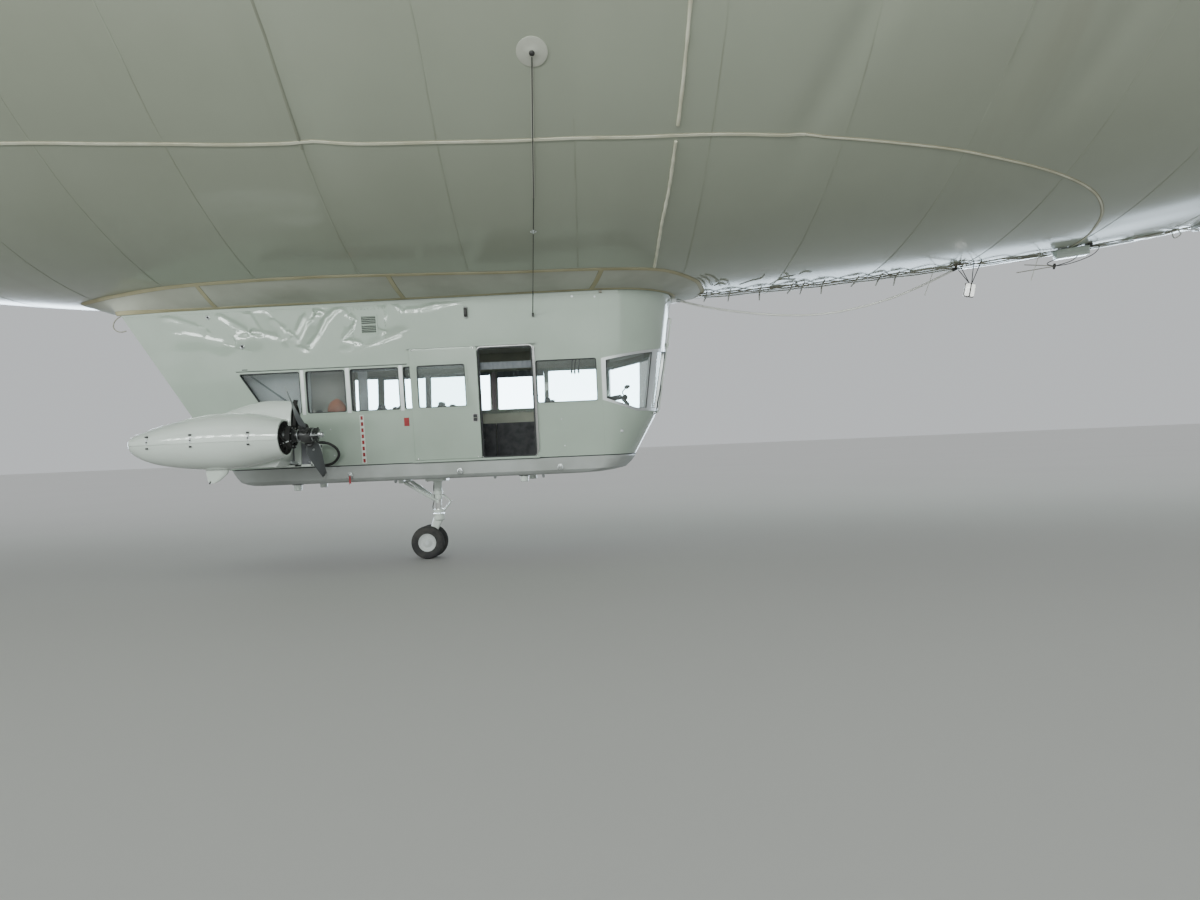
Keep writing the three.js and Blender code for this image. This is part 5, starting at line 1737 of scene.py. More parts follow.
        # A flat dark plate behind the vanes paints the shade in the louvre's openings.
        form.finish = Finish.DARK_PAINT
        self.bar(form, (low, high), (-0.012, 0.0005), aft, fore)
        form.finish = Finish.WALL_PAINT
        for k in range(10):
            z = low + 0.014 + 0.0245 * k
            self.strip(
                form,
                [(z, 0.0), (z - 0.007, 0.009), (z - 0.003, 0.011), (z + 0.006, 0.001)],
                aft + 0.008,
                fore - 0.008
            )
        rows = [(x, z) for x in (-0.48, 0.0) for z in spread(3.19, 3.69, 13)]
        rows += [(x, z) for z in (3.69, 3.20) for x in spread(-0.44, -0.04, 9)]
        self.rivets(form, rows, 0.0055)
        joints = [(tail_station(z) + 0.05, z) for z in spread(1.5, 3.7, 60)]
        joints += [(x, 3.715) for x in spread(-3.7, 3.0, 120)] + [(x, 1.5) for x in spread(-2.35, 3.0, 96)]
        joints += [(3.01, z) for z in spread(1.52, 3.7, 50)]
        self.rivets(form, joints, 0.0024)
        louvre = self.shop.shape(f"louvre_{self.side.word}", form)

    def build_fittings(self) -> None:
        """Makes the side lamp, the fuelling holes, the small plates and the red marks."""
        form = Form(Finish.GREY_PAINT)
        middle = self.place(1.165, 3.57, 0.0)
        outline = rounded(span(-0.03, 0.03, -0.085, 0.085), 0.028)
        up = Vector((0, self.side.value * LEAN, 1)).normalized()
        out = self.out()

        def lamp(steps: Sequence[Pair]) -> None:
            """Adds a part of the side lamp from pairs of its outline's share and its height."""
            flat = [AHEAD * x + up * z for x, z in outline]
            form.loft([[middle + p * (SCALE * part) + out * lift for p in flat] for part, lift in steps])

        lamp(((1.0, -0.002), (1.0, 0.012), (0.85, 0.018), (0.8, 0.012)))
        form.finish = Finish.DARK_PAINT
        lamp(((0.78, 0.010), (0.74, 0.022), (0.5, 0.028), (0.2, 0.0295)))
        form.finish = Finish.BARE_METAL
        for s, z, r in ((-2.57, 3.68, 0.016), (-2.10, 3.24, 0.017), (2.68, 3.72, 0.009), (3.0, 3.70, 0.007)):
            rim = [(-0.003, r), (0.002, r), (0.003, r * 0.85), (0.0015, r * 0.7)]
            form.turned(rim, self.place(s, z, -self.dent(s, z)), out, 18)
        form.finish = Finish.DARK_PAINT
        for s, z, r in ((-2.57, 3.68, 0.009), (-2.10, 3.24, 0.010)):
            form.turned(
                [(-0.002, r), (0.0035, r), (0.004, r * 0.6)], self.place(s, z, -self.dent(s, z)), out, 14
            )
        self.bar(form, (2.902, 2.914), (-0.001, 0.004), -2.13, -2.05)
        form.finish = Finish.RED_PAINT
        for k in range(8):
            z = 2.145 - 0.088 * k
            self.bar(form, (z - 0.027, z + 0.027), (-0.001, 0.0022), -0.452, -0.418)
        self.bar(form, (2.0, 2.12), (-0.001, 0.003), 0.18, 0.255)
        form.finish = Finish.WHITE_PAINT
        self.bar(form, (1.49, 2.185), (-0.001, 0.0012), -0.466, -0.404)
        form.finish = Finish.BARE_METAL
        for s in (-1.95, -0.9, 2.45):
            form.dome(self.place(s, 2.0), out, 0.006, 0.003, 10)
            form.dome(self.place(s + 0.03, 1.62), out, 0.006, 0.003, 10)
        form.finish = Finish.BELLY_ROPE
        for z, reach in ((3.80, 0.032), (3.76, 0.022)):
            form.block(self.place(3.085 - reach, z - 0.014, 0.0), self.place(3.085 + reach, z + 0.014, 0.035))
        hook = (
            (-3.69, 3.746), (-3.84, 3.765), (-3.947, 3.701), (-3.981, 3.616), (-3.939, 3.556),
            (-3.866, 3.538), (-3.795, 3.549)
        )
        form.tube(curve_through([self.place(s, z, -0.02) for s, z in hook], 6), 0.0042, 8)
        fittings = self.shop.shape(f"fittings_{self.side.word}", form)

    def build_doorway(self) -> None:
        """Makes the door's rails, the trim round the opening and the rod at its edge."""
        form = Form(Finish.WALL_PAINT)
        for low in (1.4662, 3.0846):
            lip, top = low + 0.006, low + 0.029
            section = [(low, -0.001), (low, 0.06), (top, 0.06), (top, 0.054), (lip, 0.054), (lip, -0.001)]
            self.strip(form, section, 0.28, 2.12)
            for s in spread(0.34, 2.06, 12):
                form.dome(self.place(s, low + 0.012, 0.06), self.out(), 0.0035, 0.002, 7)
        form.finish = Finish.BRIGHT_METAL
        soft = rounded(DOORWAY, 0.05, 7)
        form.moulding(self.place, soft, (0.004, 0.022), (-0.042, 0.007))
        form.tube([self.place(2.10, z, 0.018) for z in (1.56, 1.7, 2.4, 3.0, 3.045)], 0.007, 10)
        for z in (1.6, 2.3, 3.02):
            form.tube([self.place(2.10, z, -0.002), self.place(2.10, z, 0.02)], 0.005, 8)
        form.finish = Finish.GASKET
        form.moulding(self.place, soft, (0.014, 0.009), (-0.036, 0.009))
        trim = self.shop.shape("doorway_trim", form)

    def build(self) -> None:
        """Makes every piece of this side."""
        self.build_sheet()
        self.build_windows()
        self.build_louvre()
        self.build_fittings()
        if self.side is Side.STARBOARD:
            self.build_doorway()


@dataclass
class SlidingDoor:
    """The cabin door on its rails, pushed aft."""

    shop: Workshop
    wall: SideWall
    aft: float = 0.32
    fore: float = 1.29
    bottom: float = 1.4968
    top: float = 3.0832
    inner: float = 0.012
    outer: float = 0.052

    def build(self) -> None:
        """Makes the panel, its window's frame and its handle."""
        form = Form()
        outline = rounded(span(self.aft, self.fore, self.bottom, self.top), 0.03, 6)
        steps = (
            (0.0, self.inner), (0.0, self.outer - 0.006), (0.003, self.outer - 0.001), (0.007, self.outer)
        )
        rings = [[self.wall.place(s, z, off) for s, z in inset(outline, edge)] for edge, off in steps]
        form.loft(rings)
        tool = Form()
        pane = rounded(span(0.42, 1.11, SILL, LINTEL), 0.035)
        tool.loft([[self.wall.place(s, z, off) for s, z in pane] for off in (0.0, 0.08)])
        panel = carved(form.mesh("panel"), [tool.mesh("opening")])
        for face in panel.polygons:
            face.material_index = 1 if face.normal.y > 0.5 else 0
            face.use_smooth = True
        panel.set_sharp_from_angle(angle=math.radians(25))
        door = self.shop.piece("door_panel", panel, [Finish.WALL_PAINT, Finish.LINING], "door")
        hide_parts("cabin_door")
        form = Form(Finish.WALL_PAINT)
        form.moulding(self.wall.place, pane, (-0.002, 0.03), (self.outer - 0.001, self.outer + 0.006))
        form.finish = Finish.GASKET
        form.moulding(self.wall.place, pane, (0.01, 0.0), (self.outer - 0.028, self.outer + 0.003))
        form.finish = Finish.BRIGHT_METAL
        cup = rounded(span(1.19, 1.26, 2.02, 2.13), 0.02)
        form.moulding(self.wall.place, cup, (0.006, 0.004), (self.outer - 0.004, self.outer + 0.004))
        grip = [
            self.wall.place(s, 2.075, self.outer + off)
            for s, off in ((1.2, 0.004), (1.225, 0.02), (1.25, 0.004))
        ]
        form.tube(curve_through(grip, 5), 0.004, 8)
        for s in (self.aft + 0.05, self.fore - 0.05):
            for z in (self.bottom + 0.02, self.top - 0.02):
                form.dome(self.wall.place(s, z, self.outer), self.wall.out(), 0.006, 0.003, 9)
        form.finish = Finish.GASKET
        form.plate(
            [self.wall.place(s, z, self.outer - 0.001) for s, z in inset(cup, 0.004)],
            self.wall.out() * 0.0012
        )
        dressing = self.shop.shape("door_dressing", form, "door")


NOSE_TIPS = ((1.22, 3.0), (1.465, 3.48), (2.07, 3.83), (3.0, 4.0), (3.74, 4.11))


@dataclass
class Nose:
    """The gondola's rounded front: chin, brow, windscreen and what stands on them."""

    shop: Workshop
    start: float = 3.0506

    def tip(self, height: float) -> float:
        """The station of the nose's foremost point at a height."""
        return between(NOSE_TIPS, height)

    def point(self, angle: float, height: float, sunk: float = 0.0) -> Vector:
        """A point of the nose; angle 0 is dead ahead and grows to port.

        Args:
            angle: how far round from dead ahead, in radians.
            height: the place's height.
            sunk: how far it lies inside.

        Returns:
            The point in the model.
        """
        reach = self.tip(height) - self.start - sunk
        half = wall_half(height) - sunk
        return at(self.start + reach * math.cos(angle), half * math.sin(angle), height)

    def low(self, angle: float) -> float:
        """The glazing's lower edge at an angle."""
        station = self.start + (self.tip(2.1) - self.start) * math.cos(angle)
        return 2.08 + 0.17 * max(0.0, 1 - (station - self.start) / 0.47)

    def high(self, angle: float) -> float:
        """The glazing's upper edge at an angle."""
        return 2.84 + 0.167 * (self.tip(2.95) - self.start) * math.cos(angle)

    def shell(
        self,
        form: Form,
        bottom: Callable[[float], float],
        top: Callable[[float], float],
        sunk: Pair,
        rows: int,
        turn: Pair = (-90, 90),
        lined: Finish | None = None
    ) -> None:
        """Adds a stretch of the nose's shell between two heights and two depths.

        Args:
            form: the form to add to.
            bottom: the lower edge's height at an angle.
            top: the upper edge's height at an angle.
            sunk: how deep its outside and its inside lie.
            rows: how many rows of points it has.
            turn: the angles that it spans, in degrees.
            lined: the finish of its inside, if it has its own.
        """
        count = max(3, int((turn[1] - turn[0]) / 3) + 1)
        angles = [math.radians(a) for a in spread(*turn, count)]
        outside, inside = (
            [
                [self.point(a, bottom(a) + (top(a) - bottom(a)) * t, depth) for a in angles]
                for t in spread(0, 1, rows)
            ]
            for depth in sunk
        )
        form.slab(outside, inside, lined=lined)

    def build_shells(self) -> None:
        """Makes the chin and the brow."""
        chin = ("chin", lambda a: SHEET_FOOT, self.low, 9)
        brow = ("brow", self.high, lambda a: SHEET_TOP, 11)
        for name, bottom, top, rows in (chin, brow):
            form = Form(Finish.WALL_PAINT)
            self.shell(form, bottom, top, (0.0, 0.04), rows, lined=Finish.LINING)
            made = self.shop.shape(f"nose_{name}", form, sharp=40)
            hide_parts(f"gondola_{name}")

    def build_windscreen(self) -> None:
        """Makes the windscreen's frame, its seals and its panes."""
        form = Form(Finish.SATIN_METAL)
        low, high = self.low, self.high
        self.shell(form, lambda a: low(a) + 0.001, lambda a: low(a) + 0.04, (-0.004, 0.042), 2)
        self.shell(form, lambda a: high(a) - 0.04, lambda a: high(a) - 0.001, (-0.004, 0.042), 2)
        for middle, half in ((-88, 2), (-34.5, 4.0), (0, 1.9), (34.5, 4.0), (88, 2)):
            turn = (middle - half, middle + half)
            self.shell(form, lambda a: low(a) + 0.02, lambda a: high(a) - 0.02, (-0.007, 0.042), 6, turn)
        form.finish = Finish.GASKET
        for edge, other in ((low, 0.04), (high, -0.04)):
            line = [
                self.point(math.radians(a), edge(math.radians(a)) + other, 0.004) for a in spread(-89, 89, 60)
            ]
            form.tube(line, 0.0028, 6)
        for a in (-85.4, -39.1, -30.0, -2.3, 2.3, 30.0, 39.1, 85.4):
            turn = math.radians(a)
            heights = spread(low(turn) + 0.035, high(turn) - 0.035, 8)
            form.tube([self.point(turn, z, 0.004) for z in heights], 0.0028, 6)
        form.finish = Finish.SATIN_METAL
        for a in spread(-84, 84, 29):
            turn = math.radians(a)
            out = Vector((math.cos(turn), math.sin(turn), 0))
            for height in (low(turn) + 0.02, high(turn) - 0.02):
                form.dome(self.point(turn, height, -0.004), out, 0.003, 0.0018, 7)
        made = self.shop.shape("windscreen", form)
        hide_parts("windscreen_frame")
        form = Form(Finish.WINDOW_GLASS)
        self.shell(form, lambda a: low(a) + 0.006, lambda a: high(a) - 0.006, (0.0436, 0.0516), 8)
        panes = self.shop.shape("windscreen_panes", form)
        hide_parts("glass_cockpit")

    def build_fittings(self) -> None:
        """Makes the drain tube on the nose's edge, the wipers, the towing eyes and the probe."""
        form = Form(Finish.WHITE_PAINT)
        turn = math.radians(-6)
        drain = (
            (3.46, 0.0), (3.44, 0.03), (3.36, 0.035), (3.2, 0.03), (3.06, 0.022), (2.8, 0.02), (2.5, 0.022),
            (2.2, 0.026), (2.1, 0.03), (2.05, 0.0),
        )
        form.tube(curve_through([self.point(turn, z, -off) for z, off in drain], 5), 0.0062, 10)
        form.turned(
            [(-0.016, 0.006), (-0.012, 0.012), (0.012, 0.012), (0.016, 0.006)],
            self.point(turn, 3.06, -0.024),
            Vector((0.1, 0, 1)),
            14
        )
        form.finish = Finish.BARE_METAL
        for z in (3.36, 2.62, 2.16):
            form.turned(
                [(-0.005, 0.0085), (0.005, 0.0085)], self.point(turn, z, -0.032 if z > 3 else -0.022),
                Vector((0.1, 0, 1)), 12
            )
        for a in (-20, 20):
            turn = math.radians(a)
            pivot = self.point(turn, self.low(turn) - 0.03, -0.006)
            form.turned(
                [(-0.004, 0.012), (0.008, 0.012), (0.014, 0.006)], pivot,
                Vector((1, 0.3 * math.sin(turn), 0)), 14
            )
            blade = self.point(turn * 0.55, self.low(turn) + 0.32, -0.022)
            form.finish = Finish.DARK_PAINT
            form.tube([pivot + Vector((0.012, 0, 0)), blade], 0.0026, 7)
            form.tube(
                [blade.lerp(pivot, 0.6) + Vector((0.004, 0, 0)), blade + Vector((0.004, 0, 0.03))], 0.003, 6
            )
            form.finish = Finish.BARE_METAL
        for side in Side:
            eye = at(3.3, side.value * 0.69, 1.8)
            form.turned(
                [(-0.004, 0.012), (0.01, 0.012), (0.013, 0.008)], eye - Vector((0, side.value * 0.01, 0)),
                Vector((0.25, side.value, 0)), 14
            )
        tube = self.shop.shape("nose_fittings", form)

    def build(self) -> None:
        """Makes every piece of the nose."""
        self.build_shells()
        self.build_windscreen()
        self.build_fittings()


@dataclass
class Underbody:
    """The pan below the belt, grey with painted shade, the rear wall's details and what hangs under the
    floor.
    """

    shop: Workshop
    levels: tuple = (
        (1.22, 0.60, -2.08, 2.52, 2.9), (1.224, 0.64, -2.15, 2.6, 3.0), (1.245, 0.672, -2.24, 2.8, 3.17),
        (1.28, 0.70, -2.32, 2.95, 3.33), (1.36, 0.712, -2.38, 3.01, 3.42), (1.44, 0.72, -2.43, 3.05, 3.48),
        (1.4645, 0.72, -2.43, 3.05, 3.48)
    )

    def plan(self, half: float, tail: float, start: float, tip: float, height: float) -> list[Vector]:
        """The outline of the pan at a height, with a round front and soft rear corners.

        Args:
            half: half its width.
            tail: the station of its rear edge.
            start: the station at which its front starts to round.
            tip: its foremost station.
            height: its height.

        Returns:
            The outline's points.
        """
        front = [math.radians(a) for a in spread(-90, 90, 41)]
        points = [at(start + (tip - start) * math.cos(a), half * math.sin(a), height) for a in front]
        soft = 0.12
        for side in (1, -1):
            corner = []
            for a in spread(0, 90, 7):
                turn = math.radians(a)
                corner.append(
                    at(
                        tail + soft - soft * math.sin(turn), side * (half - soft + soft * math.cos(turn)),
                        height
                    )
                )
            points += corner if side == 1 else corner[::-1]
        return points

    def build(self) -> None:
        """Makes the pan, its rubbing strip, the tie rings and the drains."""
        # The pan's grey paints the shade under the gondola's belt.
        form = Form(Finish.PAN_PAINT)
        form.loft([self.plan(half, tail, start, tip, z) for z, half, tail, start, tip in self.levels])
        form.finish = Finish.GASKET
        belt = self.plan(0.723, -2.433, 3.05, 3.484, 1.4645)
        form.tube(belt, 0.0035, 6, looped=True)
        pan = self.shop.shape("floor_pan", form, sharp=28)
        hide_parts("gondola_floor")
        form = Form(Finish.WHITE_PAINT)
        for side in Side:
            for s in (-1.51, 1.85):
                middle = at(s, side.value * 0.52, 1.235)
                form.finish = Finish.WHITE_PAINT
                form.turned([(0.0, 0.03), (-0.05, 0.03), (-0.055, 0.024)], middle, UP, 18)
                form.finish = Finish.DARK_PAINT
                form.turned([(-0.006, 0.04), (-0.012, 0.04), (-0.013, 0.03)], middle, UP, 18)
            for s in (-0.66, 0.95, 2.4):
                spot = at(s, side.value * 0.705, 1.34)
                form.finish = Finish.BARE_METAL
                middle = spot + Vector((0, side.value * 0.012, -0.012))
                form.tube(ring(middle, AHEAD * 0.018, UP * 0.018, 24), 0.0028, 7, looped=True)
                form.block(spot - Vector((0.012, 0.006, 0.005)), spot + Vector((0.012, 0.008, 0.012)))
            form.finish = Finish.RED_PAINT
            spot = at(-0.66, side.value * 0.735, 1.315)
            tag = ((-0.006, 0), (0.006, 0), (0.009, -0.06), (0.0, -0.052), (-0.007, -0.066))
            form.plate([spot + Vector((x, 0, z)) for x, z in tag], ACROSS * 0.0012)
        for s, side in ((-0.2, 0.0), (1.3, 0.2), (2.1, -0.25)):
            form.finish = Finish.BARE_METAL
            form.turned([(0.0, 0.012), (-0.02, 0.012), (-0.03, 0.006)], at(s, side, 1.222), UP, 12)
        below = self.shop.shape("pan_fittings", form)
        form = Form(Finish.WALL_PAINT)
        slope = Vector((-WALL_RISE, 0, -TAIL_RUN)).normalized()

        def rear(side: float, height: float, off: float = 0.0) -> Vector:
            """A point at a distance off the rear wall."""
            return at(tail_station(height), side, height) + slope * off

        form.moulding(rear, rounded(span(-0.36, 0.36, 1.75, 2.6), 0.06), (0.0, 0.02), (-0.001, 0.004))
        for k in range(7):
            z = 2.85 + 0.045 * k
            vane = ((0.0, 0.0), (-0.012, 0.01), (-0.004, 0.012), (0.01, 0.001))
            form.loft([[rear(y, z + dz, off) for dz, off in vane] for y in (-0.2, 0.2)])
        for y, z in [(side * 0.62, z) for side in (-1, 1) for z in spread(1.55, 3.65, 46)]:
            form.dome(rear(y, z), slope, 0.003, 0.0018, 7)
        form.finish = Finish.RED_PAINT
        for y in (-0.3, 0.3):
            form.turned(
                [(-0.003, 0.02), (0.012, 0.02), (0.02, 0.014), (0.024, 0.006)], rear(y, 3.45), slope, 20
            )
        rear_wall = self.shop.shape("rear_details", form)


# Engines


@dataclass
class PowerUnit:
    """One engine: nacelle, scoop, outrigger, what shows of the engine, and the propeller."""

    shop: Workshop
    side: Side
    outboard: float = 1.95
    height: float = 1.88
    wall: float = 0.024
    sections: tuple = (
        (-3.15, 0.05, 0.05, 0.06), (-3.08, 0.16, 0.1, 0.16), (-2.85, 0.26, 0.18, 0.27),
        (-2.5, 0.35, 0.27, 0.34), (-2.1, 0.4, 0.34, 0.38), (-1.75, 0.4, 0.35, 0.38),
        (-1.4, 0.36, 0.32, 0.33), (-1.07, 0.27, 0.24, 0.25)
    )
    scoop: tuple = (
        (-2.2, 0.07, 0.25), (-2.0, 0.13, 0.37), (-1.85, 0.16, 0.42), (-1.5, 0.2, 0.5), (-1.25, 0.203, 0.505),
        (-1.04, 0.2, 0.49)
    )
    blade: tuple = (
        (0.06, 0.06, 0.055, 60), (0.15, 0.10, 0.05, 58), (0.24, 0.185, 0.03, 53), (0.4, 0.185, 0.024, 44),
        (0.55, 0.152, 0.018, 36), (0.7, 0.114, 0.014, 29), (0.81, 0.082, 0.011, 25), (0.858, 0.045, 0.008, 24)
    )
    lean: float = 47.0
    tip_start: float = 0.79
    hose: tuple[Triple, ...] = (
        (-1.215, 0.98, 1.72), (-1.08, 0.98, 1.80), (-0.92, 0.96, 1.81), (-0.79, 0.92, 1.74),
        (-0.755, 0.87, 1.63), (-0.85, 0.83, 1.52), (-1.0, 0.79, 1.482), (-1.16, 0.7235, 1.49),
    )
    hose_width: float = 0.019

    def spot(self, station: float, across: float, up: float) -> Vector:
        """A point by the nacelle's axis; across grows away from the gondola."""
        return at(station, self.side.value * (self.outboard + across), self.height + up)

    def rings(self, sunk: float, first: int) -> list[list[Vector]]:
        """Smooth rings of the nacelle from tail to mouth, sunk below its outside.

        Args:
            sunk: how far the rings lie below the outside.
            first: the number of the first ring that is wanted.

        Returns:
            The rings.
        """
        wide = curve_through([Vector((s, w, a)) for s, w, a, _ in self.sections], 5)
        deep = curve_through([Vector((s, b, 0)) for s, _, _, b in self.sections], 5)
        rings = []
        for (s, w, a), (_, b, _) in list(zip(wide, deep))[first:]:
            section = []
            for t in circle(48):
                rise = math.sin(t)
                deepness = max(0.01, (a if rise > 0 else b) - sunk)
                section.append(self.spot(s, max(0.01, w - sunk) * math.cos(t), deepness * rise))
            rings.append(section)
        return rings

    def scoop_rings(self, sunk: float, first: int) -> list[list[Vector]]:
        """Smooth rings of the air scoop from its tail to its mouth.

        Args:
            sunk: how far the rings lie below the outside.
            first: the number of the first ring that is wanted.

        Returns:
            The rings.
        """
        rings = []
        for s, half, ridge in curve_through([Vector(row) for row in self.scoop], 4)[first:]:
            section = []
            for t in spread(0, math.pi, 25):
                up = 0.05 + (ridge - 0.05 - sunk) * math.sin(t) ** 0.75
                section.append(self.spot(s, (half - sunk) * math.cos(t) - 0.29, up))
            rings.append(section)
        return rings

    def build_nacelle(self) -> None:
        """Makes the nacelle and scoop as open shells, with the joint's lip, latches and drain."""
        form = Form(Finish.WHITE_PAINT)
        outer = self.rings(0.0, 0)
        nub = [
            [self.spot(-3.15 - 0.012 * k, 0.0, -0.003).lerp(p, w) for p in outer[0]]
            for k, w in ((1, 0.75), (2, 0.3))
        ]
        form.cup([*nub[::-1], *outer], self.rings(self.wall, 4)[::-1], Finish.DARK_PAINT)
        form.cup(self.scoop_rings(0.0, 0), self.scoop_rings(self.wall, 8)[::-1], Finish.DARK_PAINT)
        widest = curve_through([Vector((s, w, 0)) for s, w, _, _ in self.sections], 5)[3:]
        latches = (
            (0.075, Finish.DARK_PAINT, 0.016), (0.03, Finish.BARE_METAL, 0.012),
            (-0.015, Finish.BARE_METAL, 0.011), (-0.075, Finish.DARK_PAINT, 0.014),
        )
        for sign in (1, -1):
            out = ACROSS * (sign * self.side.value)
            line = [self.spot(s, sign * (w + 0.002), -0.02) for s, w, _ in widest]
            form.band(line, [out] * len(line), 0.011, 0.0035)
            for s in (-2.77, -2.14, -1.41):
                w = between([(a, b) for a, b, _ in widest], s) + 0.004
                for up, finish, reach in latches:
                    form.finish = finish
                    low = self.spot(s - reach, sign * (w - 0.02), up - 0.011)
                    high = self.spot(s + reach, sign * (w + 0.004), up + 0.011)
                    low.y, high.y = sorted((low.y, high.y))
                    form.block(low, high)
                form.finish = Finish.BARE_METAL
                form.tube(
                    [self.spot(s, sign * (w + 0.004), 0.04), self.spot(s, sign * (w + 0.006), -0.03)],
                    0.0028,
                    7
                )
                form.finish = Finish.DARK_PAINT
                form.dome(self.spot(s, sign * (w + 0.004), 0.005), out, 0.005, 0.004)
                form.finish = Finish.WHITE_PAINT
        cuts = (
            (-0.3, -1.80, -2.16, 0.055), (-0.44, -1.86, -2.15, 0.035), (-0.53, -1.97, -2.13, 0.016),
            (-0.56, -2.04, -2.11, 0.006),
        )
        fairing = []
        for up, fore, aft, half in cuts:
            middle, reach = (fore + aft) / 2, (fore - aft) / 2
            section = []
            for t in circle(24):
                across = half * math.sin(t) * (1.15 + math.cos(t)) / 1.6
                section.append(self.spot(middle + reach * math.cos(t), across, up))
            fairing.append(section)
        form.loft(fairing)
        form.finish = Finish.DARK_PAINT
        tip = self.spot(-2.09, 0.0, -0.55)
        form.tube([tip + Vector((0, 0, 0.01)), tip - Vector((0.012, 0, 0.008))], 0.005, 8)
        form.finish = Finish.WHITE_PAINT
        for row in (6, 20, 33):
            for p in outer[row][::2]:
                out = p - self.spot(0, 0, 0)
                out.x = 0
                form.dome(p, out.normalized(), 0.0022, 0.0012, 6)
        shell = self.shop.shape(f"cowling_{self.side.word}", form, sharp=40)
        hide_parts(f"nacelle_{self.side.word}")

    def build_engine(self) -> None:
        """Makes the baffle, the gearbox, its mounts, hoses and the carrier round the shaft."""
        form = Form(Finish.SOOT)
        centre = self.spot(-1.2, 0.0, 0.0)
        mouth = self.rings(self.wall + 0.003, 0)[-1]
        heart = sum(mouth, Vector()) / len(mouth)
        steps = (
            (-0.012, 1.0), (-0.004, 1.0), (-0.002, 0.97), (-0.005, 0.93), (-0.005, 0.62), (-0.001, 0.58),
            (0.006, 0.5), (0.006, 0.3),
        )
        form.loft([[heart + (p - heart) * grow + AHEAD * dx for p in mouth] for dx, grow in steps])
        for spoke in ring(Vector(), ACROSS, UP, 18):
            form.tube(
                [heart + AHEAD * -0.002 + spoke * 0.05, heart + AHEAD * -0.003 + spoke * 0.105], 0.004, 6
            )
        gearbox = (
            (0.02, 0.062), (0.05, 0.06), (0.056, 0.05), (0.085, 0.046), (0.09, 0.036), (0.1, 0.034),
            (0.104, 0.026)
        )
        form.turned(gearbox, centre, AHEAD, 36)
        for s, r in ((0.035, 0.105), (0.045, 0.085)):
            form.tube(ring(centre + AHEAD * s, ACROSS * r, UP * r, 40), 0.004, 7, looped=True)
        form.block(self.spot(-1.98, -0.19, -0.16), self.spot(-1.21, 0.19, 0.13))
        carrier = ((0.084, 0.052), (0.118, 0.052), (0.118, 0.075), (0.084, 0.075), (0.084, 0.052))
        form.turned(carrier, centre, AHEAD, 40)
        form.finish = Finish.BARE_METAL
        for turn in circle(8):
            t = turn + math.pi / 8
            spoke = Vector((0, math.cos(t), math.sin(t)))
            form.turned([(0.118, 0.0045), (0.124, 0.0045), (0.125, 0.003)], centre + spoke * 0.0635, AHEAD, 6)
            form.dome(centre + AHEAD * 0.05 + spoke * 0.053, AHEAD, 0.0045, 0.006, 6)
        for sign, up in ((1, -0.11), (-1, -0.11), (0, -0.16)):
            form.tube(
                [self.spot(-1.15, sign * 0.16, up), self.spot(-0.975, sign * 0.13, up * 0.45)], 0.0055, 9
            )
        form.tube([self.spot(-1.09, 0.06, 0.02), self.spot(-0.985, 0.06, 0.02)], 0.034, 24)
        form.finish = Finish.SOOT
        lip = self.spot(-1.0, -0.2, 0.475)
        form.tube([lip, self.spot(-0.97, -0.05, 0.16), self.spot(-0.975, 0.0, 0.135)], 0.0105, 10)
        form.tube([self.spot(-1.05, -0.22, 0.46), lip], 0.007, 10)
        form.turned([(-0.012, 0.014), (0.012, 0.014)], lip, Vector((0.2, 0, 1)), 12)
        for route in (
            ((-1.13, 0.17, 0.06), (-1.06, 0.2, 0.02), (-1.02, 0.15, -0.08), (-1.06, 0.1, -0.13)),
            ((-1.13, -0.15, 0.1), (-1.04, -0.17, 0.12), (-1.0, -0.12, 0.08), (-1.04, -0.08, 0.02)),
            ((-1.12, 0.04, -0.19), (-1.03, 0.08, -0.17), (-1.02, 0.13, -0.11), (-1.1, 0.19, -0.06)),
        ):
            form.tube(curve_through([self.spot(*spot) for spot in route], 6), 0.0055, 8)
        made = self.shop.shape(f"gearbox_{self.side.word}", form)
        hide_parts(f"engine_{self.side.word}")

    def build_propeller(self) -> None:
        """Makes the hub with its pitch gear and the two blades."""
        form = Form(Finish.HUB_PAINT)
        middle = self.spot(-0.79, 0.0, 0.02)

        def turned_about(x: float, y: float, z: float, blade: int) -> Vector:
            """A point built with its blade pointing up, turned to the blade's place.

            Args:
                x: how far ahead.
                y: how far to the side.
                z: how far out along the blade.
                blade: the blade's number.

            Returns:
                The point in the model.
            """
            angle = math.radians(self.lean) + math.pi * blade
            flat = y * math.cos(angle) - z * math.sin(angle)
            up = y * math.sin(angle) + z * math.cos(angle)
            return middle + Vector((x, -self.side.value * flat, up)) * SCALE

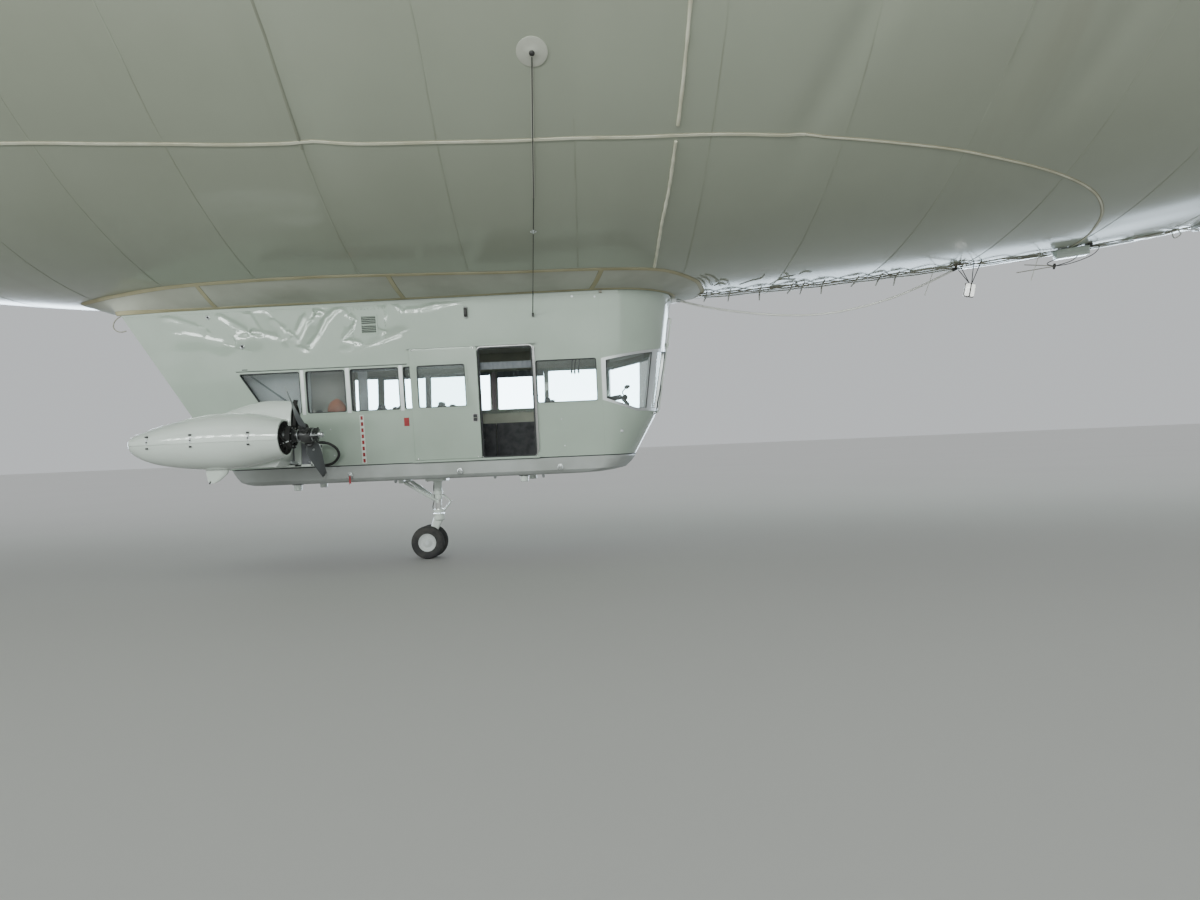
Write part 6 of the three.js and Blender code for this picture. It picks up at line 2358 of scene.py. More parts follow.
        hub = (
            (-0.0995, 0.012), (-0.0995, 0.045), (-0.08, 0.045), (-0.07, 0.03), (-0.042, 0.03),
            (-0.032, 0.046), (-0.01, 0.052), (0.012, 0.052), (0.032, 0.046), (0.038, 0.036), (0.05, 0.036),
            (0.052, 0.02)
        )
        form.turned(hub, middle, AHEAD, 40)
        for spot in ring(middle + AHEAD * -0.08, ACROSS * 0.037, UP * 0.037, 6):
            form.dome(spot, AHEAD, 0.005, 0.006, 6)
        form.turned([(0.05, 0.03), (0.058, 0.03), (0.058, 0.012)], middle, AHEAD, 24)
        for blade in (0, 1):
            for x, y in ((0.0, 0.075), (0.0, -0.075)):
                form.tube(
                    [turned_about(x + 0.03, y, 0.05, blade), turned_about(0.15, y * 0.9, 0.03, blade)],
                    0.006,
                    9
                )
            socket = ((0.05, 0.06), (0.12, 0.06), (0.125, 0.068), (0.15, 0.068), (0.155, 0.05), (0.19, 0.04))
            form.loft(
                [
                    [turned_about(r * math.cos(t), r * math.sin(t), z, blade) for t in circle(24)]
                    for z, r in socket
                ]
            )
            corners = span(-1, 1, -1, 1)
            weight = [
                turned_about(0.055 + 0.03 * a, -0.075 + 0.02 * b, 0.135 + 0.02 * a, blade) for a, b in corners
            ]
            form.plate(weight, (turned_about(0, 0, 0.06, blade) - middle) * 0.8)
        yoke = span(-0.085, 0.085, -0.05, 0.05)
        form.loft([[turned_about(x, y, z, 0) for y, z in yoke] for x in (0.13, 0.155)])
        form.finish = Finish.BARE_METAL
        nut = (
            (0.05, 0.02), (0.085, 0.02), (0.087, 0.026), (0.096, 0.026), (0.098, 0.018), (0.108, 0.018),
            (0.114, 0.01)
        )
        form.turned(nut, middle, AHEAD, 24)
        for x in (-0.052, 0.044):
            form.tube(ring(middle + AHEAD * x, ACROSS * 0.037, UP * 0.037, 36), 0.0045, 8, looped=True)
        for y, z in ((0.055, -0.05), (-0.055, 0.05)):
            form.tube([turned_about(0.02, y, z, 0), turned_about(0.185, y, z, 0)], 0.0045, 9)
        rows = curve_through([Vector(row[:3]) for row in self.blade], 6)
        pitches = curve_through([Vector((row[3], 0, 0)) for row in self.blade], 6)
        for blade in (0, 1):
            for outer in (False, True):
                rings = []
                for (far, chord, thick), pitch in zip(rows, pitches):
                    if (far > self.tip_start) == outer or abs(far - self.tip_start) < 0.02:
                        turn = math.radians(pitch.x)
                        section = []
                        for t in circle(28):
                            a = 0.5 * chord * math.cos(t)
                            b = 0.5 * thick * math.sin(t) * (1.15 + 0.55 * math.cos(t)) / 1.3
                            x = b * math.cos(turn) - a * math.sin(turn)
                            y = a * math.cos(turn) + b * math.sin(turn)
                            section.append(turned_about(x, y, far, blade))
                        rings.append(section)
                form.finish = Finish.BLADE_TIP if outer else Finish.BLADE_PAINT
                form.loft(rings)
            turn = math.radians(46)
            spot = turned_about(0.014 * math.cos(turn), 0.014 * math.sin(turn), 0.27, blade)
            face = (turned_about(math.cos(turn), math.sin(turn), 0.0, blade) - middle).normalized()
            form.finish = Finish.BARE_METAL
            form.turned([(-0.003, 0.009), (0.0012, 0.009), (0.0015, 0.006)], spot, face, 18)
        name = f"airscrew_{self.side.word}"
        made = self.shop.shape(name, form, f"propeller_{self.side.word}")
        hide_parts(f"propeller_{self.side.word}")

    def build_outrigger(self) -> None:
        """Makes the beam that carries the engine, with its fairing bead, bolts and strut."""
        form = Form(Finish.WHITE_PAINT)
        corners = [
            (-1.28, 1.5), (-1.22, 1.58), (-1.22, 1.72), (-1.30, 1.82), (-1.75, 1.79), (-1.95, 1.67),
            (-1.75, 1.5)
        ]
        outline = rounded(corners, 0.02, 4)
        form.loft([[at(s, self.side.value * y, z) for s, z in outline] for y in (0.722, 0.9, 1.2, 1.5, 1.8)])
        for y, grow in ((0.748, 0.02), (1.0, 0.006), (1.25, 0.006)):
            rings = []
            for dy, part in ((-0.012, 0.2), (-0.01, 1.0), (0.01, 1.0), (0.012, 0.2)):
                rings.append([at(s, self.side.value * (y + dy), z) for s, z in inset(outline, -grow * part)])
            form.loft(rings)
        form.finish = Finish.BARE_METAL
        for y in (0.85, 1.1, 1.35):
            for z in (1.6, 1.7):
                form.dome(at(-1.22, self.side.value * y, z), AHEAD, 0.005, 0.004, 7)
        strut = ((-1.19, 0.76, 1.62), (-1.16, 1.1, 1.5), (-1.16, 1.62, 1.56))
        form.tube([at(s, self.side.value * y, z) for s, y, z in strut], 0.011, 10)
        form.finish = Finish.BRACKET_PAINT
        bracket = rounded([(-1.24, 1.5), (-0.95, 1.5), (-0.94, 1.78), (-1.02, 1.81), (-1.24, 1.81)], 0.02, 4)
        form.loft([[at(s, self.side.value * y, z) for s, z in bracket] for y in (1.05, 1.36)])
        form.finish = Finish.WHITE_PAINT
        for low, high, base, top in ((-1.19, -1.10, 1.49, 1.86), (-0.965, -0.94, 1.49, 1.79)):
            form.block(
                at(low, self.side.value * 1.20 - 0.19, base), at(high, self.side.value * 1.20 + 0.19, top)
            )
        ledge = [(-1.19, 1.90), (-0.94, 1.775), (-0.94, 1.75), (-1.19, 1.875)]
        form.loft([[at(s, self.side.value * y, z) for s, z in ledge] for y in (0.98, 1.42)])
        form.block(
            at(-1.30, self.side.value * 1.2 - 0.19, 1.485), at(-0.93, self.side.value * 1.2 + 0.19, 1.515)
        )
        form.finish = Finish.BARE_METAL
        for s, z in ((-1.16, 1.55), (-1.0, 1.55), (-1.0, 1.73), (-1.16, 1.73)):
            form.dome(at(s, self.side.value * 1.36, z), Vector((0, self.side.value, 0)), 0.005, 0.004, 6)
        form.tube([at(-0.94, self.side.value * 1.1, 1.5), at(-0.94, self.side.value * 1.1, 1.79)], 0.004, 8)
        made = self.shop.shape(f"engine_beam_{self.side.word}", form)
        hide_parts(f"outrigger_{self.side.word}")

    def build_hose(self) -> None:
        path = curve_through([at(s, self.side.value * y, z) for s, y, z in self.hose], 8)
        form = Form(Finish.BLACK_RUBBER)
        form.tube(path, self.hose_width / 2, 12)
        form.finish = Finish.BARE_METAL
        for k in (1, -2):
            form.tube([path[k].lerp(path[k + 1], -0.6), path[k].lerp(path[k + 1], 0.6)], 0.0112, 12)
        name = f"hose_{self.side.word}"
        made = self.shop.shape(name, form)
        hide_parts(f"heater_{name}")
        length = run_length(path)

    def build(self) -> None:
        """Makes every piece of the engine but its hose, which is made first."""
        self.build_nacelle()
        self.build_engine()
        self.build_propeller()
        self.build_outrigger()


# Cabin


@dataclass
class Cabin:
    """What shows through the windows: lining, carpet, seats, console and levers."""

    shop: Workshop
    floor: float = 1.466
    ceiling: float = 3.16
    rows: tuple = (
        ("cockpit", 2.72, 0.36), ("fore", 1.15, 0.38), ("middle", 0.25, 0.38), ("aft", -0.65, 0.38)
    )
    back_height: float = 2.2

    def build_lining(self) -> None:
        """Makes the headliner, the carpet, the rear bulkhead's panel and the blinds."""
        form = Form(Finish.LINING)
        round_end = [math.radians(d) for d in spread(-88, 88, 23)]
        nose = [(3.05 + 0.86 * math.cos(a), 0.79 * math.sin(a)) for a in round_end]
        plan = [(-3.36, -0.79), *nose, (-3.36, 0.79)]
        form.loft([[at(s, y, z) for s, y in plan] for z in (self.ceiling, self.ceiling + 0.03)])
        form.finish = Finish.CARPET
        front = [math.radians(d) for d in spread(-90, 90, 17)]
        low = [
            (-2.3, -0.665), *[(2.98 + 0.28 * math.cos(a), 0.665 * math.sin(a)) for a in front], (-2.3, 0.665)
        ]
        top = self.floor + 0.012
        form.loft([[at(s, y, z) for s, y in low] for z in (self.floor, top)])
        for y in (0.6, -0.6):
            for aft, fore in ((-2.2, 1.28), (1.29, 2.08), (2.1, 3.0)):
                if y > 0 or aft != 1.29:
                    form.beam(span(aft, fore, top, 2.03), (y, y + 0.012))
        panels = (
            (
                Finish.LAVENDER_PANEL, ((-2.05, 2.1), (-1.26, 2.1), (-1.26, 2.98), (-2.42, 2.98)),
                (-0.52, -0.5)
            ),
            (
                Finish.BLIND_CLOTH, ((-2.16, 2.84), (-2.13, 2.85), (-1.58, 2.44), (-1.6, 2.42)),
                (-0.528, -0.519)
            ),
            (Finish.BROWN_PANEL, span(-1.26, -0.6, 2.1, 2.98), (-0.50, -0.48)),
            (Finish.LAVENDER_PANEL, span(-0.58, -0.44, 2.1, 2.98), (-0.42, -0.4))
        )
        for finish, corners, sides in panels:
            form.finish = finish
            form.beam(corners, sides)
        form.finish = Finish.BLIND_CLOTH
        for side in Side:
            for aft, fore, drop in ((-0.55, 0.13, 0.05), (0.22, 1.18, 0.05), (1.31, 2.06, 0.10)):
                rows = []
                for z in spread(2.86, 2.86 - drop, 5):
                    y = side.value * (wall_half(z) - 0.062)
                    rows.append(
                        [at(s, y + side.value * 0.004 * math.sin(s * 90), z) for s in spread(aft, fore, 60)]
                    )
                form.slab(rows, [[p - Vector((0, side.value * 0.002, 0)) for p in row] for row in rows])
            for s in (-0.94, 0.175, 1.245):
                posts = []
                for z in spread(2.25, 2.86, 8):
                    y = side.value * (wall_half(z) - 0.058)
                    posts.append(
                        [
                            at(s + 0.035 * u, y + side.value * 0.008 * math.cos(u * 7), z)
                            for u in spread(-1, 1, 14)
                        ]
                    )
                if s > 0:
                    form.finish = Finish.CURTAIN
                    form.slab(posts, [[p - Vector((0, side.value * 0.002, 0)) for p in row] for row in posts])
                    form.finish = Finish.BLIND_CLOTH
        made = self.shop.shape("cabin_lining", form)

    def pad(self, size: Triple, crown: float, swell: float) -> bpy.types.Mesh:
        """Blows up a soft pad by cloth simulation.

        Args:
            size: its length, width and thickness in metres of the model.
            crown: how much thicker its middle starts than its edge.
            swell: how far a point may move, in metres.

        Returns:
            The pad's mesh, centred on the origin.
        """
        half = Vector(size) / 2 - Vector((swell, swell, swell)) * 0.6
        form = Form()
        rings = []
        for part in spread(-1, 1, 9):
            edge = math.sqrt(max(0.0, 1 - abs(part) ** 4)) if abs(part) < 1 else 0.55
            outline = rounded(span(-half.x, half.x, -half.y, half.y), half.y * 0.45, 6)
            grow = 0.86 + 0.14 * edge
            rings.append([Vector((x * grow, y * grow, half.z * part)) for x, y in outline])
        form.loft(rings)
        mesh = form.mesh("pad_shape")
        made = bpy.data.objects.new("pad_shape", mesh)
        bpy.context.scene.collection.objects.link(made)
        remesh = made.modifiers.new("even", "REMESH")
        remesh.mode = "VOXEL"
        remesh.voxel_size = 0.0065
        even = bpy.data.meshes.new_from_object(made.evaluated_get(bpy.context.evaluated_depsgraph_get()))
        bpy.data.objects.remove(made)
        before = [v.co.copy() for v in even.vertices]
        blown = bpy.data.objects.new("pad_blown", even)
        bpy.context.scene.collection.objects.link(blown)
        cloth = blown.modifiers.new("cloth", "CLOTH")
        cloth.settings.use_pressure = True
        cloth.settings.uniform_pressure_force = 4.0
        cloth.settings.effector_weights.gravity = 0.0
        for number in range(1, 21):
            bpy.context.scene.frame_set(number)
        after = bpy.data.meshes.new_from_object(
            blown.evaluated_get(bpy.context.evaluated_depsgraph_get())
        )
        for vertex, start, end in zip(even.vertices, before, after.vertices):
            move = end.co - start
            vertex.co = start + move * min(1.0, swell / max(1e-9, move.length))
        bpy.data.objects.remove(blown)
        bpy.data.meshes.remove(after)
        bpy.context.scene.frame_set(1)
        limit = Vector(size) / 2
        for vertex in even.vertices:
            x, y, z = vertex.co
            channel = 0.0
            for line in (-0.33, 0.33):
                channel += math.exp(-(((y / limit.y - line) / 0.05) ** 2))
            z -= math.copysign(0.0035, z) * channel * (1 if abs(z) > limit.z * 0.4 else 0)
            z *= 1 + crown * (1 - (x / limit.x) ** 2)
            vertex.co = [min(top, max(-top, value)) for value, top in zip((x, y, z), limit)]
        even.polygons.foreach_set("use_smooth", [True] * len(even.polygons))
        return even

    def build_seats(self) -> None:
        """Makes the pads of every seat, and the frames under them."""
        kinds = {
            "base": self.pad((0.22, 0.214, 0.062), 0.12, 0.010),
            "back": self.pad((0.30, 0.205, 0.052), 0.10, 0.009),
            "headrest": self.pad((0.078, 0.114, 0.038), 0.10, 0.005),
        }
        for row, front, spacing in self.rows:
            top = self.back_height
            for number, side in enumerate((-spacing, spacing), 1):
                places = {
                    "base": (at(front - 0.25, side, self.floor + 0.375), 0.0),
                    "back": (at(front - 0.495, side, (self.floor + 0.36 + top) / 2 + 0.02), -90.0),
                    "headrest": (at(front - 0.50, side, top + 0.075), -90.0),
                }
                for kind, (middle, tilt) in places.items():
                    mesh = kinds[kind].copy()
                    mesh.transform(Matrix.Translation(middle) @ Matrix.Rotation(math.radians(tilt), 4, "Y"))
                    made = self.shop.piece(f"seat_{kind}_{row}_{number}", mesh, [Finish.SEAT_CLOTH])
            neck = top - 0.06 - self.floor

            def spot(ds: float, y: float, rise: float) -> Vector:
                """A point behind the seat's front edge and above the floor."""
                return at(front + ds, y, self.floor + rise)

            form = Form(Finish.BARE_METAL)
            for side in (-spacing, spacing):
                form.finish = Finish.BARE_METAL
                form.block(spot(-0.45, side - 0.19, 0.285), spot(-0.05, side + 0.19, 0.305))
                for ds in (-0.42, -0.08):
                    for dy in (-0.15, 0.15):
                        form.tube([spot(ds, side + dy, 0.015), spot(ds, side + dy, 0.29)], 0.006, 9)
                for y in (side - 0.15, side + 0.15):
                    form.tube([spot(-0.44, y, 0.02), spot(-0.06, y, 0.02)], 0.007, 9)
                for y in (side - 0.18, side + 0.18):
                    bend = [
                        spot(-0.05, y, 0.31), spot(-0.44, y, 0.31), spot(-0.51, y, 0.36), spot(-0.53, y, neck)
                    ]
                    form.tube(bend, 0.005, 8)
                for y in (side - 0.05, side + 0.05):
                    form.tube([spot(-0.5, y, neck), spot(-0.5, y, neck + 0.12)], 0.003, 7)
                form.finish = Finish.DARK_PAINT
                shell = []
                for z in spread(self.floor + 0.36, top - 0.01, 10):
                    shell.append(
                        [
                            at(front - 0.553 + 0.012 * math.cos(u * 1.4), side + 0.195 * u, z)
                            for u in spread(-1, 1, 13)
                        ]
                    )
                form.slab(shell, [[p + AHEAD * 0.004 for p in line] for line in shell])
            frame_piece = self.shop.shape(f"seat_frames_{row}", form)
            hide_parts(f"seats_{row}")

    def build_console(self) -> None:
        """Makes the instrument desk with its dials, the pedestal, the levers and the sun visor."""
        form = Form(Finish.DARK_PAINT)
        desk = rounded(
            [(2.97, self.floor), (3.25, self.floor), (3.29, 1.98), (3.12, 2.125), (3.02, 2.09), (3.0, 2.0)],
            0.03,
            4
        )
        form.loft([[at(s, y, z) for s, z in desk] for y in (-0.41, -0.2, 0.2, 0.41)])
        form.block(at(2.76, -0.09, self.floor), at(2.99, 0.09, 1.94))
        hood = (
            (2.96, 2.22), (3.1, 2.30), (3.3, 2.33), (3.42, 2.20), (3.40, 2.18), (3.29, 2.305), (3.1, 2.28),
            (2.97, 2.19)
        )
        rings = []
        for y in spread(-0.45, 0.45, 15):
            rings.append([at(s, y * (1 + 0.5 * (3.3 - s)), z + 0.02 * math.cos(y * 3)) for s, z in hood])
        form.loft(rings)
        facing = Vector((-1, 0, 0.1))
        for y in (-0.3, -0.12, 0.12, 0.3):
            for z in (1.86, 1.99):
                centre = at(2.985, y, z)
                form.finish = Finish.BARE_METAL
                form.turned(
                    [(-0.002, 0.034), (0.006, 0.034), (0.007, 0.03), (0.003, 0.028)], centre, facing, 28
                )
                form.finish = Finish.DIAL_FACE
                form.turned([(0.0, 0.027), (0.0035, 0.027), (0.0036, 0.002)], centre, facing, 28)
        for y, z in ((0.03, 1.95), (-0.03, 1.95), (0.06, 1.95)):
            form.finish = Finish.BARE_METAL
            form.tube([at(2.88, y, z), at(2.84, y, z + 0.13)], 0.003, 8)
            form.finish = Finish.DARK_PAINT
            form.turned([(-0.01, 0.005), (0.0, 0.009), (0.01, 0.005)], at(2.84, y, z + 0.14), UP, 12)
        for y in (-0.36, 0.36):
            form.finish = Finish.BARE_METAL
            form.tube([at(2.96, y, 1.75), at(2.86, y, 1.82)], 0.006, 9)
            form.finish = Finish.DARK_PAINT
            turns = spread(-0.6, math.pi + 0.6, 24)
            wheel = [Vector((0.012 * math.sin(t), 0.062 * math.cos(t), 0.06 * math.sin(t))) for t in turns]
            form.tube([at(2.86, y, 1.84) + p for p in wheel], 0.006, 9)
            form.tube([at(2.86, y, 1.82), at(2.86, y, 1.96)], 0.005, 8)
        for s, y in ((2.62, -0.45), (2.66, -0.38), (2.72, -0.42)):
            form.tube(
                curve_through([at(s, y, 3.14), at(s + 0.01, y, 2.98), at(s - 0.02, y, 2.72)], 5), 0.004, 8
            )
            form.turned([(-0.014, 0.005), (0.0, 0.0085), (0.014, 0.005)], at(s - 0.02, y, 2.7), UP, 12)
        stalk = curve_through(
            [at(3.35, -0.5, 2.12), at(3.38, -0.52, 2.25), at(3.33, -0.48, 2.36), at(3.4, -0.46, 2.44)], 6
        )
        form.tube(stalk, 0.004, 8)
        form.turned([(-0.02, 0.01), (0.0, 0.016), (0.02, 0.008)], stalk[-1], Vector((1, 0.2, 0.3)), 14)
        form.turned([(-0.015, 0.012), (0.0, 0.02), (0.018, 0.014)], stalk[8], Vector((0.2, 1, 0.3)), 14)
        form.finish = Finish.PALE_PANEL
        for side in Side:
            corners = [(3.2, 0.72, 2.87), (3.68, 0.5, 2.99), (3.66, 0.42, 2.90), (3.16, 0.63, 2.79)]
            form.plate([at(s, side.value * y, z) for s, y, z in corners], Vector((0, 0, 0.003)))
        made = self.shop.shape("console_desk", form)
        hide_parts("instrument_console")

    def build_bag(self) -> None:
        """Makes the orange kit bag that lies on the rear shelf, and the shelf."""
        form = Form(Finish.PALE_PANEL)
        form.block(at(-1.6, -0.68, 2.05), at(-0.66, -0.44, 2.075))
        form.tube([at(-1.5, -0.6, self.floor), at(-1.5, -0.6, 2.05)], 0.006, 8)
        form.tube([at(-0.72, -0.6, self.floor), at(-0.72, -0.6, 2.05)], 0.006, 8)
        shelf = self.shop.shape("rear_shelf", form)
        form = Form(Finish.ORANGE_CLOTH)
        rings = []
        for t in spread(0.03, 0.97, 13):
            reach = math.sin(math.pi * t) ** 0.55
            section = []
            for a in circle(28):
                lump = 1 + 0.07 * noise.noise(Vector((3 * math.cos(a), 3 * math.sin(a), t * 5)))
                y, z = 0.09 * reach * math.cos(a) * lump, 0.2 * reach * math.sin(a) * lump
                section.append(at(-1.0 + 0.3 * t, -0.57 + y, max(2.077, 2.25 + z - 0.05 * (t - 0.5))))
            rings.append(section)
        form.loft(rings)
        bag = self.shop.shape("kit_bag", form, sharp=60)

    def build(self) -> None:
        """Makes every piece of the cabin."""
        self.build_lining()
        self.build_seats()
        self.build_console()
        self.build_bag()


# Landing gear


@dataclass
class LandingGear:
    """The single leg under the cabin: strut, castoring fork and twin wheels."""

    shop: Workshop
    station: float = 0.45
    wheel_station: float = 0.29
    wheel_height: float = 0.25
    wheel_side: float = 0.135

    def build_strut(self) -> None:
        """Makes the mounting plate, the strut with its collar, the braces and the torque links."""
        form = Form(Finish.WHITE_PAINT)
        square = rounded(span(-0.16, 0.16, -0.16, 0.16), 0.04)
        form.loft([[at(self.station + x, y, z) for x, y in square] for z in (1.218, 1.175)])
        top = at(self.station, 0.0, 1.22)
        barrel = (
            (0.018, 0.044), (0.026, 0.044), (0.032, 0.034), (0.044, 0.030), (0.098, 0.030), (0.102, 0.035),
            (0.126, 0.035), (0.130, 0.030), (0.160, 0.030), (0.165, 0.026),
        )
        collar = ((0.238, 0.026), (0.241, 0.044), (0.266, 0.044), (0.269, 0.038), (0.27, 0.026))
        for profile in (barrel, collar):
            form.turned(profile, top, DOWN, 36)
        for side in (-1, 1):
            start, end = at(-0.05, side * 0.2, 1.2), at(self.station, side * 0.068, 0.86)
            brace = [start, *(start.lerp(end, part) for part in (0.08, 0.1, 0.88, 0.9)), end]
            form.tube(brace, lambda part: 0.0125 if 0.25 < part < 0.75 else 0.0088, 14)
            form.block(at(-0.09, side * 0.2 - 0.035, 1.16), at(-0.01, side * 0.2 + 0.035, 1.222))
            form.turned([(-0.008, 0.011), (0.008, 0.011)], end, Vector((0, side, 0)), 16)
        links = [at(self.station + ds, 0.0, z) for ds, z in ((0.065, 0.96), (0.19, 0.85), (0.08, 0.72))]
        for a, b in zip(links, links[1:]):
            for side in (-1, 1):
                wide, slim = Vector((0, side * 0.024, 0)), Vector((0, side * 0.008, 0))
                first, last = (wide, slim) if a is links[0] else (slim, wide)
                form.tube([a + first, b + last], 0.005, 9)
        form.finish = Finish.BRIGHT_METAL
        form.turned([(0.160, 0.0235), (0.245, 0.0235)], top, DOWN, 36)
        for link in links:
            form.tube([link - Vector((0, 0.03, 0)), link + Vector((0, 0.03, 0))], 0.0042, 10)
        for x in (-0.125, 0.125):
            for y in (-0.125, 0.0, 0.125):
                form.dome(at(self.station + x, y, 1.175), DOWN, 0.0075, 0.006, 6)
        form.finish = Finish.BLACK_RUBBER
        hose = (
            (0.07, 0.05, 1.18), (0.085, 0.06, 1.05), (0.075, 0.04, 0.9), (0.1, 0.03, 0.78), (0.085, 0.0, 0.71)
        )
        form.tube(curve_through([at(self.station - ds, y, z) for ds, y, z in hose], 6), 0.0035, 8)
        strut = self.shop.shape("gear_strut", form)
        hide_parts("gear_leg")

    def build_fork(self) -> None:
        """Makes the castoring crown, its trailing arm and the bearing that holds the axle."""
        form = Form(Finish.WHITE_PAINT)
        crown = at(self.station, 0.0, 0.679)
        cap = (
            (0.001, 0.030), (0.001, 0.044), (0.010, 0.045), (0.014, 0.041), (0.046, 0.041), (0.052, 0.036),
            (0.058, 0.026)
        )
        form.turned(cap, crown, DOWN, 36)
        start, end = at(self.station - 0.01, 0.0, 0.61), at(self.wheel_station, 0.0, self.wheel_height)
        ahead = (end - start).normalized()
        deep = ahead.cross(ACROSS)
        rings = []
        for part, wide, thick in (
            (0.0, 0.026, 0.036), (0.25, 0.023, 0.032), (0.6, 0.021, 0.028), (1.0, 0.024, 0.030)
        ):
            section = []
            for t in circle(32):
                y = wide * math.copysign(abs(math.cos(t)) ** 0.6, math.cos(t))
                z = thick * math.copysign(abs(math.sin(t)) ** 0.6, math.sin(t))
                section.append(start.lerp(end, part) + ACROSS * y + deep * z)
            rings.append(section)
        form.loft(rings)
        bearing = (
            (-0.030, 0.0133), (-0.030, 0.031), (-0.027, 0.035), (0.027, 0.035), (0.030, 0.031),
            (0.030, 0.0133)
        )
        form.turned(bearing, end, ACROSS, 36, hollow=True)
        form.finish = Finish.BARE_METAL
        for turn in circle(8):
            form.dome(
                crown + Vector((0.0365 * math.cos(turn), 0.0365 * math.sin(turn), -0.049)),
                DOWN,
                0.004,
                0.004,
                6
            )
        form.turned(
            [(0.0, 0.0035), (0.004, 0.0035), (0.006, 0.002), (0.009, 0.0025)], end + DOWN * 0.034, DOWN, 8
        )
        fork = self.shop.shape("castor_fork", form, "gear_fork")
        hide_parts("gear_fork")

    def build_wheels(self) -> None:
        """Makes the two treaded tyres, their rims and the axle."""
        form = Form(Finish.TYRE_RUBBER)
        middle = at(self.wheel_station, 0.0, self.wheel_height)
        shoulder = (
            (0.042, 0.128), (0.052, 0.145), (0.059, 0.175), (0.0595, 0.2), (0.055, 0.224), (0.046, 0.238),
            (0.038, 0.2435), (0.034, 0.2445), (0.033, 0.238), (0.028, 0.238), (0.027, 0.2465),
            (0.016, 0.2485), (0.015, 0.2415), (0.010, 0.2415), (0.009, 0.2495)
        )
        face = (
            (-0.046, 0.024), (-0.046, 0.05), (-0.03, 0.056), (-0.02, 0.075), (-0.024, 0.108), (-0.042, 0.122),
            (-0.047, 0.134), (-0.043, 0.136), (-0.038, 0.126),
        )
        tyre = [(-a, r) for a, r in shoulder] + [(a, r) for a, r in reversed(shoulder)]
        rim = [*face, *((-a, r) for a, r in reversed(face))]
        for side in (-1, 1):
            centre = middle + ACROSS * (side * self.wheel_side * SCALE)
            form.finish = Finish.TYRE_RUBBER
            form.turned([(a * SCALE, r * SCALE) for a, r in tyre], centre, ACROSS, 72, hollow=True)
            form.finish = Finish.GREY_PAINT
            form.turned([(a * SCALE, r * SCALE) for a, r in rim], centre, ACROSS, 48, hollow=True)
            form.finish = Finish.BARE_METAL
            for spot in ring(centre + ACROSS * (side * 0.0105), AHEAD * 0.041, UP * 0.041, 8):
                form.dome(spot, ACROSS * side, 0.0045, 0.006, 6)
            stem = centre + Vector((0.05, side * 0.012, 0.0))
            form.tube([stem, stem + Vector((-0.003, side * 0.012, 0))], 0.0022, 7)
        form.finish = Finish.BARE_METAL
        axle = ((-0.1, 0.007), (-0.1, 0.0115), (-0.097, 0.0125), (0.097, 0.0125), (0.1, 0.0115), (0.1, 0.007))
        form.turned(axle, middle, ACROSS, 24)
        for side in (-1, 1):
            form.turned(
                [(0.0, 0.0165), (0.008, 0.0165), (0.009, 0.015)], middle + ACROSS * (side * 0.0905),
                ACROSS * side, 6
            )
        wheels = self.shop.shape("twin_wheels", form, "gear_wheels")
        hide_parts("gear_wheels")

    def build(self) -> None:
        """Makes every piece of the gear."""
        self.build_strut()
        self.build_fork()
        self.build_wheels()


# Tail surfaces


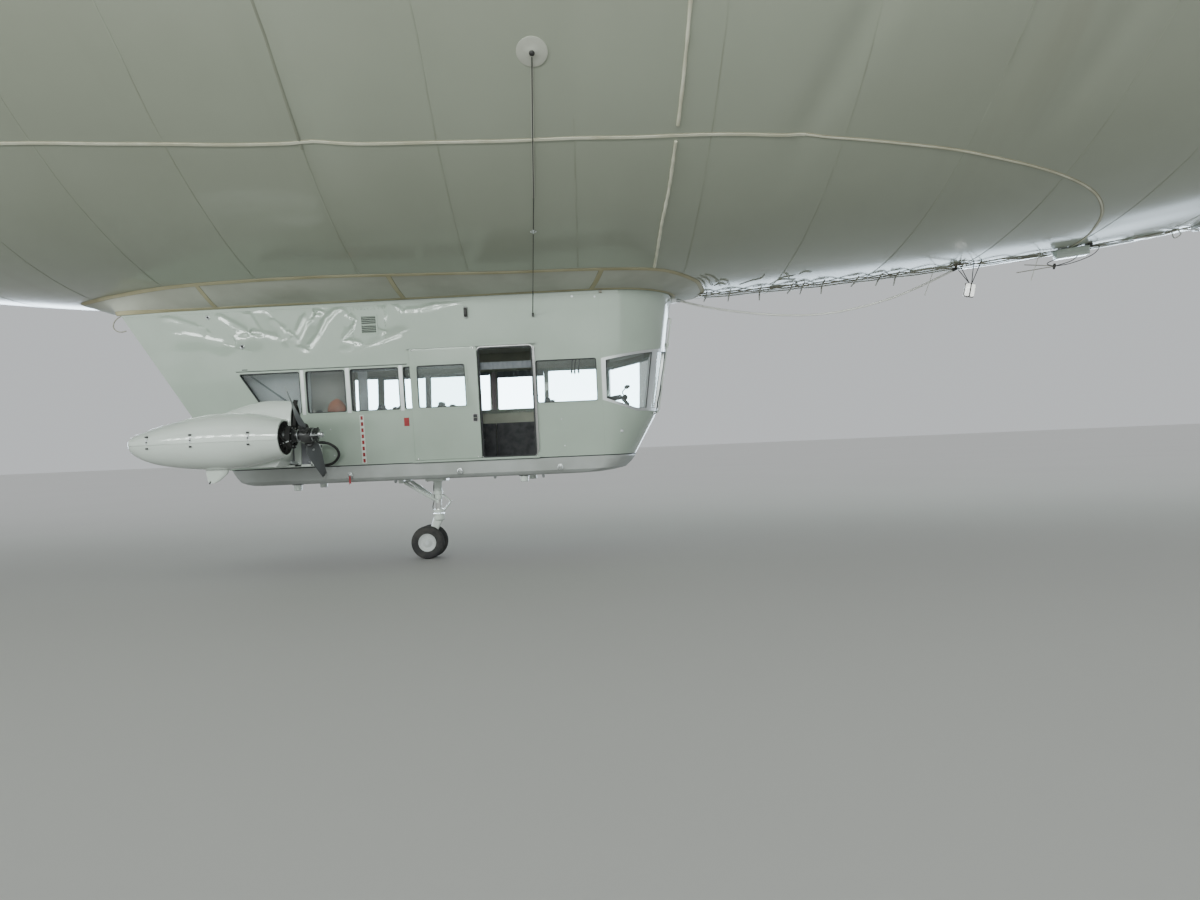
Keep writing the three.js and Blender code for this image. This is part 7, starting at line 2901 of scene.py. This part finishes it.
@dataclass
class TailSurface:
    """One fin of fabric over ribs, with its control surface, hinges and stay wires."""

    shop: Workshop
    hull: Hull
    corner: str
    turn: float
    hinge: float = -29.3
    aft: float = -29.168
    root: tuple = (-21.3, 1.9, 0.2)
    tip: tuple = (-25.4, 8.0, 0.09)
    surface_root: tuple = (2.8, 2.3, 0.12)
    surface_tip: tuple = (7.95, 1.9, 0.072)
    bay: float = 0.61
    section: tuple[Pair, ...] = ((0, 0), (0.012, 0.22), (0.08, 0.58), (0.3, 0.98), (0.65, 0.95), (1, 0.8))

    @property
    def ribs(self) -> list[float]:
        """How far from the hull's axis the ribs are."""
        return [self.tip[1] - self.bay * k for k in range(1, 9)]

    def place(self, x: float, across: float, radius: float) -> Vector:
        """A point of the fin as built pointing up, turned to its place."""
        angle = math.radians(self.turn)
        c, s = math.cos(angle), math.sin(angle)
        return Vector((x, across * c - radius * s, across * s + radius * c)) * SCALE

    def slack(self, radius: float) -> float:
        """How much the fabric sinks between two ribs, as a part of the thickness."""
        return 1.0 - 0.13 * math.sin(math.pi * ((self.tip[1] - radius) / self.bay % 1.0)) ** 2

    def fin_side(self, radius: float, sign: int) -> list[Vector]:
        """One side of the fin at a radius, from the leading edge to the rear spar.

        Args:
            radius: the distance from the hull's axis.
            sign: which face, 1 or -1.

        Returns:
            The points of that side.
        """
        t = (radius - self.root[1]) / (self.tip[1] - self.root[1])
        fore = self.root[0] + (self.tip[0] - self.root[0]) * t
        half = self.root[2] + (self.tip[2] - self.root[2]) * t
        slack = self.slack(radius)
        side = []
        for p in curve_through([Vector((x, y, 0)) for x, y in self.section], 5):
            sunk = slack if 0.05 < p.x < 0.97 else 1
            side.append(self.place(fore + (self.aft - fore) * p.x, sign * half * p.y * sunk, radius))
        return side

    def surface_side(self, radius: float, sign: int) -> list[Vector]:
        """One side of the control surface at a radius, from its round nose to its trailing edge.

        Args:
            radius: the distance from the hull's axis.
            sign: which face, 1 or -1.

        Returns:
            The points of that side.
        """
        t = (radius - self.surface_root[0]) / (self.surface_tip[0] - self.surface_root[0])
        chord = self.surface_root[1] + (self.surface_tip[1] - self.surface_root[1]) * t
        half = self.surface_root[2] + (self.surface_tip[2] - self.surface_root[2]) * t
        nose = [(self.hinge + half * math.cos(a), half * math.sin(a)) for a in spread(0, math.pi / 2, 7)]
        back = []
        for p in (0.12, 0.35, 0.6, 0.85, 0.985, 1.0):
            back.append(
                (self.hinge - chord * p, (half - (half - 0.012) * p) * (self.slack(radius) if p < 1 else 1))
            )
        return [self.place(x, sign * y, radius) for x, y in nose + back]

    def tape(self, form: Form, line: Path, sign: int, width: float) -> None:
        """Lays a tape on one face of the tail, along a line."""
        square = self.place(0, 1, 0).normalized()
        form.band(line, [square * sign] * len(line), width, 0.0014)

    def build_fin(self) -> None:
        """Makes the fin's skin, its rib tapes, tip cap, hinge brackets and stay wires."""
        form = Form(Finish.HULL_FABRIC)
        radii = spread(self.root[1], self.tip[1], 73)
        form.loft([self.fin_side(r, 1) + self.fin_side(r, -1)[:0:-1] for r in radii])
        form.finish = Finish.SEAM_TAPE
        square = self.place(0, 1, 0).normalized()
        for sign in (1, -1):
            for r in self.ribs:
                self.tape(form, self.fin_side(r, sign), sign, 0.02)
            for index in (6, -2):
                edge = [
                    self.fin_side(r, sign)[index] for r in spread(self.root[1] + 0.6, self.tip[1] - 0.02, 50)
                ]
                self.tape(form, edge, sign, 0.022)
        form.finish = Finish.WHITE_PAINT
        end = self.fin_side(self.tip[1], 1) + self.fin_side(self.tip[1], -1)[:0:-1]
        centre = sum(end, Vector()) / len(end)
        outward = self.place(0, 0, 1).normalized()
        steps = ((1.0, -0.02), (1.02, -0.018), (1.02, 0.004), (0.97, 0.008))
        form.loft([[centre + (p - centre) * grow + outward * lift for p in end] for grow, lift in steps])
        for radius, sign in ((self.tip[1] - 0.05, 1), (self.surface_root[0], -1)):
            low, high = sorted((radius + 0.003 * sign, radius + 0.05 * sign))
            ear = rounded(span(self.hinge - 0.12, self.aft + 0.3, -0.1, 0.1), 0.06)
            form.loft([[self.place(x, y, r) for x, y in ear] for r in (low, high)])
            form.dome(self.place(self.hinge, 0, high), outward, 0.02, 0.008, 12)
        form.finish = Finish.BARE_METAL
        for sign in (1, -1):
            for x, radius, round_hull in ((-26.6, 6.1, 34.0), (-28.6, 6.4, 40.0), (-27.4, 3.9, 22.0)):
                t = (radius - self.root[1]) / (self.tip[1] - self.root[1])
                half = (self.root[2] + (self.tip[2] - self.root[2]) * t) * 0.93
                start = self.place(x, sign * half, radius)
                angle = math.radians(180 + self.turn - sign * round_hull)
                end_spot = self.hull.point(x + 0.35, angle, 0.004)
                form.tube([start, end_spot], 0.003, 7)
                form.turned([(-0.002, 0.03), (0.004, 0.028), (0.006, 0.012)], start, square * sign, 14)
                foot = [(-0.004, 0.05), (0.002, 0.05), (0.004, 0.02), (0.01, 0.012)]
                form.turned(foot, end_spot, self.hull.out(x + 0.35, angle), 20)
                form.tube([start.lerp(end_spot, 0.06), start.lerp(end_spot, 0.16)], 0.006, 8)
        fin = self.shop.shape(f"fin_skin_{self.corner}", form, sharp=40)
        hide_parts(f"fin_{self.corner}")

    def build_surface(self) -> None:
        """Makes the control surface's skin, its rib tapes and its hinge knuckles."""
        form = Form(Finish.HULL_FABRIC)
        low, high = self.surface_root[0], self.surface_tip[0]
        form.loft([self.surface_side(r, 1) + self.surface_side(r, -1)[:0:-1] for r in spread(low, high, 61)])
        form.finish = Finish.SEAM_TAPE
        for sign in (1, -1):
            for r in self.ribs:
                if low < r < high:
                    self.tape(form, self.surface_side(r, sign)[6:], sign, 0.02)
            for index in (6, -3):
                edge = [self.surface_side(r, sign)[index] for r in spread(low + 0.02, high - 0.02, 40)]
                self.tape(form, edge, sign, 0.022)
        form.finish = Finish.BARE_METAL
        span_out = self.place(0, 0, 1).normalized()
        for r in (3.6, 5.4, 7.2):
            t = (r - low) / (high - low)
            radius = (self.surface_root[2] + (self.surface_tip[2] - self.surface_root[2]) * t) * SCALE
            outer = radius + 0.003
            sleeve = [(-0.03, radius), (-0.03, outer), (0.03, outer), (0.03, radius)]
            form.turned(sleeve, self.place(self.hinge, 0, r), span_out, 28)
        name = f"rudder_skin_{self.corner}"
        made = self.shop.shape(name, form, f"ruddervator_{self.corner}", sharp=40)
        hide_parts(f"ruddervator_{self.corner}")

    def build(self) -> None:
        """Makes the fin and its control surface."""
        self.build_fin()
        self.build_surface()


# Under the bow


@dataclass
class BellyLights:
    """The strip lamp, the hanging lamp, the small lens and the clamps on the belly line."""

    shop: Workshop
    hull: Hull
    strip: float = 8.15

    def under(self, x: float, y: float, drop: float) -> Vector:
        """A point below the belly's middle, in metres of the model below the surface."""
        return self.hull.point(x, 0.0) + Vector((0, y, -drop))

    def build_strip_lamp(self) -> None:
        """Makes the strip lamp with its end cap, screws, hangers and leads."""
        form = Form(Finish.LAMP_GLASS)
        lean = self.hull.slope_at(self.strip)

        def along(dx: float, y: float, z: float) -> Vector:
            """A point of the lamp, which follows the hull's slope."""
            return self.under(self.strip, 0, 0) + Vector((dx, y, z - lean * dx))

        rings = []
        for dx, shrink in ((-0.13, 0.006), (-0.127, 0.0), (0.108, 0.0), (0.11, 0.003)):
            box = rounded(span(-0.037 + shrink, 0.037 - shrink, -0.078 + shrink, -0.012 - shrink), 0.008, 4)
            rings.append([along(dx, y, z) for y, z in box])
        form.loft(rings)
        form.finish = Finish.BARE_METAL
        for dx in (-0.115, 0.095):
            for y, z in ((-0.0375, -0.022), (-0.0375, -0.068)):
                form.dome(along(dx, y, z), Vector((0, -1, 0)), 0.0045, 0.003, 9)
        form.tube([along(dx, -0.0385, -0.05) for dx in (-0.125, 0.107)], 0.0015, 6)
        for dx in (-0.1, 0.1):
            x = self.strip + dx / SCALE
            form.block(self.under(x, -0.012, 0.02), self.under(x, 0.012, -0.006) + AHEAD * 0.012)
        form.finish = Finish.DARK_PAINT
        box = rounded(span(-0.036, 0.036, -0.03, 0.003), 0.006, 4)
        form.loft([[along(dx, y, z) for y, z in box] for dx in (0.108, 0.13)])
        knot = self.under(7.86, -0.02, 0.128)
        for route in (
            ((8.42, -0.01, 0.012), (8.52, -0.02, 0.035), (8.4, -0.03, 0.09), (8.1, -0.03, 0.125)),
            ((7.95, -0.02, 0.07), (7.75, -0.03, 0.1)),
            ((8.22, -0.02, 0.07), (8.1, -0.03, 0.108)),
        ):
            form.tube(curve_through([*(self.under(*spot) for spot in route), knot], 8), 0.003, 8)
        form.turned([(-0.022, 0.006), (0.0, 0.012), (0.02, 0.008)], knot, Vector((0.2, 0, 1)), 14)
        form.finish = Finish.BELLY_ROPE
        for start, end in ((knot, (7.3, -0.035, 0.135)), (knot + UP * 0.004, (7.42, -0.03, 0.085))):
            form.tube([start, self.under(*end)], 0.0032, 8)
        lamp = self.shop.shape("strip_lamp", form)
        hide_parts("light_box")

    def build_hanging_lamp(self) -> None:
        """Makes the lamp that hangs in straps from a tied bundle."""
        form = Form(Finish.LAMP_LENS)
        centre = self.under(6.63, 0.0, 0.21)
        turn = Matrix.Rotation(math.radians(12), 3, "Y")
        rings = []
        for part, lift in ((0.8, -0.0235), (1.0, -0.02), (1.0, 0.02), (0.8, 0.0235)):
            outline = rounded(span(-0.034, 0.034, -0.046, 0.046), 0.012, 5)
            rings.append([centre + turn @ Vector((x * part, lift, z * part)) for x, z in outline])
        form.loft(rings)
        form.finish = Finish.DARK_PAINT
        frame = rounded(span(-0.036, 0.036, -0.048, 0.048), 0.012, 5)
        form.tube([centre + turn @ Vector((x, -0.004, z)) for x, z in frame], 0.004, 8, looped=True)
        form.block(centre + Vector((-0.004, -0.027, -0.048)), centre + Vector((0.004, 0.027, 0.05)), turn)
        for x, y in ((6.40, -0.02), (6.52, 0.03), (6.82, -0.02), (6.74, 0.03)):
            end = centre + turn @ Vector((0.01 if x > 6.6 else -0.006, 0, 0.05))
            form.tube([self.under(x, y, -0.002), end], 0.003, 7)
        form.finish = Finish.BELLY_ROPE
        start = self.under(6.46, -0.01, 0.012)
        for t in circle(11):
            reach = Vector((0.07 * math.cos(t), -0.02 + 0.02 * math.sin(t * 2), 0.03 * math.sin(t) + 0.008))
            bend = start + reach * 0.6 + Vector((0, -0.012, 0.006))
            form.tube(curve_through([start, bend, start + reach], 4), 0.0036, 7)
        form.tube([self.under(6.43, -0.012, 0.03), self.under(6.4, -0.05, -0.09)], 0.0035, 7)
        lamp = self.shop.shape("hanging_lamp", form)
        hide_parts("hanging_light")

    def build_clamps(self) -> None:
        """Makes the clamps at the sagging cable's ends, and the oval lens with its leads."""
        form = Form(Finish.BARE_METAL)
        sleeve = ((-0.012, 0.0105), (0.0, 0.0125), (0.02, 0.0125), (0.026, 0.0095))
        form.turned(sleeve, at(4.21, 0.0, 3.738), Vector((1, 0, -0.32)), 20)
        form.block(at(4.12, -0.028, 3.70), at(4.19, 0.028, 3.76))
        aft = self.shop.shape("cable_clamp_aft", form)
        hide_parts("cable_clip_aft")
        form = Form(Finish.DARK_PAINT)
        sleeve = ((-0.022, 0.0095), (-0.012, 0.0115), (0.012, 0.0115), (0.02, 0.007))
        form.turned(sleeve, at(8.33, 0.0, 3.992), Vector((1, 0, 0.48)), 20)
        form.tube([at(8.335, 0.0, 3.995), at(8.36, 0.0, 4.2), at(8.35, 0.0, 4.42)], 0.004, 9)
        fore = self.shop.shape("cable_clamp_fore", form)
        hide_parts("cable_clip_fore")
        form = Form(Finish.LAMP_GLASS)
        rings = []
        for part, lift in ((1.0, -0.004), (0.98, 0.006), (0.8, 0.016), (0.45, 0.021), (0.12, 0.023)):
            section = []
            for t in circle(40):
                angle = math.radians(1.0) + 0.0115 * part * math.sin(t)
                section.append(self.hull.point(9.28 + 0.3 * part * math.cos(t), angle, lift))
            rings.append(section)
        form.loft(rings)
        form.finish = Finish.ROPE
        for route in (
            [
                (9.0, -0.6, 0.006), (9.1, -0.9, 0.03), (9.35, -0.9, 0.036), (9.62, -0.4, 0.02),
                (9.9, 0.4, 0.008)
            ],
            [
                (9.62, -0.4, 0.006), (9.66, -0.5, 0.05), (9.58, -0.3, 0.07), (9.6, 0.2, 0.03),
                (9.64, 0.4, 0.004)
            ],
            [(9.7, 0.2, 0.01), (10.1, -0.4, 0.05), (10.6, -0.5, 0.06), (11.2, 0.0, 0.02), (11.9, 0.4, 0.004)]
        ):
            form.tube(
                curve_through([self.hull.point(x, math.radians(d), lift) for x, d, lift in route], 8),
                0.0042,
                8
            )
        lens = self.shop.shape("belly_lens", form, sharp=45)

    def build(self) -> None:
        """Makes every piece under the bow."""
        self.build_strip_lamp()
        self.build_hanging_lamp()
        self.build_clamps()


FIN_TURNS = {"upper_starboard": 45.0, "upper_port": -45.0, "lower_starboard": 135.0, "lower_port": -135.0}
WALL_NODES = ("side_starboard", "side_port", "chin", "brow", "tail", "roof")
PANE_NODES = (
    "glass_cockpit", "glass_starboard_cabin", "glass_starboard_front", "glass_port", "cabin_door_glass"
)


def both(*parts: str) -> tuple[str, ...]:
    """The names of CAD nodes that stand on either side."""
    return tuple(f"{part}_{side.word}" for part in parts for side in Side)


# What the CAD nodes wear.
DRESSED: dict[Finish, tuple[str, ...]] = {
    Finish.HULL_FABRIC: ("envelope", *(f"{part}_{c}" for part in ("fin", "ruddervator") for c in FIN_TURNS)),
    Finish.WHITE_PAINT: ("nose_cone", "tail_cone", *both("nacelle")),
    Finish.BARE_METAL: (
        "mooring_spindle", "windscreen_frame", "gear_leg", "gear_fork", "cable_clip_aft", "cable_clip_fore",
    ),
    Finish.GREY_PAINT: (
        "air_valve_fore", "air_valve_aft", "gondola_floor", "light_box", "hanging_light", *both("outrigger"),
    ),
    Finish.SKIRT_FABRIC: ("skirt",),
    Finish.WALL_PAINT: ("cabin_door", *(f"gondola_{part}" for part in WALL_NODES)),
    Finish.WINDOW_GLASS: PANE_NODES,
    Finish.SEAT_CLOTH: ("seats_cockpit", "seats_fore", "seats_middle", "seats_aft"),
    Finish.DARK_PAINT: ("instrument_console", *both("engine")),
    Finish.TYRE_RUBBER: ("gear_wheels",),
    Finish.BLADE_PAINT: both("propeller"),
    Finish.BLACK_RUBBER: both("heater_hose"),
    Finish.ROPE: ("free_cable", *both("stay_cable")),
}


def main() -> None:
    """Builds the scene's pieces in order."""
    logging.basicConfig(level=logging.INFO, format="%(message)s")
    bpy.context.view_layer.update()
    PhotoCamera().build()
    shop = Workshop()
    for finish, nodes in DRESSED.items():
        for node in nodes:
            shop.dress(node, finish)
    FreeCable(shop).build()
    engines = [PowerUnit(shop, side) for side in Side]
    for engine in engines:
        engine.build_hose()
    Studio().build()
    hull = Hull(shop)
    hull.build()
    Skirt(shop, hull).build()
    for side in Side:
        SideWall(shop, side).build()
    SlidingDoor(shop, SideWall(shop, Side.STARBOARD)).build()
    Nose(shop).build()
    Underbody(shop).build()
    for engine in engines:
        engine.build()
    Cabin(shop).build()
    LandingGear(shop).build()
    for corner, turn in FIN_TURNS.items():
        TailSurface(shop, hull, corner, turn).build()
    BellyLights(shop, hull).build()
    log.info("%d pieces", shop.made)


if __name__ == "__main__":
    main()
